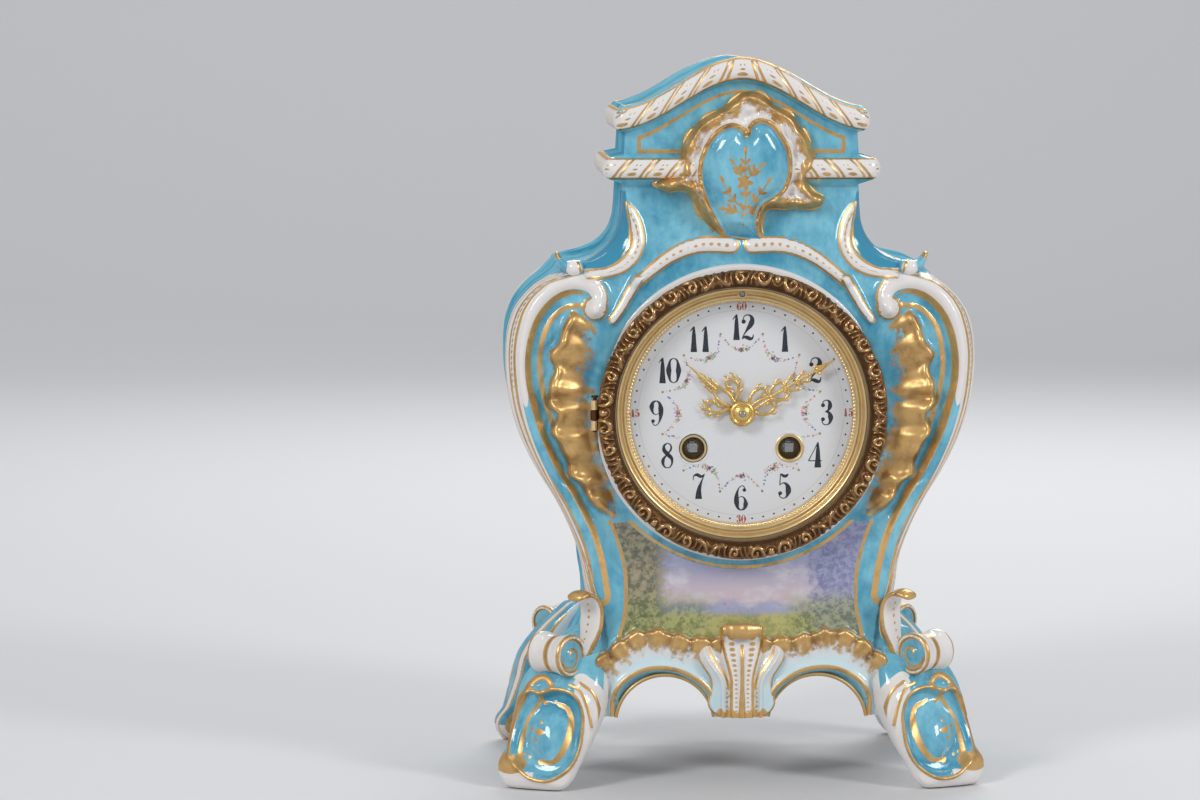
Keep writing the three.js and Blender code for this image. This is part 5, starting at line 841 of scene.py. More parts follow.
    # The rippled crest of the apron, and the apron's white under it: q is the distance above the crest.
    d, side, share = measure(a, z, apron_crest)
    q = d * -side
    wave = np.sin(2 * np.pi * (7.0 * share + 0.2)) + 0.4 * np.sin(2 * np.pi * (15.5 * share + 0.3))
    top = 1.0 + 0.55 * wave
    on = ease(a, 5, 9)
    crest = ease(top + 1.2 - q, 0, 1.6) * ease(q, -9.5, -1.0)
    flutes = np.sin(2 * np.pi * (13.0 * share + 0.1)) * bump(q + 3.0, 5.0)
    height += on * (crest * (3.0 + 0.45 * wave) + 0.8 * bump(q - top + 0.6, 1.9) + 0.35 * flutes)
    below_crest = top + 0.6 - q
    inside_panel = np.minimum(inside_panel, q - top - 0.4)
    crest_gold = np.minimum(below_crest * 2.5, (q + 5.6 + 1.0 * wave) * 0.55)
    fade = np.maximum(fade, np.where(a < 61, crest_gold, AWAY))
    # Painted shade: the gold browns where the crest's wave sinks.
    hollow = np.maximum(hollow, np.where(crest_gold > -2, 0.5 * ease(-wave, 0, 1.2), 0))
    apron = (z < 61) & (a < 60)
    white = np.maximum(white, np.where(apron, np.minimum(below_crest, q + 17.0), AWAY))
    pale = np.where((z < 56) & (a < 60), ease(-q, 4, 12), 0)

    # The gold rims of the two arches.
    d, side, share = measure(a, z, apron_arch)
    q = d * -side
    height += 1.5 * bump(q - 0.2, 2.0)
    height -= 3.2 * ease(-q, 0.8, 3.6)
    gild = np.maximum(gild, np.where(z < 50, 0.85 - np.abs(q), AWAY))
    in_arch = (side > 0) & (z < 48) & (d > 0.6)
    white = np.where(in_arch, AWAY, white)
    pale = np.where(in_arch, 0.35, pale)

    # The gold line round the two frieze panels.
    gild = np.where((inside_panel > 0.4) & (z < 100), AWAY, gild)
    under_cornice = cornice_middle(a) - FRIEZE_DROP
    line_up = np.minimum(0.8 - np.abs(a - FRIEZE_X), np.minimum(z - 247.6, under_cornice - z + 0.6))
    line_low = np.minimum(0.8 - np.abs(z - 248.2), FRIEZE_X + 0.6 - a)
    line_top = np.minimum(0.8 - np.abs(z - under_cornice), FRIEZE_X + 0.6 - a)
    gild = np.where(z > 244, np.maximum.reduce([line_up, line_low, line_top]), gild)
    height = height * (1 - ease(z, 226, 240))
    return height, {"gild": gild, "white": white, "fade": fade, "hollow": hollow, "pale": pale,
                    "depth": depth, "panel": inside_panel}


FRIEZE_X = 40.0
FRIEZE_DROP = 9.0


def cornice_middle(a):
    """Height of the upper cornice's middle line: it falls from the apex to each end as half a cosine."""
    share = np.clip(np.abs(a) / 50.5, 0, 1)
    return 280.5 - 10.0 * (1 - np.cos(np.pi * share ** 0.95))


print("front ready")


# %% One skin round the whole case
CORNER_DEPTH = 9.0
ZONE_POINTS = (98, 14, 54, 14, 26)


def body_skin(inset=0.0):
    """Rows up the case, columns once round its right half. The front runs from the middle to the
    front edge, a hollow quarter turn goes over the corner, x = front + (flank - front) sin(t)^1.2,
    then come the straight flank and the same at the back. zone counts these five stretches."""
    n_front, n_corner, _, _, n_back = ZONE_POINTS
    u_front = np.linspace(0, 1, n_front, endpoint=False)[None, :]
    turn = np.linspace(0, np.pi / 2, n_corner, endpoint=False)[None, :]
    dense = np.linspace(0, 0.29, 21, endpoint=False)
    u_flank = np.concatenate([dense, np.linspace(0.29, 0.71, 12, endpoint=False), 0.71 + dense])[None, :]
    u_back = np.linspace(0, 1, n_back)[None, :]
    front = front_half[:, None] - inset
    flank = flank_half[:, None] - inset
    depth = half_depth[:, None] - inset
    x = np.concatenate([front * u_front, front + (flank - front) * np.sin(turn) ** 1.2,
                        flank * np.ones_like(u_flank), front + (flank - front) * np.cos(turn) ** 1.2,
                        front * (1 - u_back)], axis=1)
    y = np.concatenate([-depth * np.ones_like(u_front), -depth + CORNER_DEPTH * (1 - np.cos(turn)),
                        (-depth + CORNER_DEPTH) + (2 * depth - 2 * CORNER_DEPTH) * u_flank,
                        depth - CORNER_DEPTH * (1 - np.sin(turn)), depth * np.ones_like(u_back)], axis=1)
    z = np.broadcast_to(heights[:, None], x.shape).copy()
    zone = np.broadcast_to(np.repeat(np.arange(5), ZONE_POINTS), x.shape)
    return x, y, z, zone


def both_halves(right, sign=1):
    """A row of points carried on round the left half: the same values backwards, times sign."""
    return np.concatenate([right, sign * right[..., ::-1][..., 1:-1]], axis=-1)


def corner_stripes(x, y, z, zone, fields):
    """Paint behind the front edge, by the arc length from that edge: gold line, dotted white strip,
    gold line, three white strips with gold lines, then the turquoise flank. All of them draw together
    towards the waist and the shoulder. The neck has two gold lines, and painted shade in streaks deepens
    the turquoise in the hollow between them."""
    step = np.hypot(np.diff(x, axis=1, prepend=x[:, :1]), np.diff(y, axis=1, prepend=y[:, :1]))
    arc = np.cumsum(step, axis=1)
    first = int(np.argmax(zone[0] == 1))
    last = int(np.argmax(zone[0] == 4))
    across = np.minimum(arc - arc[:, first:first + 1], arc[:, last:last + 1] - arc)
    run = np.hypot(np.diff(x, axis=0, prepend=x[:1]), np.diff(z, axis=0, prepend=z[:1]))
    run = np.cumsum(run, axis=0)[:, :1]
    spread = np.interp(z, [56, 66, 84, 110, 140, 170, 186, 196, 200, 203],
                       [0.06, 0.34, 0.5, 0.75, 1, 1.1, 1.15, 1.05, 0.7, 0.15])
    body = (z > 56) & (z < 203)
    beads = np.abs(run / 2.3 % 1 - 0.5) * 2.3
    big = ease(z, 138, 165)
    dots = 0.18 + 0.40 * big - np.hypot(beads * (0.15 + 0.40 * big), across - 3.0 * spread)
    lines = [0.68 * np.sqrt(spread) - np.abs(across - place * spread)
             for place in (1.1, 5.0, 9.6, 14.6, 19.0)]
    lines = np.maximum.reduce(lines + [dots])
    neck = z >= 203
    neck_lines = np.maximum(0.42 - np.abs(across - 0.4), 0.6 - np.abs(across - 13.6))
    neck_lines = np.where(z < 229, neck_lines, AWAY)
    gild = np.where(neck, neck_lines, np.where(body, lines, AWAY))
    white = np.where(body, 19.0 * spread - across, AWAY)
    streaks = 0.5 + 0.5 * np.sin(across * 3.1 + 0.12 * z)
    # Painted shade in the hollow of the neck, in streaks, as a deeper turquoise.
    neck_painted_shade = np.where(neck & (z < 232), bump(across - 5.0, 11.0) * (0.5 + 0.5 * streaks), 0.0)
    side = (zone > 0) & (zone < 4)
    for key, values in (("gild", gild), ("white", white), ("depth", neck_painted_shade)):
        fields[key] = np.where(side, values, fields[key])


UNPAINTED = {"gild": AWAY, "white": AWAY, "fade": AWAY, "panel": AWAY, "pale": 0.0, "hollow": 0.0}
x, y, z, zone = body_skin()
relief, fields = front_face(x, z)
edge_fade = 1 - ease(x / front_half[:, None], 0.985, 1.0) * 0.35
y = np.where(zone == 0, y - relief * edge_fade, y)
corner_share = 1 - ease((y + half_depth[:, None]) / CORNER_DEPTH, 0, 0.7)
y = np.where(zone == 1, y - (relief * 0.65) * corner_share, y)
for key, value in UNPAINTED.items():
    fields[key] = np.where(zone > 0, value, fields[key])
corner_stripes(x, y, z, zone, fields)
print("widest relief", round(float(relief.max()), 1), "mm")

# %% Cut the openings and close the ring
ARCH_X = 30
ARCH_Z = 23.5
ARCH_HALF = 19.6
ARCH_RISE = 19.5
SIDE_ARCH_HALF = 27
SIDE_ARCH_RISE = 22.5
SIDE_ARCH_X = 56
SIDE_ARCH_Y = 34
SIDE_ARCH_TOP = 60
CASE_MIDDLE = (0, 0, DIAL_Z)


def opening_share(points):
    """How far inside an opening each point lies: over 1 outside, under 1 inside, for the round front
    and rear holes, the two arches of the front and rear aprons, and the arch of each side."""
    px, py, pz = points.T
    round_front = np.where(py < -20, np.hypot(px, pz - DIAL_Z) / FRONT_HOLE, 9)
    round_rear = np.where(py > 20, np.hypot(px, pz - DIAL_Z) / REAR_HOLE, 9)
    arch = np.hypot((np.abs(px) - ARCH_X) / ARCH_HALF, (pz - ARCH_Z) / ARCH_RISE)
    arch = np.where(np.abs(py) > 38, arch, 9)
    side_arch = np.hypot(py / SIDE_ARCH_HALF, (pz - ARCH_Z) / SIDE_ARCH_RISE)
    at_side = (np.abs(px) > SIDE_ARCH_X) & (np.abs(py) < SIDE_ARCH_Y) & (pz < SIDE_ARCH_TOP)
    return np.minimum.reduce([round_front, round_rear, arch, np.where(at_side, side_arch, 9)])


def snap_to_openings(flat, low):
    """Moves the points just inside an opening out to its edge: each offset from the opening's
    middle is divided by the share that opening_share gives."""
    px, py, pz = flat.T.copy()
    share = opening_share(flat)
    factor = np.where((share > low) & (share < 1.0), 1 / np.maximum(share, 0.1), 1.0)
    at_flank = (np.abs(px) > SIDE_ARCH_X) & (np.abs(py) < SIDE_ARCH_Y) & (pz < SIDE_ARCH_TOP)
    at_round = ~at_flank & (pz > 80)
    middle_x = np.where(at_round, 0.0, np.where(at_flank, px, np.sign(px) * ARCH_X))
    middle_y = np.where(at_flank, 0.0, py)
    middle_z = np.where(at_round, DIAL_Z, ARCH_Z)
    for axis, (place, middle) in enumerate(((px, middle_x), (py, middle_y), (pz, middle_z))):
        flat[:, axis] = middle + (place - middle) * factor


flat, quads = one_grid(np.stack([both_halves(x, -1), both_halves(y), both_halves(z)], axis=-1), CASE_MIDDLE)
share = opening_share(flat)
quads = quads[(share[quads] > 0.985).sum(axis=1) >= 3]
snap_to_openings(flat, 0.9)
porcelain_piece("case_body", flat, quads, panel_porcelain, **{k: both_halves(v) for k, v in fields.items()})
print("case body:", len(quads) * 2, "triangles")

# %% [markdown]
# ## Cornices and lid
# Two gadrooned mouldings run round the top: the lower one level, the upper one rising in an S to
# the apex. A gadroon is a row of convex lobes side by side. Both are one profile carried round a
# rectangle, whose lobes swell the profile and whose grooves are gilded. The profile is painted by
# two numbers: the distance to the next groove, and the height on the profile.
# %% Gadrooned mouldings
CORNICE_Y = 45.0
CORNER_RADIUS = 3.0


def moulding(name, reach_x, middle_height, half_band, bulge, pitch, lean):
    """A rounded band round a rectangle. Its cross section is half an ellipse of half height
    half_band and depth bulge, times 1 + a small lobe wave. lean tilts the lobes towards the middle,
    and a term in 1 - v^2 bends them outward. The second half of the ring is minus the first."""
    inner_x = reach_x - CORNER_RADIUS
    inner_y = CORNICE_Y - CORNER_RADIUS
    turn = np.linspace(0, np.pi / 2, 8)[1:-1]
    fx = np.concatenate([np.linspace(-inner_x, inner_x, 190), inner_x + CORNER_RADIUS * np.sin(turn),
                         np.full(120, reach_x), inner_x + CORNER_RADIUS * np.cos(turn)])
    fy = np.concatenate([np.full(190, -CORNICE_Y), -inner_y - CORNER_RADIUS * np.cos(turn),
                         np.linspace(-inner_y, inner_y, 120), inner_y + CORNER_RADIUS * np.sin(turn)])
    fx = np.concatenate([fx, -fx])
    fy = np.concatenate([fy, -fy])
    nx = np.gradient(fy)
    ny = -np.gradient(fx)
    size = np.hypot(nx, ny)
    nx, ny = nx / size, ny / size
    v = np.linspace(-1, 1, 25)[:, None]
    front = (np.abs(ny) > 0.6)[None, :]
    run = np.where(front, fx[None, :], fy[None, :])
    shifted = run + np.clip(run / 14, -1, 1) * (lean * v * half_band - 0.8 * (1 - v * v))
    cell = np.abs((shifted / pitch + 0.5) % 1 - 0.5) * pitch
    groove = pitch / 2 - cell
    fine_cell = np.abs((run / 1.6) % 1 - 0.5)
    swell = np.where(front, 1 - 0.85 * np.exp(-(groove / 0.8) ** 2), 1 - 0.35 * fine_cell * 2)
    arc = np.sqrt(np.clip(1 - v * v, 0, 1))
    out = bulge * arc * (0.78 + 0.22 * swell)
    level = middle_height(fx)[None, :] + v * half_band
    xs = fx[None, :] + nx[None, :] * (out - bulge * 0.45)
    ys = fy[None, :] + ny[None, :] * (out - bulge * 0.45)
    points = np.stack([xs, ys, level * np.ones_like(xs)], axis=-1)
    bars = 0.55 - np.abs(groove - 1.05)
    lines = 0.55 - np.abs(np.abs(v) * half_band - half_band * 0.93) * np.ones_like(bars)
    low_dot = 0.72 - np.hypot(cell / 2.4, (v + 0.50) * half_band)
    middle_dot = 0.40 - np.hypot(cell / 2.6, (v + 0.06) * half_band)
    small_dots = 0.36 - np.hypot(cell - 0.8, (v - 0.32) * half_band)
    thin_lines = 0.14 - np.abs((run / 1.6 % 1 - 0.5) * 1.6)
    lobes = np.maximum.reduce([bars, low_dot, middle_dot, small_dots, lines])
    gild = np.where(front, lobes, np.maximum(lines, thin_lines))
    porcelain_piece(name, *one_grid(points, (0, 0, level.mean())), gild=gild, white=5.0)


moulding("upper_cornice", 48.6, cornice_middle, 4.4, 3.2, 10.9, 1.0)
moulding("lower_cornice", 52.6, lambda a: np.full(a.shape, 241.6), 4.3, 3.4, 10.2, 0.85)
print("two mouldings")


# %% Lid and cornice steps
def lid_surface():
    """The turquoise top: a skin over the rectangle of the cornice, following its S from side to
    side, and let down over the border. Also returns the distance from the border."""
    u = np.linspace(-1, 1, 91)[None, :]
    w = np.linspace(-1, 1, 61)[:, None]
    xs = 49.0 * u * np.ones_like(w)
    ys = 45.6 * w * np.ones_like(u)
    border = np.minimum(47.16 - np.abs(xs), 43.56 - np.abs(ys))
    zs = cornice_middle(xs) + 4.42 + 0.9 * ease(np.abs(xs), 6, 24)
    zs = zs - 0.5 * ease(border, 1.0, 3.0) - 2.5 * ease(-border, 0.0, 1.3)
    return np.stack([xs, ys, zs], axis=-1), border


def shelf_surface(z_level, inner_x, inner_y, outer_x, rise):
    """A ring between two rectangles: the step on top of the lower cornice, or under a cornice."""
    angle = np.linspace(0, 2 * np.pi, 161)[:-1]
    square = 1 / np.maximum(np.abs(np.cos(angle)), np.abs(np.sin(angle)))
    ring = []
    for share in np.linspace(0, 1, 5):
        along_x = (inner_x + (outer_x - inner_x) * share) * np.cos(angle) * square
        along_y = (inner_y + (44.6 - inner_y) * share) * np.sin(angle) * square
        ring.append(np.stack([along_x, along_y, z_level(along_x) + rise * (1 - share)], axis=-1))
    return np.stack(ring)


lid_points, lid_border = lid_surface()
porcelain_piece("case_lid", *one_grid(lid_points, (0, 0, 200.0), False), gild=0.5 - np.abs(lid_border - 1.0))
step_points = []
step_quads = []
for z_level, inner_x, inner_y, outer_x, rise, hidden_z in (
    (lambda a: np.full(a.shape, 245.6), 44.0, 40.5, 51.6, 1.8, 200.0),
    (lambda a: np.full(a.shape, 237.4), 43.5, 40.2, 51.6, -3.0, 300.0),
    (lambda a: cornice_middle(a) - 4.2, 44.0, 40.5, 48.0, -1.6, 300.0),
):
    flat, quads = one_grid(shelf_surface(z_level, inner_x, inner_y, outer_x, rise), (0, 0, hidden_z))
    step_quads.append(quads + len(flat) * len(step_points))
    step_points.append(flat)
porcelain_piece("cornice_steps", np.concatenate(step_points), np.concatenate(step_quads))
print("lid and", len(step_points), "steps")


# %% The frieze fills the space up to the upper cornice
def frieze_surface():
    """A closed band of straight walls round the case from the body's top edge up to the underside
    of the upper cornice, with the gold line of the panels carried on."""
    half_x, half_y = 45.0, 41.0
    f = np.linspace(0, 1, 100, endpoint=False)
    xs = np.concatenate([-half_x + 2 * half_x * f, np.full(100, half_x)])
    ys = np.concatenate([np.full(100, -half_y), -half_y + 2 * half_y * f])
    xs = np.concatenate([xs, -xs])
    ys = np.concatenate([ys, -ys])
    v = np.linspace(0, 1, 40)[:, None]
    start = SHELL_TOP - 0.8
    zs = start + (cornice_middle(xs) - 3.6 - start)[None, :] * v
    xs = xs[None, :] * np.ones_like(v)
    ys = ys[None, :] * np.ones_like(v)
    under = cornice_middle(xs) - FRIEZE_DROP
    upright = np.minimum(0.65 - np.abs(np.abs(xs) - FRIEZE_X), under - zs + 0.6)
    arched = np.minimum(0.65 - np.abs(zs - under), FRIEZE_X + 0.6 - np.abs(xs))
    return np.stack([xs, ys, zs], axis=-1), np.where(ys < -40, np.maximum(upright, arched), AWAY)


frieze_points, frieze_gild = frieze_surface()
porcelain_piece("frieze", *one_grid(frieze_points, (0, 0, 265.0)), gild=frieze_gild)
print("top closed")

# %% [markdown]
# ## The cartouche
# An uneven shield of gilt rockwork with a domed, split heart in it. It is one casting: the
# grid runs from the heart's middle (share 0) to the outline (share 1), and the height at a point
# depends on its distances to the heart's line and to the outline. The spray of flowers on the dome
# is gilded.
# %% Outlines
shield_line = np.asarray([
    (-0.7, 271.3), (-7.6, 265.9), (-16.1, 260.9), (-20.7, 255.9), (-23.8, 249.7), (-24.6, 243.5),
    (-25.4, 239.7), (-30.8, 238.1), (-34.6, 235.1), (-29.2, 232), (-23.1, 232.7), (-19.2, 228.1),
    (-16.1, 221.9), (-11.5, 217.3),
    (-6.9, 214.4), (-1, 212.5), (4, 212.5), (8.5, 213.9), (8.3, 219), (10.5, 224.6), (17.8, 225.6),
    (25.5, 225.2),
    (31.5, 226.8), (32.8, 230.4), (28.4, 233), (26.2, 236.8), (28.6, 242), (28.9, 246.6), (26.6, 252.8),
    (24, 257.4), (19.3, 263.2), (13.9, 266.2), (8.5, 270.5), (3.5, 272.2),
])
closed_shield = smooth_path(np.vstack([shield_line, shield_line[:1]]), 200)[:-1]
heart_left = smooth_path([
    (1.6, 254.6), (-0.6, 257.3), (-4.6, 258.4), (-9.2, 256.3), (-13, 252), (-15.9, 245.1), (-16.4, 237.4),
    (-14, 228.9), (-10.4, 221.4), (-6.9, 215.4),
], 60)
heart_right = smooth_path([
    (2.2, 255.6), (3.4, 258.6), (6.4, 260.2), (10.9, 259), (14.9, 254.3), (17.9, 248), (18.5, 240.5),
    (16.6, 233.9), (12.6, 229.9), (8, 226.8), (6.1, 222), (6.3, 217.3), (8.5, 213.6),
], 60)
heart_outline = np.vstack([heart_left[::-1], heart_right])


def spray_strokes():
    """Stems and leaves of the gilded flower spray: curves from a common foot, with pairs of leaves."""
    stems = [smooth_path(points, count) for points, count in (
        ([(0.5, 219.5), (-0.2, 224), (1.2, 229), (0.5, 236)], 14),
        ([(0.4, 226), (-3, 229), (-6, 233), (-7.6, 236.4)], 12),
        ([(0.8, 226), (4.5, 229.5), (7.5, 233), (9.5, 236)], 12),
        ([(0.6, 236), (-1.5, 241), (-3.4, 243.5)], 10),
        ([(0.6, 236), (0.8, 242), (1.0, 247.5)], 10),
        ([(0.8, 236), (3.6, 240), (6.6, 242.4)], 10),
        ([(0.2, 224), (-3.6, 225.6), (-6.4, 226)], 8),
        ([(0.4, 223.5), (3.8, 225), (6.2, 225.4)], 8),
    )]
    leaves = []
    for stem in stems:
        for share in (0.45, 0.72, 1.0):
            k = int(share * (len(stem) - 1))
            heading = stem[k] - stem[k - 1]
            heading = heading / np.linalg.norm(heading)
            for turn in ((-0.8, 0.8) if share < 1 else (0.0,)):
                c, s = math.cos(turn), math.sin(turn)
                way = np.array([c * heading[0] - s * heading[1], s * heading[0] + c * heading[1]])
                leaves.append((stem[k] + way * 1.3, way))
    return stems, leaves


def cartouche_piece():
    """Grid of share from the heart's middle to the outline, by the outline's points. Its last row
    is the outline again, let into the case."""
    count = len(closed_shield)
    middle = np.array([1.0, 239.5])
    share = np.linspace(0.0, 1.0, 110)[:, None, None] ** 0.85
    grid = middle + (closed_shield[None, :, :] - middle) * share
    wobble = 1 + 0.022 * np.sin(np.arange(count) * 2 * np.pi * 17 / count)[None, :, None] * share ** 3
    grid = middle + (grid - middle) * wobble
    xs, zs = grid[..., 0], grid[..., 1]
    edge = inside(xs, zs, closed_shield)
    heart = inside(xs, zs, heart_outline)
    d_left, _, s_left = measure(xs, zs, heart_left)
    d_right, _, s_right = measure(xs, zs, heart_right)
    d_line = np.minimum(d_left, d_right)
    taper = np.where(d_left < d_right, s_left, s_right)
    outside_heart = -heart
    rock = ease(edge, 0, 3.2)
    waves = np.sin(2 * np.pi * 0.16 * (xs * 0.9 + zs * 0.5)) * np.sin(2 * np.pi * 0.11 * (zs - xs * 0.4))
    angle = np.arctan2(zs - 240, xs - 1)
    crimp = 0.5 + 0.5 * np.sin(angle * 15 + 1.2 * np.sin(angle * 4))
    body = 3.0 * rock + 1.8 * bump(edge - 2.8, 3.4) * (0.55 + 0.45 * crimp) + 0.7 * waves * rock
    body = body - 1.3 * bump(outside_heart - 3.0, 2.6) * ease(outside_heart, 0.6, 1.6)
    dome = 5.2 * np.sqrt(np.clip(1 - (1 - ease(heart, -0.4, 11.0)) ** 2, 0, 1)) + 0.4
    dome = dome - 1.6 * np.exp(-((xs - 1.8) / 1.3) ** 2) * ease(zs, 247, 256)
    height = np.where(heart > 0, 1.2 + dome, body)
    height = height * ease(edge, -0.3, 1.2) + 2.0 * bump(d_line, 2.2)
    height = height * (1 - 0.55 * ease(zs, 222, 214))
    ys = np.interp(zs, [212, 222, 234, 272], [-42.0, -41.5, -43.5, -44.5]) - height
    stems, leaves = spray_strokes()
    spray = np.full(xs.shape, -9.0)
    for stem in stems:
        spray = np.maximum(spray, 0.26 - measure(xs, zs, stem)[0])
    for place, way in leaves:
        along = (xs - place[0]) * way[0] + (zs - place[1]) * way[1]
        across = -(xs - place[0]) * way[1] + (zs - place[1]) * way[0]
        spray = np.maximum(spray, 0.85 - np.hypot(along * 0.52, across * 1.3))
    bloom_r = np.hypot(xs - 0.6, (zs - 236.2) * 1.15)
    bloom_a = np.arctan2(zs - 236.2, xs - 0.6)
    spray = np.maximum(spray, 2.7 + 0.8 * np.cos(5 * bloom_a) - bloom_r)
    gild = np.maximum(1.05 - 0.3 * taper - d_line, np.where(heart > 1.5, spray, AWAY))
    fade = np.where(heart < 0, np.minimum(4.3 + 1.9 * crimp - edge, 2.5 + outside_heart), AWAY)
    # hollow is painted shade that browns the gold in the troughs of the crimped rock, and a little all over
    # the heart; depth is painted shade at the foot of the domed heart.
    fields = {"gild": gild, "white": np.where(heart < 0, 6.0, AWAY), "fade": fade,
              "hollow": np.where(heart < 0, 0.3 * (1 - crimp), 0.1), "depth": 0.12 * ease(heart, 3, 0)}
    points = np.stack([xs, ys, zs], axis=-1)
    rim = points[-1:] * np.array([1, 0, 1]) + np.array([0, -38.0, 0])
    return np.concatenate([points, rim]), {k: np.concatenate([v, v[-1:]]) for k, v in fields.items()}


cart_points, cart_fields = cartouche_piece()
porcelain_piece("cartouche", *one_grid(cart_points, (0, -30.0, 240.0)), **cart_fields)
print("cartouche:", cart_points.shape)

# %% [markdown]
# ## Feet
# Each foot is a loft: a rounded cross section whose centre, width and thickness change with height.
# Its face looks outward by 24 degrees. On the face lie a hollow dish with a domed oval in it, gilded
# rims, a white leaf on the inner side and a gilded toe. The painted lines are drawn as seen from the
# front, from the distance of each point to a curve.
# %% Lines on the face of a foot
dish_outline = smooth_path([
    (79.5, 36.6), (72, 38.4), (65.5, 36), (62.6, 30), (62.6, 23.6), (64, 15.7), (67.9, 8.9), (75, 4.4),
    (82.1, 4.4), (86.4, 6.8), (89.6, 10.4), (91.6, 12.6), (90.4, 20), (87.6, 28), (84.9, 34), (82.6, 37.2),
    (79.5, 36.6),
], 120)[:-1]
strip_line = smooth_path([
    (83.8, 36.6), (81, 37.4), (79, 35.4), (80, 32.2), (84.2, 25.4), (86.8, 18), (88.2, 11.6),
], 40)
oval_scroll = smooth_path([
    (72.4, 31.9), (69.6, 30.4), (68.2, 26.5), (68.6, 21.2), (70.6, 15.7), (74.4, 11.2), (78.6, 10.4),
], 40)
leaf_inner = smooth_path([(67.4, 40.4), (63.4, 38.2), (61.0, 33.2), (59.6, 28), (58.9, 24.4)], 24)
leaf_outer = smooth_path([(63, 41), (58, 37), (55.8, 30.2), (56.5, 21.6), (58.9, 14.6)], 24)
# Height, middle x and y, half width and half thickness of the foot's cross section.
foot_table = np.asarray([
    [60, 60, 36, 7, 7], [50, 65.2, 39, 13.3, 8.5], [39, 69.0, 43, 17.6, 10.2], [28, 71.2, 46.2, 18.2, 9.5],
    [17, 75.4, 50.8, 17.2, 7.8], [8, 79.8, 55.4, 16.4, 6.8], [2, 81.4, 57.6, 15.2, 6.2],
    [-4, 82, 58.4, 14, 6],
])[::-1]
foot_crest = smooth_path([
    (90, 26.8), (87.6, 31.5), (85, 35.6), (82, 40), (78.4, 42.4), (75.8, 41.6), (74.4, 39.2),
], 24)
FACE_TURN = 0.42
gold_dots = [
    (76.6, 32.4, 0.85), (73.6, 33.0, 0.85), (83.3, 12.1, 0.7), (85.4, 12.9, 0.65), (86.6, 12.6, 0.45),
    (79.0, 10.5, 1.25), (79.8, 21.9, 1.35), (78.7, 25.4, 0.75), (76.7, 21.6, 0.75), (81, 18.8, 0.75),
    (82.4, 22.7, 0.75),
]


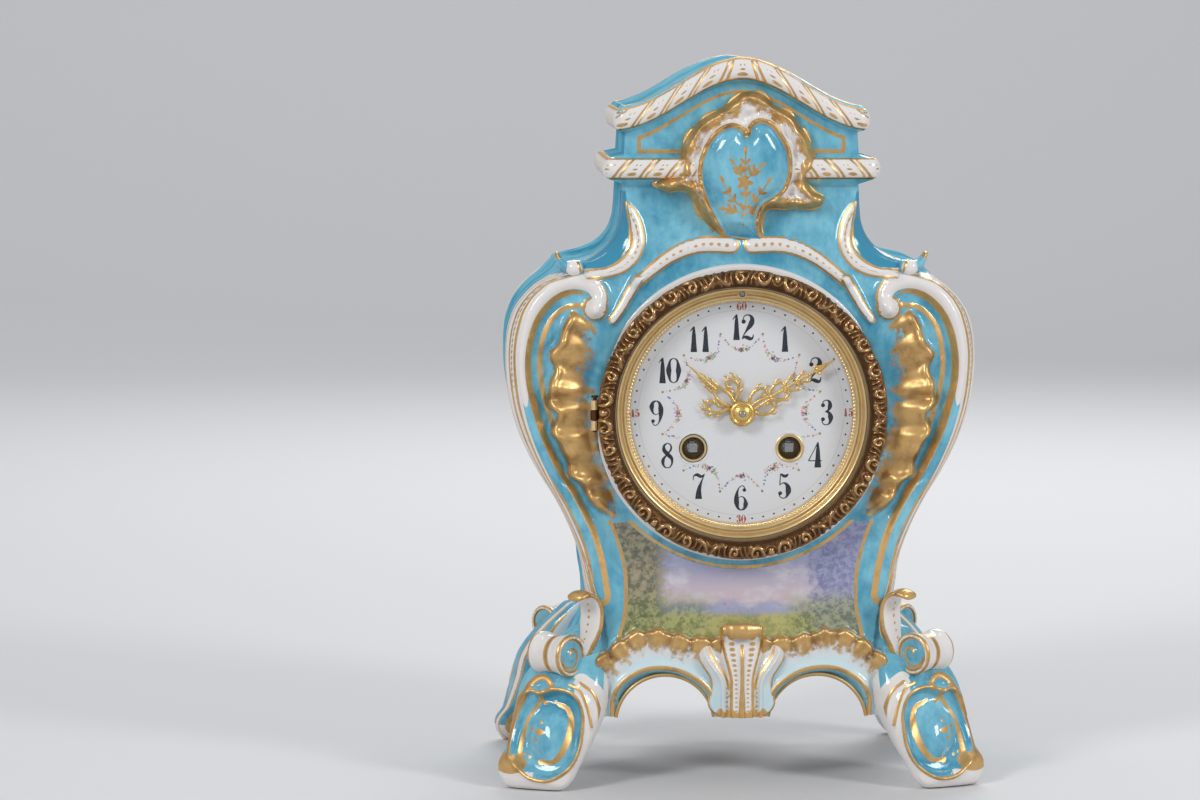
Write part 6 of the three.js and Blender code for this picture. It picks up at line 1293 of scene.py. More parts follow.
def foot_grid():
    """One foot in front of the right side: rows down the leg, columns round it. The cross section is
    |a/w|^(2/0.75) + |b/t|^(2/0.75) = 1 in directions along and across the face."""
    rise = np.concatenate([np.linspace(60, 6, 88), 6 - 6 * np.sin(np.linspace(0, np.pi / 2, 13))[1:]])
    angle = np.linspace(0, 2 * np.pi, 132, endpoint=False)[None, :]
    cx, cy, w, t = (stations(foot_table[:, [0, k]], rise)[:, None] for k in (1, 2, 3, 4))
    into_sole = np.clip(1 - ((6 - rise) / 6.002) ** 2, 0, 1)
    tuck = np.where(rise < 6, 4.2 * (1 - np.sqrt(into_sole)), 0)[:, None]
    a = np.sign(np.cos(angle)) * np.abs(np.cos(angle)) ** 0.75 * (w - tuck)
    b = np.sign(np.sin(angle)) * np.abs(np.sin(angle)) ** 0.75 * (t - tuck)
    x = cx + a * math.cos(FACE_TURN) + b * math.sin(FACE_TURN)
    y = cy - a * math.sin(FACE_TURN) + b * math.cos(FACE_TURN)
    z = np.broadcast_to(rise[:, None], x.shape)
    outer = ease(b / t, 0.1, 0.55)
    dish = inside(x, z, dish_outline)
    oval = 1 - np.hypot((x - 76.6 - 0.12 * (z - 21)) / 9.4, (z - 21.3) / 11.6)
    d_strip = measure(x, z, strip_line)[0]
    d_inner = measure(x, z, leaf_inner)[0]
    d_outer = measure(x, z, leaf_outer)[0]
    d_scroll, _, s_scroll = measure(x, z, oval_scroll)
    left_strip = ease(x - np.interp(z, strip_line[::-1, 1], strip_line[::-1, 0]), -0.5, 1.5)
    relief = -3.0 * ease(dish, 0.2, 3.2) * (1 - left_strip)
    dome = 4.4 * np.clip(1 - (1 - np.clip(oval, 0, 1)) ** 2, 0, 1)
    relief = relief + dome * (1 - left_strip)
    relief = relief + 1.2 * bump(np.abs(dish), 1.7) + 1.0 * bump(d_strip, 1.6)
    relief = relief + 1.2 * bump(d_inner, 2.4) + 1.3 * bump(d_outer, 2.4) * ease(z, 12, 20)
    toe = np.hypot((x - 92.0) / 7.0, (z - 9.4) / 4.0)
    relief = relief + 1.4 * bump(toe, 1.0)
    x = x + 2.4 * bump(z - 8.0, 7.0) * ease(a / w, 0.6, 1.0)
    crest = measure(x, z, foot_crest)[0]
    relief = relief + 1.3 * bump(crest, 2.2)
    y = y + relief * outer * math.cos(FACE_TURN)
    x = x + relief * outer * math.sin(FACE_TURN)
    x = np.where(x > 89, 104 - 15 * np.exp((89 - x) / 15), x)
    y = np.minimum(y, 65.8)

    # Gold: the rim of the dish, the strip, both leaves, the inner scroll, dots, toe and crest.
    gild = np.maximum.reduce([0.72 - np.abs(dish), 0.6 - d_strip, 0.62 - d_inner, 0.6 - d_outer])
    gild = np.maximum(gild, (0.85 + 0.25 * np.sin(np.pi * s_scroll)) - d_scroll)
    for dot_x, dot_z, radius in gold_dots:
        gild = np.maximum(gild, radius - np.hypot(x - dot_x, z - dot_z))
    gild = np.maximum(gild, (0.92 - toe) * 4.5)
    gild = np.maximum(gild, 1.1 - crest)
    white = np.where(x < 88, -dish, AWAY)
    white = np.where((z > 37) & (x > 66), AWAY, white)
    leaves = np.minimum(white, 3.4 - np.minimum(d_outer, d_inner))
    white = np.where(z > 30, np.maximum(leaves, white - 60 * ease(z, 30, 33)), white)
    white = np.maximum(white, np.minimum(6.0 - z, -dish))

    # Round the sides: three gold stripes, white between them.
    edge_run = b / t * 7.0
    stripe = np.maximum.reduce([0.35 - np.abs(edge_run + k) for k in (0.6, 3.0, 5.4)])
    stripe = np.where(x > 66, stripe, AWAY)
    gild = np.where(outer > 0.25, gild, np.where(x > cx, stripe, AWAY))
    side_white = np.maximum(-5.4 - edge_run, 1.2 - np.abs(edge_run + 1.8))
    white = np.where(outer > 0.25, white, np.where(x > cx, side_white, 5.0))
    white = np.maximum(white, np.where(x > 82, 7.0 - z, AWAY))
    white = np.where((outer <= 0.25) & (z < 6.0), 6.0 - z, white)
    # hollow is painted shade that browns the gold at the dish's edge; depth is painted shade in the dish
    # round the oval.
    fields = {"gild": gild, "white": white, "hollow": 0.25 * bump(dish, 2.0),
              "depth": 0.10 * (dish > 0.5) * (oval < 0)}
    points = np.stack([x, y, z], axis=-1)
    centre = np.array([cx[-1, 0], cy[-1, 0], 0.0])
    sole = centre + (points[-1:] - centre) * np.array([0.66, 0.33, 0.0001])[:, None, None]
    crown_middle = np.array([cx[0, 0] - 3.0, cy[0, 0] - 2.0, 63.5])
    crown = crown_middle + (points[:1] - crown_middle) * np.array([0.0001, 0.4, 0.75])[:, None, None]
    repeats = np.array([4] + [1] * (len(points) - 2) + [4])
    return np.concatenate([crown, points, sole]), {k: np.repeat(v, repeats, axis=0) for k,
                                                   v in fields.items()}


def four_corners(name, grid, rear=None, **fields):
    """The same grid at the corners of the clock, by changing the signs of x and y. rear is another
    grid for the two rear corners, or False for none."""
    grids = []
    for sx in (-1, 1):
        for sy, shape in ((-1, grid), (1, grid if rear is None else rear)):
            if shape is not False:
                grids.append(shape * np.array([sx, sy, 1]))
    porcelain_piece(name, *join_grids(grids), **fields)


foot_points, foot_fields = foot_grid()
four_corners("feet", foot_points, **foot_fields)
print("feet:", foot_points.shape)

# %% [markdown]
# ## Volutes over the feet
# A short roll lies across each corner, at 45 degrees. The painted end shows a turquoise spiral with
# a gold line. The side of the roll is ringed with white and brown gold.
# %% Rolls and spurs
DIAGONAL = 0.7071
ROLL_MIDDLE = np.array([72.6, 47.6, 51.4])
REAR_ROLL_MIDDLE = np.array([70.4, 46.6, 50.6])
REAR_ROLL_SIZE = 0.86


def volute_grid():
    """A turned profile (distance along the axis, radius) carried round the axis of the roll."""
    half = smooth_path([(0.0, 7.3), (3.4, 7.5), (6.0, 8.2), (7.6, 8.3), (8.6, 7.6), (8.5, 6.6), (7.7, 6.2)],
                       28)
    eye_radius = np.linspace(6.1, 0.02, 14)
    half = np.vstack([half, np.stack([7.7 + 1.1 * ease(eye_radius, 3.2, 1.2), eye_radius], axis=1)])
    profile = np.vstack([half[::-1][:-1] * np.array([-1, 1]), half])
    angle = np.linspace(0, 2 * np.pi, 72, endpoint=False)[None, :]
    s = profile[:, 0][:, None]
    r = profile[:, 1][:, None] * np.ones_like(angle)
    along = np.array([-DIAGONAL, DIAGONAL, 0.0])
    across = np.array([DIAGONAL, DIAGONAL, 0.0])
    up = np.array([0.0, 0.0, 1.0])
    points = s[..., None] * along + (r * np.cos(angle))[..., None] * across + (r * np.sin(angle))[...,
                                                                                                  None] * up
    on_face = (r < 6.5) & (np.abs(s) > 6.0)
    line = 0.55 - np.abs(r - 5.6 * (angle / (2 * np.pi)) ** 0.7 - 0.2)
    rings = np.maximum.reduce([1.25 - np.abs(s - 0.8), 0.7 - np.abs(np.abs(s) - 7.9)])
    gild = np.where(on_face, np.maximum(line, 0.45 - np.abs(r - 6.3)), rings * np.ones_like(r))
    hollow = 0.35 * (rings > 0.5) * np.ones_like(r)
    return ROLL_MIDDLE + points, {"gild": gild, "white": np.where(on_face, AWAY, 4.0), "hollow": hollow}


roll_points, roll_fields = volute_grid()
small_rolls = REAR_ROLL_MIDDLE + (roll_points - ROLL_MIDDLE) * REAR_ROLL_SIZE
four_corners("foot_volutes", roll_points, small_rolls, **roll_fields)


def leaf_band(path, half_width, thick, across, lift, count=48, around=28):
    """A leaf along a 3-D path: at each point an ellipse with half width along across and half
    thickness along lift, both functions of the share of the path. Returns the grid, and for each of
    its points the place across, the side of the leaf, the share, the length run and the half width."""
    line = smooth_path(path, count)
    heading = np.gradient(line, axis=0)
    heading /= np.linalg.norm(heading, axis=1)[:, None]
    wide = across / np.linalg.norm(across)
    wide = wide - heading * (heading @ wide)[:, None]
    wide /= np.linalg.norm(wide, axis=1)[:, None]
    normal = np.cross(heading, wide)
    normal = normal * np.sign(normal @ lift + 1e-9)[:, None]
    share = np.linspace(0, 1, count)
    w = half_width(share)[:, None, None]
    t = thick(share)[:, None, None]
    angle = np.linspace(0, 2 * np.pi, around, endpoint=False)[None, :, None]
    grid = line[:, None, :] + wide[:, None, :] * w * np.cos(angle) + normal[:, None, :] * t * np.sin(angle)
    place = np.cos(angle[..., 0]) * np.ones((count, 1))
    face = np.sin(angle[..., 0]) * np.ones((count, 1))
    run = np.concatenate([[0], np.cumsum(np.linalg.norm(np.diff(line, axis=0), axis=1))])[:, None]
    return grid, place, face, share[:, None] * np.ones((1, around)), run * np.ones((1, around)), w[..., 0]


def closing(share, blunt):
    """1 along the leaf, falling to almost 0 at both of its ends as a quarter circle."""
    near = np.minimum(share, 1 - share) / blunt
    return np.sqrt(np.clip(1 - (1 - np.clip(near, 0, 1)) ** 2, 0.0004, 1))


spur_path = [
    (61.4, 46.4, 50), (60.2, 47.4, 56), (58.9, 47.9, 63), (58.6, 48.2, 69), (60.0, 49.6, 73.8),
    (62.6, 52.2, 75.6),
    (65.0, 54.6, 75.0), (66.4, 56.0, 73.4),
]
spur_grid, place, face, share, run, width = leaf_band(
    spur_path, lambda s: (2.6 + 3.4 * ease(s, 0.0, 0.42) - 1.8 * ease(s, 0.55, 1.0)) * closing(s, 0.07),
    lambda s: (2.6 - 1.2 * s) * closing(s, 0.07), np.array([DIAGONAL, -DIAGONAL, 0.0]),
    np.array([DIAGONAL, DIAGONAL, 0.0]),
)
dots = 0.80 - 0.42 * ease(share, 0.55, 0.05) - np.hypot(place * width, np.abs(run / 3.0 % 1 - 0.5) * 3.0)
spur_gild = np.maximum.reduce([np.where((share < 0.72) & (face > 0), dots, AWAY),
                               0.5 - np.abs(np.abs(place) - 0.94) * width, (share - 0.82) * 36])
four_corners("spurs", spur_grid, False, gild=spur_gild, white=5.0)
print("rolls and spurs")

# %% [markdown]
# ## Acanthus
# In the middle of the front and rear aprons an acanthus leaf hangs from a gilded roll. Height and
# paint are both functions of the distance to the veins.
# %% Leaf in the middle of the apron
# Height and half width of the leaf.
leaf_half = [
    [26.6, 8.5], [28.5, 11.6], [31, 13.2], [34, 13.2], [38, 12.2], [42, 12.6], [46, 15], [50, 17.2],
    [53, 17.2],
    [55.2, 13.5], [57, 9.4], [60, 8.4], [66, 8.2],
]


def acanthus_grid():
    """Columns across the leaf, rows up it. The rows end in a roll: a half turn forward and down."""
    z = np.linspace(26.6, 61.0, 96)[:, None]
    u = np.linspace(-1, 1, 81)[None, :]
    half = stations(leaf_half, z[:, 0])[:, None]
    x = half * u
    a = np.abs(x)
    middle = 4.2 + 3.4 * ease(z, 40, 58)
    vein_x = middle + 3.2 + 4.6 * ease(z, 38, 52)
    blade = 3.6 * np.sqrt(np.clip(1 - (a / (middle + 0.4)) ** 2, 0, 1)) * 0.35 + 2.6
    wing = 1.7 * bump(a - vein_x, 5.0) + 0.9
    fold = 0.9 * bump(a - vein_x, 1.2)
    height = np.where(a < middle, blade, wing) + fold * (a > middle) + 1.3 * bump(a, 1.7) * ease(z, 56, 50)
    height = height * ease(1 - np.abs(u), 0, 0.10) + 0.9 * bump(a - middle, 1.3)
    y = np.interp(z, [26, 45, 61], [-50.6, -50.2, -48.2]) - height
    y = np.maximum(y, -55.4)
    rib = np.minimum(0.75 + 0.5 * ease(z, 40, 30) - a, (55.5 - z) * 0.4)
    side_line = 0.6 - np.abs(a - middle)
    rim = np.maximum(0.75 - (1 - np.abs(u)) * half, 0.5 - np.abs(a - vein_x + 2.2) * np.where(z > 38, 1, 9))
    size = 0.55 + 0.75 * ease(z, 36, 60)
    pitch = 1.75 + 0.5 * ease(z, 36, 60)
    step = np.cumsum(np.diff(z[:, 0], prepend=z[0, 0]) / pitch[:, 0])[:, None]
    beads = size * 0.62 - np.hypot((a - middle * 0.55) * 0.62, (np.abs(step % 1 - 0.5)) * pitch)
    outer_beads = 0.42 * ease(z, 46, 30) + 0.1 - np.hypot(a - middle - 1.7, np.abs(step % 1 - 0.5) * pitch)
    beads = np.where(z > 58.4, -9, beads)
    foot_gold = (29.4 - z + 0.9 * np.cos(a * 1.5)) * np.ones_like(a)
    gild = np.maximum.reduce([rib, side_line, rim, beads, outer_beads, foot_gold])
    roll = np.linspace(0, 1.45 * np.pi, 26)[1:][:, None]
    radius = 3.2 * np.sqrt(np.clip(1 - 0.96 * np.abs(u) ** 2.4, 0, 1)) * (1 + 0.05 * np.sin(9 * u))
    roll_x = (8.3 + 0.5 * np.sin(roll)) * u * np.ones_like(roll)
    roll_y = y[-1:, :] - radius * (1 - np.cos(roll)) * 0.75
    roll_z = z[-1, 0] + radius * np.sin(roll)
    points = np.stack([np.vstack([x, roll_x]), np.vstack([y, np.maximum(roll_y, -58.0)]),
                       np.vstack([z * np.ones_like(x), roll_z])], axis=-1)
    gild = np.vstack([gild, np.full(roll_x.shape, 3.0)])
    gild[90:] = np.maximum(gild[90:], 0.6)
    pale = np.vstack([ease(z, 54, 32) * ease(a, 2, 9) * np.ones_like(a), np.zeros_like(roll_x)])
    return points, gild, pale


leaf_points, leaf_gild, leaf_pale = acanthus_grid()
grids = [(leaf_points * np.array([1, s, 1]), False, False) for s in (1, -1)]
points, quads = join_grids(grids, lambda p: np.array([0.0, 0.0, p[..., 2].mean()]))
porcelain_piece("acanthus", points, quads, gild=leaf_gild, white=5.0, pale=leaf_pale)
print("acanthus leaves")

# %% [markdown]
# ## Thickness of the wall
# The casting is hollow. An inner skin, the linings of the openings and the rim below close it.
# %% Inner skin and linings
WALL = 6.0


def skin_ring(inset):
    """The points of body_skin all round the clock."""
    right_x, right_y, right_z, _ = body_skin(inset)
    return np.stack([both_halves(right_x, -1), both_halves(right_y), both_halves(right_z)], axis=-1)


def inner_skin():
    """The body's skin moved inward by the wall thickness, on every third row, cut at the openings."""
    flat, quads = one_grid(skin_ring(WALL)[::3].copy(), CASE_MIDDLE)
    share = opening_share(flat)
    quads = quads[(share[quads] > 0.97).sum(axis=1) >= 3]
    snap_to_openings(flat, 0.87)
    return flat, quads[:, ::-1]


def half_arch(half, rise):
    """Points of a half ellipse over the middle of an arch: (half cos t, ARCH_Z + rise sin t)."""
    turn = np.linspace(0.14, np.pi - 0.14, 60)
    return half * np.cos(turn), ARCH_Z + rise * np.sin(turn)


porcelain_piece("inner_wall", *inner_skin(), white=5.0)
tunnels = []
edge_beads = []
for middle_x in (-ARCH_X, ARCH_X):
    for side in (-1, 1):
        across, up = half_arch(19.5, 19.4)
        rows = [np.stack([middle_x + across, np.full(60, side * y), up], axis=1)
                for y in np.linspace(49.4, 42.6, 5)]
        tunnels.append((np.stack(rows), False, False))
        edge_beads.append(np.stack([middle_x + across, np.full(60, side * 48.4), up], axis=1))
for side in (-1, 1):
    across, up = half_arch(26.8, 22.2)
    rows = [np.stack([np.full(60, side * x), across, up], axis=1) for x in np.linspace(69.4, 60.6, 5)]
    tunnels.append((np.stack(rows), False, False))
points, quads = join_grids(tunnels, lambda p: np.array([p[..., 0].mean(), p[..., 1].mean(), 20.0]))
porcelain_piece("arch_linings", points, quads[:, ::-1])


def wire(line, radius, around=10):
    """A round wire along a 3-D line: circles in the plane across its heading. radius is one number,
    or one for each point of the line."""
    heading = np.gradient(line, axis=0)
    heading /= np.linalg.norm(heading, axis=1)[:, None]
    upright = np.abs(heading[:, 1:2]) > 0.9
    reference = np.where(upright, np.array([[0.0, 0.0, 1.0]]), np.array([[0.0, 1.0, 0.0]]))
    side = np.cross(heading, reference)
    side /= np.linalg.norm(side, axis=1)[:, None]
    up = np.cross(side, heading)
    angle = np.linspace(0, 2 * np.pi, around, endpoint=False)[None, :, None]
    r = np.resize(radius, len(line))[:, None, None]
    return line[:, None, :] + r * (np.cos(angle) * side[:, None, :] + np.sin(angle) * up[:, None, :])


porcelain_piece("arch_beads", *join_grids([wire(line, 0.75) for line in edge_beads]), gild=3.0)

under = np.stack([skin_ring(inset)[0] for inset in (0.4, WALL)])
flat, quads = one_grid(under, (0, 0, 60.0))
share = opening_share(flat)
porcelain_piece("lower_rim", flat, quads[(share[quads] > 0.97).all(axis=1)], white=5.0)
print("wall closed below")


# %% Seats of the round openings
def turned(profile, columns=144, centre_z=DIAL_Z, centre_x=0.0):
    """A profile of (radius, y) carried round an axis parallel to Y."""
    angle = np.linspace(0, 2 * np.pi, columns, endpoint=False)[None, :]
    r, y = profile.T[:, :, None]
    return np.stack([centre_x + r * np.cos(angle), y * np.ones_like(angle), centre_z + r * np.sin(angle)],
                    axis=-1)


front_seat = smooth_path([
    (58.6, -44.5), (57.9, -46.9), (56.9, -47.5), (53.5, -47.5), (51.4, -47.5), (50.7, -46.9), (50.6, -44),
    (50.6, -40),
], 40)
rear_seat = smooth_path([
    (48.6, 44.5), (48.2, 47.0), (47.4, 47.5), (45.5, 47.5), (44.6, 46.9), (44.2, 44), (44.2, 40),
], 40)
seats = join_grids([turned(front_seat), turned(rear_seat)],
                   lambda points: np.array([0.0, -FAR * np.sign(points[0, 0, 1]), DIAL_Z]))
porcelain_piece("opening_seats", *seats, white=5.0)
print("seats ready")


# %% Finials on the shoulders
finial_path = [
    (62.0, 41.0, 202.2), (66.0, 41.4, 202.6), (69.2, 41.8, 203.8), (71.2, 42.0, 206.2), (72.6, 42.0, 209.2),
]
finial_grid, place, face, share, run, width = leaf_band(
    finial_path, lambda s: (6.4 - 2.2 * ease(s, 0.4, 1.0)) * closing(s, 0.10),
    lambda s: (3.6 - 2.7 * ease(s, 0.15, 1.0)) * closing(s, 0.10),
    np.array([0.0, 1.0, 0.0]), np.array([0.0, 0.0, 1.0]), count=60,
)
bands = np.maximum((share - 0.80) * 16, 0.4 - np.abs(share - 0.30) * 14)
four_corners("shoulder_horns", finial_grid, False, gild=bands)


def knob_grid():
    """An ellipsoid: x = 3.3 sin t cos u, y = 2.6 sin t sin u, z = 3.0 cos t about the knob's middle."""
    t = np.linspace(0.02, np.pi - 0.02, 26)[:, None]
    u = np.linspace(0, 2 * np.pi, 40, endpoint=False)[None, :]
    x = 65.6 + 3.3 * np.sin(t) * np.cos(u)
    y = 46.6 + 2.6 * np.sin(t) * np.sin(u)
    z = 202.9 + 3.0 * np.cos(t) * np.ones_like(u)
    gold = 0.5 - np.abs(x - 63.4 - 0.3 * (z - 202.9))
    return np.stack([x, y, z], axis=-1), gold

knob_points, knob_gold = knob_grid()
four_corners("shoulder_knobs", knob_points, False, gild=knob_gold, white=5.0)
print("finials")

# %% [markdown]
# ## Bezel and gilt ring
# The bezel is an embossed ring: seven equal lengths of beads, C scrolls and leaves, each mirrored
# about its bead. On a polar grid the height is a hill across the distance to the nearest stroke.
# %% Embossed bezel
MOTIFS = 7
BEZEL_RADIUS = 52.8
BEZEL_COLUMNS = 1260
# Each stroke is a path of (mm along the ring, mm across it), its half width and its height.
motif_strokes = [
    ([(2.7, -1.5), (3.0, 0.6), (4.4, 2.0), (6.4, 1.9), (7.4, 0.6), (6.9, -0.8), (5.7, -0.9), (5.3, 0.2)],
     0.95, 1.5),
    ([(3.6, -2.4), (6.0, -2.3), (8.2, -1.6), (9.6, 0.2), (10.2, 2.3)], 0.75, 1.1),
    ([(8.8, -2.6), (10.4, -1.4), (11.4, 0.4), (12.2, 2.4)], 0.7, 1.0),
    ([(7.6, 2.6), (8.4, 1.4), (8.6, 0.4)], 0.7, 0.9),
    ([(11.0, -2.5), (13.4, -2.2), (15.4, -0.9), (15.8, 0.9), (14.6, 2.1), (13.2, 1.6), (13.2, 0.4),
      (14.1, 0.1)],
     0.95, 1.5),
    ([(14.0, -2.7), (16.4, -2.2), (17.6, -0.6), (18.0, 1.2), (17.4, 2.6)], 0.7, 1.1),
    ([(16.8, -2.7), (18.8, -1.8), (19.8, -0.2), (20.2, 2.0)], 0.7, 1.0),
    ([(18.8, 2.6), (20.8, 2.0), (22.4, 0.6), (23.4, -1.2), (23.7, -2.6)], 0.8, 1.2),
    ([(20.6, -2.6), (21.6, -1.2), (21.8, 0.2)], 0.65, 0.9),
    ([(21.8, 2.6), (22.8, 1.8), (23.7, 1.7)], 0.6, 0.9),
]


def bezel_surface():
    """A closed cross section carried round the dial. Its front is raised by the motif, the same in
    each of the seven lengths; s runs along the ring from the bead and t across it, both in mm."""
    front = smooth_path([
        (56.0, -50.6), (56.1, -53.2), (55.3, -55.6), (53.6, -57.0), (51.6, -57.0), (50.4, -56.0),
        (49.8, -54.6),
    ], 46)
    back = np.array([
        (49.7, -53.9), (49.9, -53.2), (51.4, -53.1), (51.4, -51.6), (51.4, -49.8), (52.0, -49.6),
        (53.8, -49.6),
        (55.6, -49.6), (56.0, -50.0),
    ])
    angle = np.linspace(0, 2 * np.pi, BEZEL_COLUMNS, endpoint=False)[None, :]
    run = np.concatenate([[0], np.cumsum(np.hypot(*np.diff(front, axis=0).T))])
    t = (run - run[-1] * 0.5)[:, None] * 0.82
    turn = (angle - np.pi / 2 + np.radians(14)) * MOTIFS / (2 * np.pi)
    length = 2 * np.pi / MOTIFS * BEZEL_RADIUS
    s = np.abs(length / 2 - np.abs((turn % 1) - 0.5) * length) * np.ones_like(t)
    t = t * np.ones_like(s)
    rise = np.zeros_like(s)
    for path, half, tall in motif_strokes:
        distance, _, share = measure(s, t, smooth_path(path, 18))
        rise = np.maximum(rise, tall * bump(distance, half * (1.5 - 0.5 * share)))
    bead = np.hypot(s, t)
    rise = np.maximum(rise, 1.9 * np.sqrt(np.clip(1 - (bead / 1.5) ** 2, 0, 1)))
    rise = np.maximum(rise, 0.55 * bump(bead - 2.1, 0.5))
    rise = (rise + 0.12 * ripple(s + 40 * angle, t, 5, 1.2)) * ease(np.abs(t), 5.4, 4.2)
    normal = np.stack([np.gradient(front[:, 1]), -np.gradient(front[:, 0])], axis=1)
    normal /= -np.sign(np.mean(normal[:, 1])) * np.linalg.norm(normal, axis=1)[:, None]
    r = front[:, :1] + normal[:, :1] * rise * 0.75
    y = front[:, 1:] + normal[:, 1:] * rise * 0.75
    r = np.minimum(np.vstack([r, back[:, :1] * np.ones_like(angle)]), 56.6)
    y = np.maximum(np.vstack([y, back[:, 1:] * np.ones_like(angle)]), -58.5)
    rise = np.vstack([rise, np.full((len(back), BEZEL_COLUMNS), 0.4)])
    return np.stack([r * np.cos(angle), y, DIAL_Z + r * np.sin(angle)], axis=-1), rise


bezel_points, bezel_rise = bezel_surface()
ring_middle = turned(np.array([(53.0, -54.0)]), BEZEL_COLUMNS)[0]
flat = bezel_points.reshape(-1, 3)
quads = grid_quads(*bezel_points.shape[:2], around=True, along=True)
quads = outward(flat, quads, ring_middle[quads[:, 0] % BEZEL_COLUMNS])
make_piece("embossed_bezel", flat, quads, "bezel", embossed_gilt, "gilt_bronze", "bezel_rim", rise=bezel_rise)
print("bezel:", len(quads) * 2, "triangles")
HINGE_LOW = DIAL_Z - 2.0
HINGE_HIGH = DIAL_Z + 1.7


def hinge_half(name, axis_x, axis_y, leaf, body, material, slot, stand_in):
    """A knuckle round the hinge pin with rounded ends, and the flat leaf that joins it to its ring.
    leaf is (x at the ring, y of one face, y of the other face)."""
    angle = np.linspace(0, 2 * np.pi, 32, endpoint=False)[None, :]
    radii = np.array([1.05, 1.5, 1.68, 1.7, 1.7, 1.68, 1.5, 1.05])[:, None]
    ends = np.array([0, 0, 0.12, 0.35])
    levels = np.concatenate([HINGE_LOW + ends, HINGE_HIGH - ends[::-1]])[:, None]
    barrel = np.stack([axis_x + radii * np.cos(angle), axis_y + radii * np.sin(angle),
                       levels * np.ones_like(angle)], axis=-1)
    x_end, y_one, y_two = leaf
    slab = np.array([[[axis_x, y_one, level], [x_end, y_one, level], [x_end, y_two, level],
                      [axis_x, y_two, level]]
                     for level in (HINGE_LOW, HINGE_HIGH)])
    middle = slab.mean(axis=(0, 1))
    shrink = np.array([[[1, 1, 1]], [[0.001, 0.001, 1]]])
    caps = [middle + (level - middle) * shrink for level in slab]
    points, quads = join_grids([barrel, slab] + caps,
                               lambda p: middle if p.shape[1] == 4 else p.reshape(-1, 3).mean(axis=0))
    make_piece(name, points, quads, body, material, slot, stand_in, smooth=False)


hinge_half("bezel_knuckle", -57.7, -51.3, (-54.5, -49.7, -50.9), "bezel", embossed_gilt, "gilt_bronze",
           "bezel_rim")
print("bezel hinge ready")


# %% Gilt ring round the dial
REGULATOR_Z = 192.8


def milled_ring():
    """From the outer edge inward: a satin cove, a polished roll, and 200 fine teeth over the enamel."""
    cove = smooth_path([
        (49.2, -47.6), (49.2, -49.3), (48.6, -49.5), (48.0, -49.0), (47.4, -48.0), (46.9, -47.6),
        (46.3, -48.0),
        (45.7, -48.0), (45.2, -47.3), (44.9, -46.8),
    ], 34)
    teeth = smooth_path([
        (44.85, -46.7), (44.4, -46.9), (43.9, -46.7), (43.65, -46.2), (43.7, -45.6), (44.6, -45.35),
    ], 9)
    r, y = np.vstack([cove, teeth]).T[:, :, None]
    angle = np.linspace(0, 2 * np.pi, 1200, endpoint=False)[None, :]
    notch = 0.5 + 0.5 * np.sign(np.sin(angle * 200))
    depth = np.concatenate([np.zeros(34), [0.05, 0.2, 0.28, 0.22, 0.16, 0.1, 0.05, 0, 0]])[:, None]
    r = r + 0.5 * depth * notch
    return np.stack([r * np.cos(angle), y + depth * notch, DIAL_Z + r * np.sin(angle)], axis=-1)


flat, quads = one_grid(milled_ring(), (0, 100.0, DIAL_Z))
away = np.hypot(flat[:, 0], flat[:, 2] - REGULATOR_Z)
quads = quads[(away[quads] > 1.15).all(axis=1)]
make_piece("gilt_ring", flat, quads, "case", gilt_turned, "gilt", "dial_surround")
collar_profile = smooth_path([
    (1.7, -47.5), (1.75, -48.2), (1.45, -48.6), (1.1, -48.4), (1.05, -47.6), (1.05, -45.0),
], 16)
collar = one_grid(turned(collar_profile, 28, REGULATOR_Z), (0, 0, REGULATOR_Z))
make_piece("regulating_collar", *collar, "case", gilt_turned, "gilt")
print("ring and collar")

# %% [markdown]
# ## Enamel dial
# The dial is domed a little. The minute dots and thin circles are painted by the shader from the
# distance to the centre and the angle. The numerals are ribbons whose width swells and thins, as a
# signwriter's brush does: each stroke is a path with a width at each point.
# %% Dial plate
WINDING_X = 18.9
WINDING_Z = 132.1
WINDING_RADIUS = 5.6


def dial_height(r):
    """The enamel's front: y of the dome at a distance r from the centre."""
    return -45.9 + 1.2 * (r / 46.9) ** 2


def dial_plate():
    """A polar grid, its points near the two winding holes moved onto their edges, and a mark on the
    points inside them."""
    radius = np.concatenate([np.linspace(2.4, 46.6, 96), [46.85, 46.9, 46.8]])[:, None]
    angle = np.linspace(0, 2 * np.pi, 480, endpoint=False)[None, :]
    x = radius * np.cos(angle)
    z = DIAL_Z + radius * np.sin(angle)
    y = dial_height(radius) * np.ones_like(angle)
    y[-2] += 0.25
    y[-1] += 1.0
    drop = np.zeros(x.shape, dtype=bool)
    for hole_x in (-WINDING_X, WINDING_X):
        away = np.hypot(x - hole_x, z - WINDING_Z)
        pull = np.where(np.abs(away - WINDING_RADIUS) < 0.36, WINDING_RADIUS / away, 1.0)
        x = hole_x + (x - hole_x) * pull
        z = WINDING_Z + (z - WINDING_Z) * pull
        away = np.hypot(x - hole_x, z - WINDING_Z)
        y = y - 0.3 * bump(away - 6.1, 0.7)
        drop |= away < WINDING_RADIUS - 0.01
    return np.stack([x, y, z], axis=-1), drop


dial_points, dial_drop = dial_plate()
dial_flat, dial_quads = one_grid(dial_points, (0, 300.0, DIAL_Z))
dial_quads = dial_quads[~dial_drop.ravel()[dial_quads].any(axis=1)]
print("dial:", len(dial_quads) * 2, "triangles")

# %% Enamel of the dial
DOT_RADIUS = 41.9
enamel_paint, n, shader = new_material("enamel_dial", Roughness=0.14, Specular_IOR_Level=0.5)
dial_x, _, dial_z = n.axes(n.place(scale=(1000, 1000, 1000), location=(0, 0, -DIAL_Z)))
dial_r = n.math("SQRT", n.math("ADD", n.math("POWER", dial_x, 2.0), n.math("POWER", dial_z, 2.0)))
dial_turn = n.math("DIVIDE", n.math("ARCTAN2", dial_x, dial_z), 2 * math.pi)


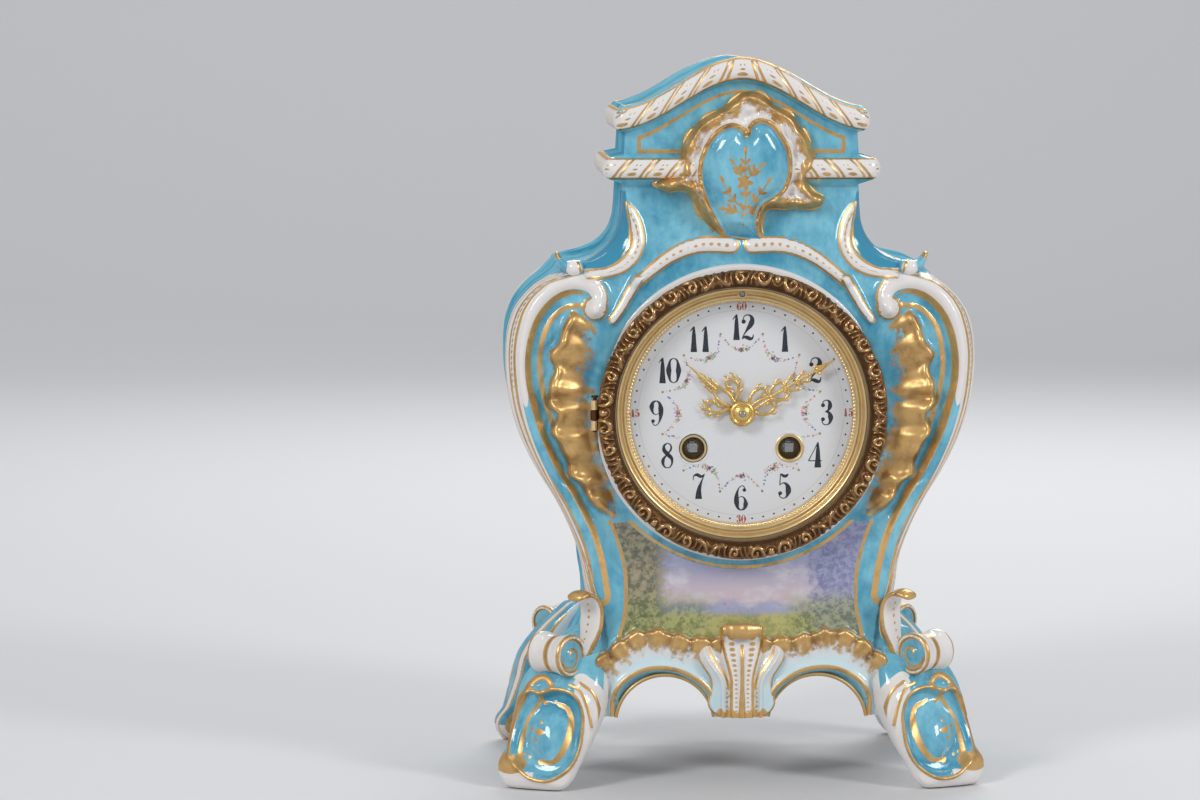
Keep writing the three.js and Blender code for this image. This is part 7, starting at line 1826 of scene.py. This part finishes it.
def marks(count, radius, size):
    """Mask of equally spaced dots: the distance along the ring is the share of a step times its length."""
    step = n.math("FRACT", n.math("ADD", n.math("MULTIPLY", dial_turn, float(count)), 0.5))
    along = n.math("MULTIPLY", n.math("SUBTRACT", step, 0.5), 2 * math.pi * radius / count)
    across = n.math("SUBTRACT", dial_r, radius)
    away = n.math("SQRT", n.math("ADD", n.math("POWER", along, 2.0), n.math("POWER", across, 2.0)))
    return n.remap(away, size + 0.06, size - 0.06)


def circle(radius, half):
    away = n.math("ABSOLUTE", n.math("SUBTRACT", dial_r, radius))
    return n.remap(away, half + 0.05, half - 0.05)


def quarters(half_angle):
    """1 near the four red numbers, where the ring of dots is left open."""
    step = n.math("FRACT", n.math("ADD", n.math("MULTIPLY", dial_turn, 4.0), 0.5))
    away = n.math("MULTIPLY", n.math("ABSOLUTE", n.math("SUBTRACT", step, 0.5)), 90.0)
    return n.remap(away, half_angle, half_angle - 0.3)


bluish = n.mix(n.noise(n.place(), 30.0, 2.0), (0.85, 0.865, 0.89, 1), (0.90, 0.905, 0.91, 1))
fives = marks(12, DOT_RADIUS, 0.5)
dots = n.math("MULTIPLY", marks(60, DOT_RADIUS, 0.37), n.math("SUBTRACT", 1.0, marks(12, DOT_RADIUS, 0.9)))
closed = quarters(3.6)
thin = n.math("MAXIMUM", circle(40.3, 0.05), circle(43.35, 0.05))
thin = n.math("MULTIPLY", thin, n.math("SUBTRACT", 1.0, closed))
ink = n.math("MAXIMUM", n.math("MULTIPLY", thin, 0.45), dots)
colour = n.mix(ink, bluish, (0.02, 0.022, 0.03, 1))
colour = n.mix(n.math("MULTIPLY", fives, n.math("SUBTRACT", 1.0, closed)), colour, (0.42, 0.26, 0.08, 1))
n.put(shader.inputs["Base Color"], colour)
n.put(shader.inputs["Normal"], n.relief(n.noise(n.place(), 55.0, 2.0), 0.08, 0.15))
make_piece("painted_dial", dial_flat, dial_quads, "case", enamel_paint, "enamel", "enamel_dial")
print("dial painted")

# %% Numerals
# Each stroke is (path, widths). A digit is 1 high; x is 0 in its middle.
DIGITS = {
    "0": [([(0, 0.985), (-0.14, 0.88), (-0.19, 0.5), (-0.14, 0.12), (0, 0.015)],
           (0.02, 0.08, 0.17, 0.08, 0.02)),
          ([(0, 0.985), (0.14, 0.88), (0.19, 0.5), (0.14, 0.12), (0, 0.015)],
           (0.02, 0.08, 0.17, 0.08, 0.02))],
    "1": [([(0.03, 1.0), (0.03, 0.66), (0.03, 0.33), (0.03, 0.0)], (0.05, 0.12, 0.15, 0.20)),
          ([(0.03, 0.97), (-0.04, 0.90), (-0.12, 0.80)], (0.05, 0.04, 0.02))],
    "2": [([(-0.15, 0.70), (-0.16, 0.74)], (0.13, 0.11)),
          ([(-0.19, 0.76), (-0.13, 0.93), (0.0, 0.985), (0.13, 0.93), (0.18, 0.78), (0.12, 0.60),
            (-0.02, 0.40), (-0.16, 0.18),
            (-0.22, 0.03)], (0.03, 0.03, 0.04, 0.12, 0.17, 0.13, 0.06, 0.03, 0.02)),
          ([(-0.22, 0.04), (-0.12, 0.12), (0.0, 0.09), (0.11, 0.05), (0.19, 0.08), (0.23, 0.22)],
           (0.02, 0.08, 0.12, 0.11, 0.05, 0.02))],
    "3": [([(-0.13, 0.77), (-0.14, 0.80)], (0.12, 0.10)),
          ([(-0.17, 0.80), (-0.11, 0.94), (0.0, 0.985), (0.11, 0.93), (0.14, 0.77), (0.08, 0.60),
            (-0.05, 0.53)],
           (0.03, 0.03, 0.03, 0.10, 0.14, 0.07, 0.02)),
          ([(-0.05, 0.53), (0.10, 0.49), (0.17, 0.28), (0.12, 0.08), (0, 0.015), (-0.13, 0.06),
            (-0.18, 0.20)],
           (0.02, 0.09, 0.17, 0.09, 0.03, 0.03, 0.03)), ([(-0.14, 0.22), (-0.13, 0.25)], (0.12, 0.10))],
    "4": [([(0.12, 1.0), (-0.05, 0.65), (-0.25, 0.27)], (0.03, 0.025, 0.03)),
          ([(-0.25, 0.27), (0.0, 0.27), (0.27, 0.27)], (0.03, 0.03, 0.03)),
          ([(0.12, 1.0), (0.12, 0.6), (0.12, 0.3), (0.12, 0.0)], (0.04, 0.12, 0.15, 0.21))],
    "5": [([(-0.12, 0.99), (0.0, 0.90), (0.09, 0.90), (0.19, 0.98)], (0.03, 0.09, 0.10, 0.02)),
          ([(-0.12, 0.99), (-0.14, 0.75), (-0.15, 0.53)], (0.03, 0.03, 0.03)),
          ([(-0.15, 0.53), (-0.04, 0.62), (0.10, 0.58), (0.18, 0.42), (0.18, 0.24), (0.11, 0.07), (0, 0.015),
            (-0.13, 0.06), (-0.18, 0.18)],
           (0.02, 0.03, 0.09, 0.16, 0.17, 0.08, 0.03, 0.03, 0.03)),
           ([(-0.14, 0.20), (-0.13, 0.23)], (0.12, 0.10))],
    "6": [([(0.12, 0.80), (0.13, 0.83)], (0.11, 0.10)),
          ([(0.16, 0.83), (0.11, 0.95), (0.02, 0.985), (-0.10, 0.88), (-0.17, 0.65), (-0.18, 0.35),
            (-0.12, 0.10), (0, 0.015)],
           (0.03, 0.03, 0.03, 0.08, 0.14, 0.16, 0.09, 0.03)),
          ([(0, 0.015), (0.13, 0.09), (0.18, 0.28), (0.13, 0.48), (0.02, 0.56), (-0.10, 0.50), (-0.16, 0.38)],
           (0.03, 0.09, 0.15, 0.08, 0.03, 0.02, 0.02))],
    "7": [([(-0.21, 0.74), (-0.20, 0.90), (-0.12, 0.96)], (0.02, 0.03, 0.06)),
          ([(-0.17, 0.93), (-0.06, 0.96), (0.05, 0.90), (0.14, 0.90), (0.23, 0.99)],
           (0.04, 0.10, 0.10, 0.07, 0.02)),
          ([(0.23, 0.99), (0.10, 0.66), (0.02, 0.40), (0.0, 0.20), (0.0, 0.0)],
           (0.02, 0.04, 0.10, 0.16, 0.21))],
    "8": [([(0, 0.985), (-0.13, 0.90), (-0.14, 0.72), (0.0, 0.55), (0.16, 0.38), (0.17, 0.18), (0.09, 0.04),
            (0, 0.015)],
           (0.03, 0.07, 0.12, 0.13, 0.12, 0.07, 0.04, 0.03)),
          ([(0, 0.985), (0.12, 0.91), (0.13, 0.74), (0.0, 0.56), (-0.16, 0.36), (-0.18, 0.18), (-0.10, 0.04),
            (0, 0.015)],
           (0.03, 0.05, 0.06, 0.03, 0.07, 0.11, 0.06, 0.03))],
}
DIGITS["9"] = [([(-x, 1 - z) for x, z in path], widths) for path, widths in DIGITS["6"]]


# A stroke that is nowhere thinner than this share of the digit's height is a round spot.
SPOT_WIDTH = 0.09


def brush_stroke(path, widths, scale, at, lift):
    """A flat ribbon of three rows of points: on the path, and half the width to each side of it. A
    short fat stroke becomes a round spot instead: its width is a half circle's, sqrt(1 - t^2)."""
    count = 26
    line = smooth_path(path, count)
    share = np.linspace(0, 1, count)
    heavier = 1.28 if scale > 5 else 1.7
    wide = np.interp(share, np.linspace(0, 1, len(widths)), widths) * heavier
    if min(widths) > SPOT_WIDTH:
        wide = np.maximum(wide[0], wide[-1]) * np.sqrt(np.clip(1 - (share * 2 - 1) ** 2, 0.0004, 1))
        middle = line.mean(axis=0)
        heading = (line[-1] - line[0]) / np.linalg.norm(line[-1] - line[0])
        line = middle + heading * (share[:, None] * 2 - 1) * max(widths) * 0.5 * heavier
    heading = np.gradient(line, axis=0)
    heading /= np.linalg.norm(heading, axis=1)[:, None]
    side = np.stack([-heading[:, 1], heading[:, 0]], axis=1)
    rows = [line + side * wide[:, None] * k for k in (0.5, 0.0, -0.5)]
    flat = np.stack(rows) * scale + np.asarray(at)
    height = dial_height(np.hypot(flat[..., 0], flat[..., 1] - DIAL_Z)) - lift
    return np.stack([flat[..., 0], height, flat[..., 1]], axis=-1)


def number_strokes(text, middle, size, step):
    """All strokes of a number, its digits side by side about a middle point."""
    grids = []
    for k, letter in enumerate(text):
        narrow = 0.80 if text in ("10", "11", "12") else 1.0
        shift = (k - (len(text) - 1) / 2) * step * size * narrow
        for path, widths in DIGITS[letter]:
            grids.append((brush_stroke(path, widths, size, (middle[0] + shift, middle[1] - size / 2), 0.04),
                          False, False))
    return grids


black_grids = []
for hour in range(1, 13):
    angle = hour * math.pi / 6
    radius = 33.6 if hour in (12, 6) else 33.4
    middle = (radius * math.sin(angle), DIAL_Z + radius * math.cos(angle))
    black_grids += number_strokes(str(hour), middle, 10.0, 0.58)
red_grids = []
for text, angle in (("60", 0), ("15", 90), ("30", 180), ("45", 270)):
    turn = math.radians(angle)
    red_grids += number_strokes(text, (DOT_RADIUS * math.sin(turn), DIAL_Z + DOT_RADIUS * math.cos(turn)),
                                3.2, 0.62)


def facing_front(points, quads):
    """Turns each quad so that it faces the viewer, who is at minus Y."""
    a, b, c, d = (points[quads[:, k]] for k in range(4))
    normal = np.cross(c - a, d - b)
    return np.where((normal[:, 1] > 0)[:, None], quads[:, ::-1], quads)


def paint_piece(name, grids, material):
    points, quads = join_grids(grids)
    make_piece(name, points, facing_front(points, quads), "case", material, "enamel")


numeral_black, n, shader = new_material("numeral_black", Roughness=0.3)
n.put(shader.inputs["Base Color"], n.mix(n.noise(n.place(), 900.0, 2.0), (0.012, 0.014, 0.022, 1),
                                         (0.045, 0.055, 0.075, 1)))
numeral_red, n, shader = new_material("numeral_red", Roughness=0.3)
n.put(shader.inputs["Base Color"], n.mix(n.noise(n.place(), 900.0, 2.0), (0.46, 0.07, 0.05, 1),
                                         (0.58, 0.16, 0.10, 1)))
paint_piece("hour_numerals", black_grids, numeral_black)
paint_piece("minute_numbers", red_grids, numeral_red)
print("numerals:", len(black_grids) + len(red_grids), "strokes")


# %% Festoons of flowers
def petals(centres, radii, tint, lift):
    """One small disc per flower or leaf, all at once: two rings of points, the inner one tiny."""
    angle = np.linspace(0, 2 * np.pi, 9)[:-1]
    ring = np.stack([np.cos(angle), np.sin(angle)], axis=1)
    shares = np.array([0.02, 1.0])[None, :, None, None]
    flat = centres[:, None, None, :] + radii[:, None, None, None] * shares * ring[None, None, :, :]
    height = dial_height(np.hypot(flat[..., 0], flat[..., 1] - DIAL_Z)) - lift
    points = np.stack([flat[..., 0], height, flat[..., 1]], axis=-1).reshape(-1, 3)
    start = np.arange(len(centres))[:, None, None] * 16
    quads = (start + grid_quads(2, 8, around=True)[None]).reshape(-1, 4)
    return points, facing_front(points, quads), np.repeat(tint, 16)


draw = np.random.default_rng(7)
FESTOON_RADIUS = 24.9
thick = np.exp(-((np.linspace(0, 1, 31) - 0.5) / 0.19) ** 2)
spots = []


def on_dial(radius, degrees):
    """A point on the dial from its distance to the centre and its angle clockwise from 12."""
    return radius * np.array([np.sin(np.radians(degrees)), np.cos(np.radians(degrees))])


for hour in range(12):
    turns = (-15, -13, -10.5, -7, -3.5, 0, 3.5, 7, 10.5, 13, 15)
    curve = smooth_path([on_dial(FESTOON_RADIUS + 7.1 * (abs(turn) / 15) ** 2.6, hour * 30 + turn)
                         for turn in turns], 31)
    for copy in range(7):
        scatter = draw.normal(0, 1, (31, 2)) * (0.12 + 0.62 * thick)[:, None]
        used = draw.uniform(0, 1, 31) < (0.35 + 0.65 * thick) * (0.95 if copy < 2 else 0.75 * thick)
        radii = draw.uniform(0.14, 0.26, 31) + 0.12 * thick
        tints = draw.choice([0, 0, 1, 1, 3, 4], 31)
        spots.append(((curve + scatter)[used], radii[used], tints[used]))
    for spot in draw.normal(0, 0.42, (6, 2)) + on_dial(FESTOON_RADIUS, hour * 30):
        spots.append((spot[None], [0.42], [1]))
    for share, tint in ((0.14, 2), (0.24, 1), (0.80, 3), (0.88, 3)):
        spots.append((curve[int(share * 30)][None] + draw.normal(0, 0.2, (1, 2)), [0.38], [tint]))
    spots.append((on_dial(32.0, hour * 30 - 15)[None], [0.50], [5]))
centres, radii, tints = (np.concatenate(values) for values in zip(*spots))
flower_points, flower_quads, flower_tint = petals(centres + np.array([0, DIAL_Z]), radii, tints, 0.05)
for hole_x in (-WINDING_X, WINDING_X):
    away = np.hypot(flower_points[:, 0] - hole_x, flower_points[:, 2] - WINDING_Z)
    flower_quads = flower_quads[(away[flower_quads] > 6.3).all(axis=1)]
flower_paint, n, shader = new_material("festoon_colours", Roughness=0.25)
ramp = n.tree.nodes.new("ShaderNodeValToRGB")
ramp.color_ramp.interpolation = "CONSTANT"
flower_colours = [(0.40, 0.60, 0.30, 1), (0.92, 0.36, 0.48, 1), (0.80, 0.14, 0.20, 1), (0.18, 0.28, 0.78, 1),
                  (0.90, 0.78, 0.30, 1), (0.50, 0.33, 0.10, 1)]
for k, tone in enumerate(flower_colours):
    element = ramp.color_ramp.elements[k] if k < 2 else ramp.color_ramp.elements.new(k / 6)
    element.position = k / 6
    element.color = tone
n.put(ramp.inputs[0], n.math("DIVIDE", n.math("ADD", n.field("tint"), 0.5), 6.0))
n.put(shader.inputs["Base Color"], ramp.outputs[0])
make_piece("festoons", flower_points, flower_quads, "case", flower_paint, "enamel", tint=flower_tint)
print("festoons:", len(spots), "groups")

# %% [markdown]
# ## Rear door
# The rear door is a shallow pressed dome with a rolled rim. Six round holes let the sound of the
# bell out. It is a polar grid with the points near a hole moved onto the hole's edge.
# %% Pierced dome of the rear door
HOLE_CIRCLE = 20.0
HOLE_RADIUS = 3.6
HOLE_TURNS = np.radians(np.arange(30, 390, 60))
door_outer = smooth_path([
    (0.03, 56.55), (8, 56.5), (16, 56.2), (24, 55.7), (32, 55.0), (38, 54.3), (42.6, 53.6), (44.6, 53.1),
    (46.0, 53.2),
    (47.6, 53.9), (49.2, 53.8), (50.6, 53.0), (51.0, 51.8), (51.0, 50.4), (50.7, 49.7), (49.8, 49.65),
    (47.4, 49.65),
], 120)
door_inner = smooth_path([
    (47.4, 49.65), (47.0, 50.4), (46.6, 51.6), (44.6, 51.9), (42.6, 52.4), (38, 53.1), (32, 53.8), (24, 54.5),
    (16, 55.0), (8, 55.3), (0.03, 55.35),
], 90)


def pierced(profile, columns=540):
    """The profile (radius, y) carried round the dial's axis. Points within 0.5 mm of a hole's circle
    move onto it. Also returns how far each point is from the nearest hole's edge, in mm."""
    angle = np.linspace(0, 2 * np.pi, columns, endpoint=False)[None, :]
    r = profile[:, 0][:, None]
    x = r * np.cos(angle)
    z = r * np.sin(angle)
    edge = np.full(x.shape, 9.0)
    for turn in HOLE_TURNS:
        hole_x, hole_z = HOLE_CIRCLE * np.cos(turn), HOLE_CIRCLE * np.sin(turn)
        away = np.hypot(x - hole_x, z - hole_z)
        pull = np.where(np.abs(away - HOLE_RADIUS) < 0.5, HOLE_RADIUS / np.maximum(away, 0.1), 1.0)
        x = hole_x + (x - hole_x) * pull
        z = hole_z + (z - hole_z) * pull
        edge = np.minimum(edge, np.hypot(x - hole_x, z - hole_z) - HOLE_RADIUS)
    y = profile[:, 1][:, None] - 0.35 * bump(edge, 0.9)
    return np.stack([x, y, DIAL_Z + z], axis=-1), edge


door_parts = []
for profile, centre_y in ((door_outer, 30.0), (door_inner, 90.0)):
    grid, edge = pierced(profile)
    flat, quads = one_grid(grid, (0, centre_y, DIAL_Z))
    door_parts.append((flat, quads[(edge.ravel()[quads] > -0.02).all(axis=1)]))
turn = np.linspace(0, 2 * np.pi, 48, endpoint=False)
ring = np.stack([HOLE_RADIUS * np.cos(turn), np.zeros(48), HOLE_RADIUS * np.sin(turn)], axis=1)
for hole_turn in HOLE_TURNS:
    middle = np.array([HOLE_CIRCLE * np.cos(hole_turn), 55.5, DIAL_Z + HOLE_CIRCLE * np.sin(hole_turn)])
    wall = np.stack([middle + ring + np.array([0, level, 0]) for level in (-0.85, 0.1)])
    flat, quads = one_grid(wall, middle)
    door_parts.append((flat, quads[:, ::-1]))
starts = np.cumsum([0] + [len(flat) for flat, _ in door_parts[:-1]])
door_quads = np.concatenate([quads + start for (_, quads), start in zip(door_parts, starts)])
make_piece("rear_door_dome", np.concatenate([flat for flat, _ in door_parts]), door_quads, "back_door",
           turned_brass, "brass", "rear_door")
hinge_half("rear_door_knuckle", 52.7, 51.3, (49.5, 50.0, 51.9), "back_door", turned_brass, "brass",
           "rear_door")
print("rear door:", len(door_quads) * 2, "triangles")

# %% [markdown]
# ## Hands
# The hands are pierced and gilt: open C scrolls in mirrored pairs, small leaves on their backs, and
# a pointed tip. Each scroll is a tapered wire, flattened towards the dial.
# %% Pierced hands
hour_scrolls = [
    ([(4.0, 1.0), (5.4, 3.0), (6.6, 5.4), (8.8, 7.4), (11.4, 7.4), (12.9, 5.8), (12.3, 4.2), (10.8, 4.0),
      (10.0, 5.0)], 0.60, 0.42),
    ([(4.6, 0.9), (7.4, 1.9), (10.4, 2.3), (12.9, 1.6), (14.2, 0.4)], 0.62, 0.45),
    ([(7.2, 1.9), (8.1, 3.6), (9.8, 3.6), (11.6, 2.2)], 0.42, 0.35),
    ([(6.4, 5.0), (6.2, 7.2), (7.6, 8.9)], 0.50, 0.12),
    ([(8.4, 7.2), (9.4, 9.4), (11.6, 9.9)], 0.55, 0.12),
    ([(10.8, 7.5), (12.6, 9.0), (14.6, 8.4)], 0.60, 0.12),
    ([(12.9, 6.0), (14.0, 6.6), (15.2, 5.9)], 0.45, 0.10),
    ([(13.6, 0.6), (15.0, 1.6), (16.6, 1.5), (17.6, 0.3)], 0.45, 0.35),
    ([(16.0, 0.9), (17.6, 1.9), (19.2, 1.5)], 0.45, 0.10),
    ([(18.6, 0.4), (20.2, 1.3), (21.8, 1.0)], 0.42, 0.10),
    ([(20.6, 0.3), (22.0, 0.9), (23.2, 0.7)], 0.34, 0.08),
]
minute_scrolls = [
    ([(4.2, 1.2), (5.6, 3.4), (8.2, 5.0), (11.2, 4.9), (12.6, 3.4), (11.9, 1.9), (10.4, 1.8), (9.8, 2.8)],
     0.58, 0.40),
    ([(4.6, 0.9), (7.4, 0.9), (10.4, 0.8), (13.2, 0.6)], 0.50, 0.42),
    ([(9.4, 4.9), (10.8, 6.4), (12.8, 6.3)], 0.52, 0.12),
    ([(12.4, 3.4), (13.8, 4.3), (15.2, 3.7)], 0.48, 0.12),
    ([(12.6, 0.6), (14.6, 2.3), (17.2, 3.3), (19.4, 2.7), (19.5, 1.3), (18.2, 1.1)], 0.55, 0.38),
    ([(16.4, 3.1), (18.0, 4.4), (20.0, 4.1)], 0.50, 0.12),
    ([(19.0, 0.5), (21.2, 1.9), (23.6, 2.3), (25.0, 1.3), (24.3, 0.7)], 0.48, 0.34),
    ([(22.2, 2.2), (23.8, 3.2), (25.6, 2.7)], 0.44, 0.10),
    ([(24.6, 0.4), (26.8, 1.4), (28.8, 1.5), (29.8, 0.6)], 0.44, 0.28),
    ([(27.4, 1.5), (28.8, 2.3), (30.2, 1.8)], 0.38, 0.10),
    ([(33.2, 0.2), (34.0, 1.7), (35.2, 1.1), (37.4, 0.6)], 0.45, 0.16),
]
hour_spines = [([(13.0, 0), (18, 0), (24, 0), (31, 0)], 0.62, 0.10)]
minute_spines = [([(12.0, 0), (18, 0), (26, 0), (34, 0)], 0.48, 0.40),
                 ([(33.4, 0), (35.6, 0), (38.5, 0), (42, 0)], 1.05, 0.10)]


HUB_RADIUS = 4.9
WIRE_SCALE = 1.25
FLATTENED = 0.55


def hand_grids(scrolls, spines, clockwise, level, hub):
    """All wires of one hand, laid out along its own length, then turned to its place on the dial."""
    turn = math.radians(clockwise)
    ahead = np.array([math.sin(turn), math.cos(turn)])
    left = np.array([-math.cos(turn), math.sin(turn)])
    grids = []
    pairs = [stroke + (s,) for stroke in scrolls for s in (1, -1)] + [stroke + (1,) for stroke in spines]
    for path, start_r, end_r, s in pairs:
        line = smooth_path(path, 30)
        share = np.linspace(0, 1, 30)
        radius = WIRE_SCALE * (start_r + (end_r - start_r) * share) * closing(share, 0.05)
        flat = line[:, :1] * ahead + s * line[:, 1:] * left
        spine = np.stack([flat[:, 0], np.full(30, level), DIAL_Z + flat[:, 1]], axis=1)
        tube = wire(spine, radius, 9)
        tube[..., 1] = level + (tube[..., 1] - level) * FLATTENED
        grids.append(tube)
    low, high = level - 0.28, level + 0.28
    ring_section = np.array([(hub - 0.7, low), (hub, level), (hub - 0.7, high), (2.2, high), (2.2, low)])
    grids.append((turned(ring_section, 72), True, True))
    return grids


for name, scrolls, spines, clockwise, level, body, node in (
    ("hour_hand_pierced", hour_scrolls, hour_spines, -48.0, -47.2, "hour_train", "hour_hand"),
    ("minute_hand_pierced", minute_scrolls, minute_spines, 60.0, -48.8, "minute_train", "minute_hand"),
):
    points, quads = join_grids(hand_grids(scrolls, spines, clockwise, level, HUB_RADIUS))
    make_piece(name, points, quads, body, hand_gilt, "gilt", node)
    print(name, len(quads) * 2, "triangles")

# %% Collet and arbor
collet_profile = smooth_path([
    (1.0, -49.35), (3.0, -49.35), (4.7, -49.3), (5.05, -49.7), (4.8, -50.3), (4.2, -50.7), (3.7, -50.6),
    (3.35, -50.3), (3.0, -50.6),
    (2.2, -51.1), (1.3, -51.35), (0.9, -51.3),
], 60)
collet = one_grid(turned(collet_profile, 96), (0, 0.0, DIAL_Z))
make_piece("domed_collet", *collet, "minute_train", hand_gilt, "gilt", "hand_collet")
pin_profile = np.array([(1.25, -50.9), (1.2, -51.75), (0.9, -52.0), (0.4, -52.1), (0.01, -52.11)])
pin = one_grid(turned(pin_profile, 40), (0, -51.0, DIAL_Z))
make_piece("arbor_end", *pin, "minute_train", polished_steel, "steel")
print("collet on")


# %% Dark wells behind the winding holes: painted shade
# The tubes and their near-black brass stand in for the shade inside the winding holes: painted shade.
well_profile = np.array([(5.62, -45.5), (5.5, -43.6), (5.45, -38.6), (5.3, -38.2), (2.6, -38.15)])
wells = [turned(well_profile, 48, WINDING_Z, hole_x) for hole_x in (-WINDING_X, WINDING_X)]
points, quads = join_grids(wells, lambda p: np.array([p[..., 0].mean(), -50.0, WINDING_Z]))
painted_shade_brass = brushed_metal("painted_shade_brass", (0.16, 0.12, 0.07, 1), (0.05, 0.04, 0.03, 1), 0.35, 0.55)
make_piece("winding_hole_shade", points, quads[:, ::-1], "case", painted_shade_brass, "brass")
grommet_profile = smooth_path([(4.7, -44.6), (4.75, -45.6), (5.2, -45.95), (5.75, -45.75), (5.8, -45.3)], 18)
grommet = one_grid(turned(grommet_profile, 56, WINDING_Z, WINDING_X), (WINDING_X, -40.0, WINDING_Z))
make_piece("right_grommet", *grommet, "case", gilt_turned, "brass")
print("wells and grommet")

# %% [markdown]
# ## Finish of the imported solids
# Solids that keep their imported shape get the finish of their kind. Turned parts have rings about
# their own axis, so each group of axes has its own material.
# %% Finish by part
bob_brass = turned_metal("turned_bob_brass", BRASS, BRASS_DULL, centre=(0.0, 0.081))
strap_steel = brushed_metal("strap_steel", (0.34, 0.34, 0.35, 1), (0.14, 0.10, 0.07, 1), 0.3, 0.5, 1)
finishes = {
    painted_porcelain: ["porcelain_case"],
    enamel_paint: ["enamel_dial"],
    hand_gilt: ["minute_hand", "hour_hand", "hand_collet"],
    gilt_turned: ["front_ring", "left_grommet", "right_grommet", "rear_ring", "dial_surround"],
    embossed_gilt: ["bezel_hinge_pin", "bezel_rim"],
    clear_glass: ["bezel_glass"],
    turned_brass: ["dial_pan", "rear_door", "rear_door_button", "rear_hinge_pin", "rating_nut", "bell_post",
                   "going_barrel", "strike_barrel"],
    plate_brass: ["front_plate", "back_plate", "suspension_cock", "pillar_1", "pillar_2", "pillar_3",
                  "pillar_4"],
    wheel_brass: ["centre_wheel", "third_wheel", "intermediate_wheel", "escape_wheel", "hour_wheel",
                  "minute_wheel", "strike_second_wheel",
                  "count_wheel", "pin_wheel", "strike_fly"],
    polished_steel: ["cannon_pinion", "going_winding_arbor", "strike_winding_arbor", "regulator_arbor",
                     "pallet_anchor", "hammer",
                     "suspension_spring", "pendulum_rod", "bell_nut"],
    blued_steel: ["pillar_nut_1", "pillar_nut_2", "pillar_nut_3", "pillar_nut_4", "left_strap_screw",
                  "right_strap_screw"],
    strap_steel: ["left_case_strap", "right_case_strap"],
    bell_metal: ["bell"],
    bob_brass: ["pendulum_bob"],
}
dressed = 0
for finish, names in finishes.items():
    for name in names:
        solid = bpy.data.objects[name]
        solid.data.materials.clear()
        solid.data.materials.append(finish)
        dressed += 1
print("dressed solids:", dressed, "of", len(frame["nodes"]))
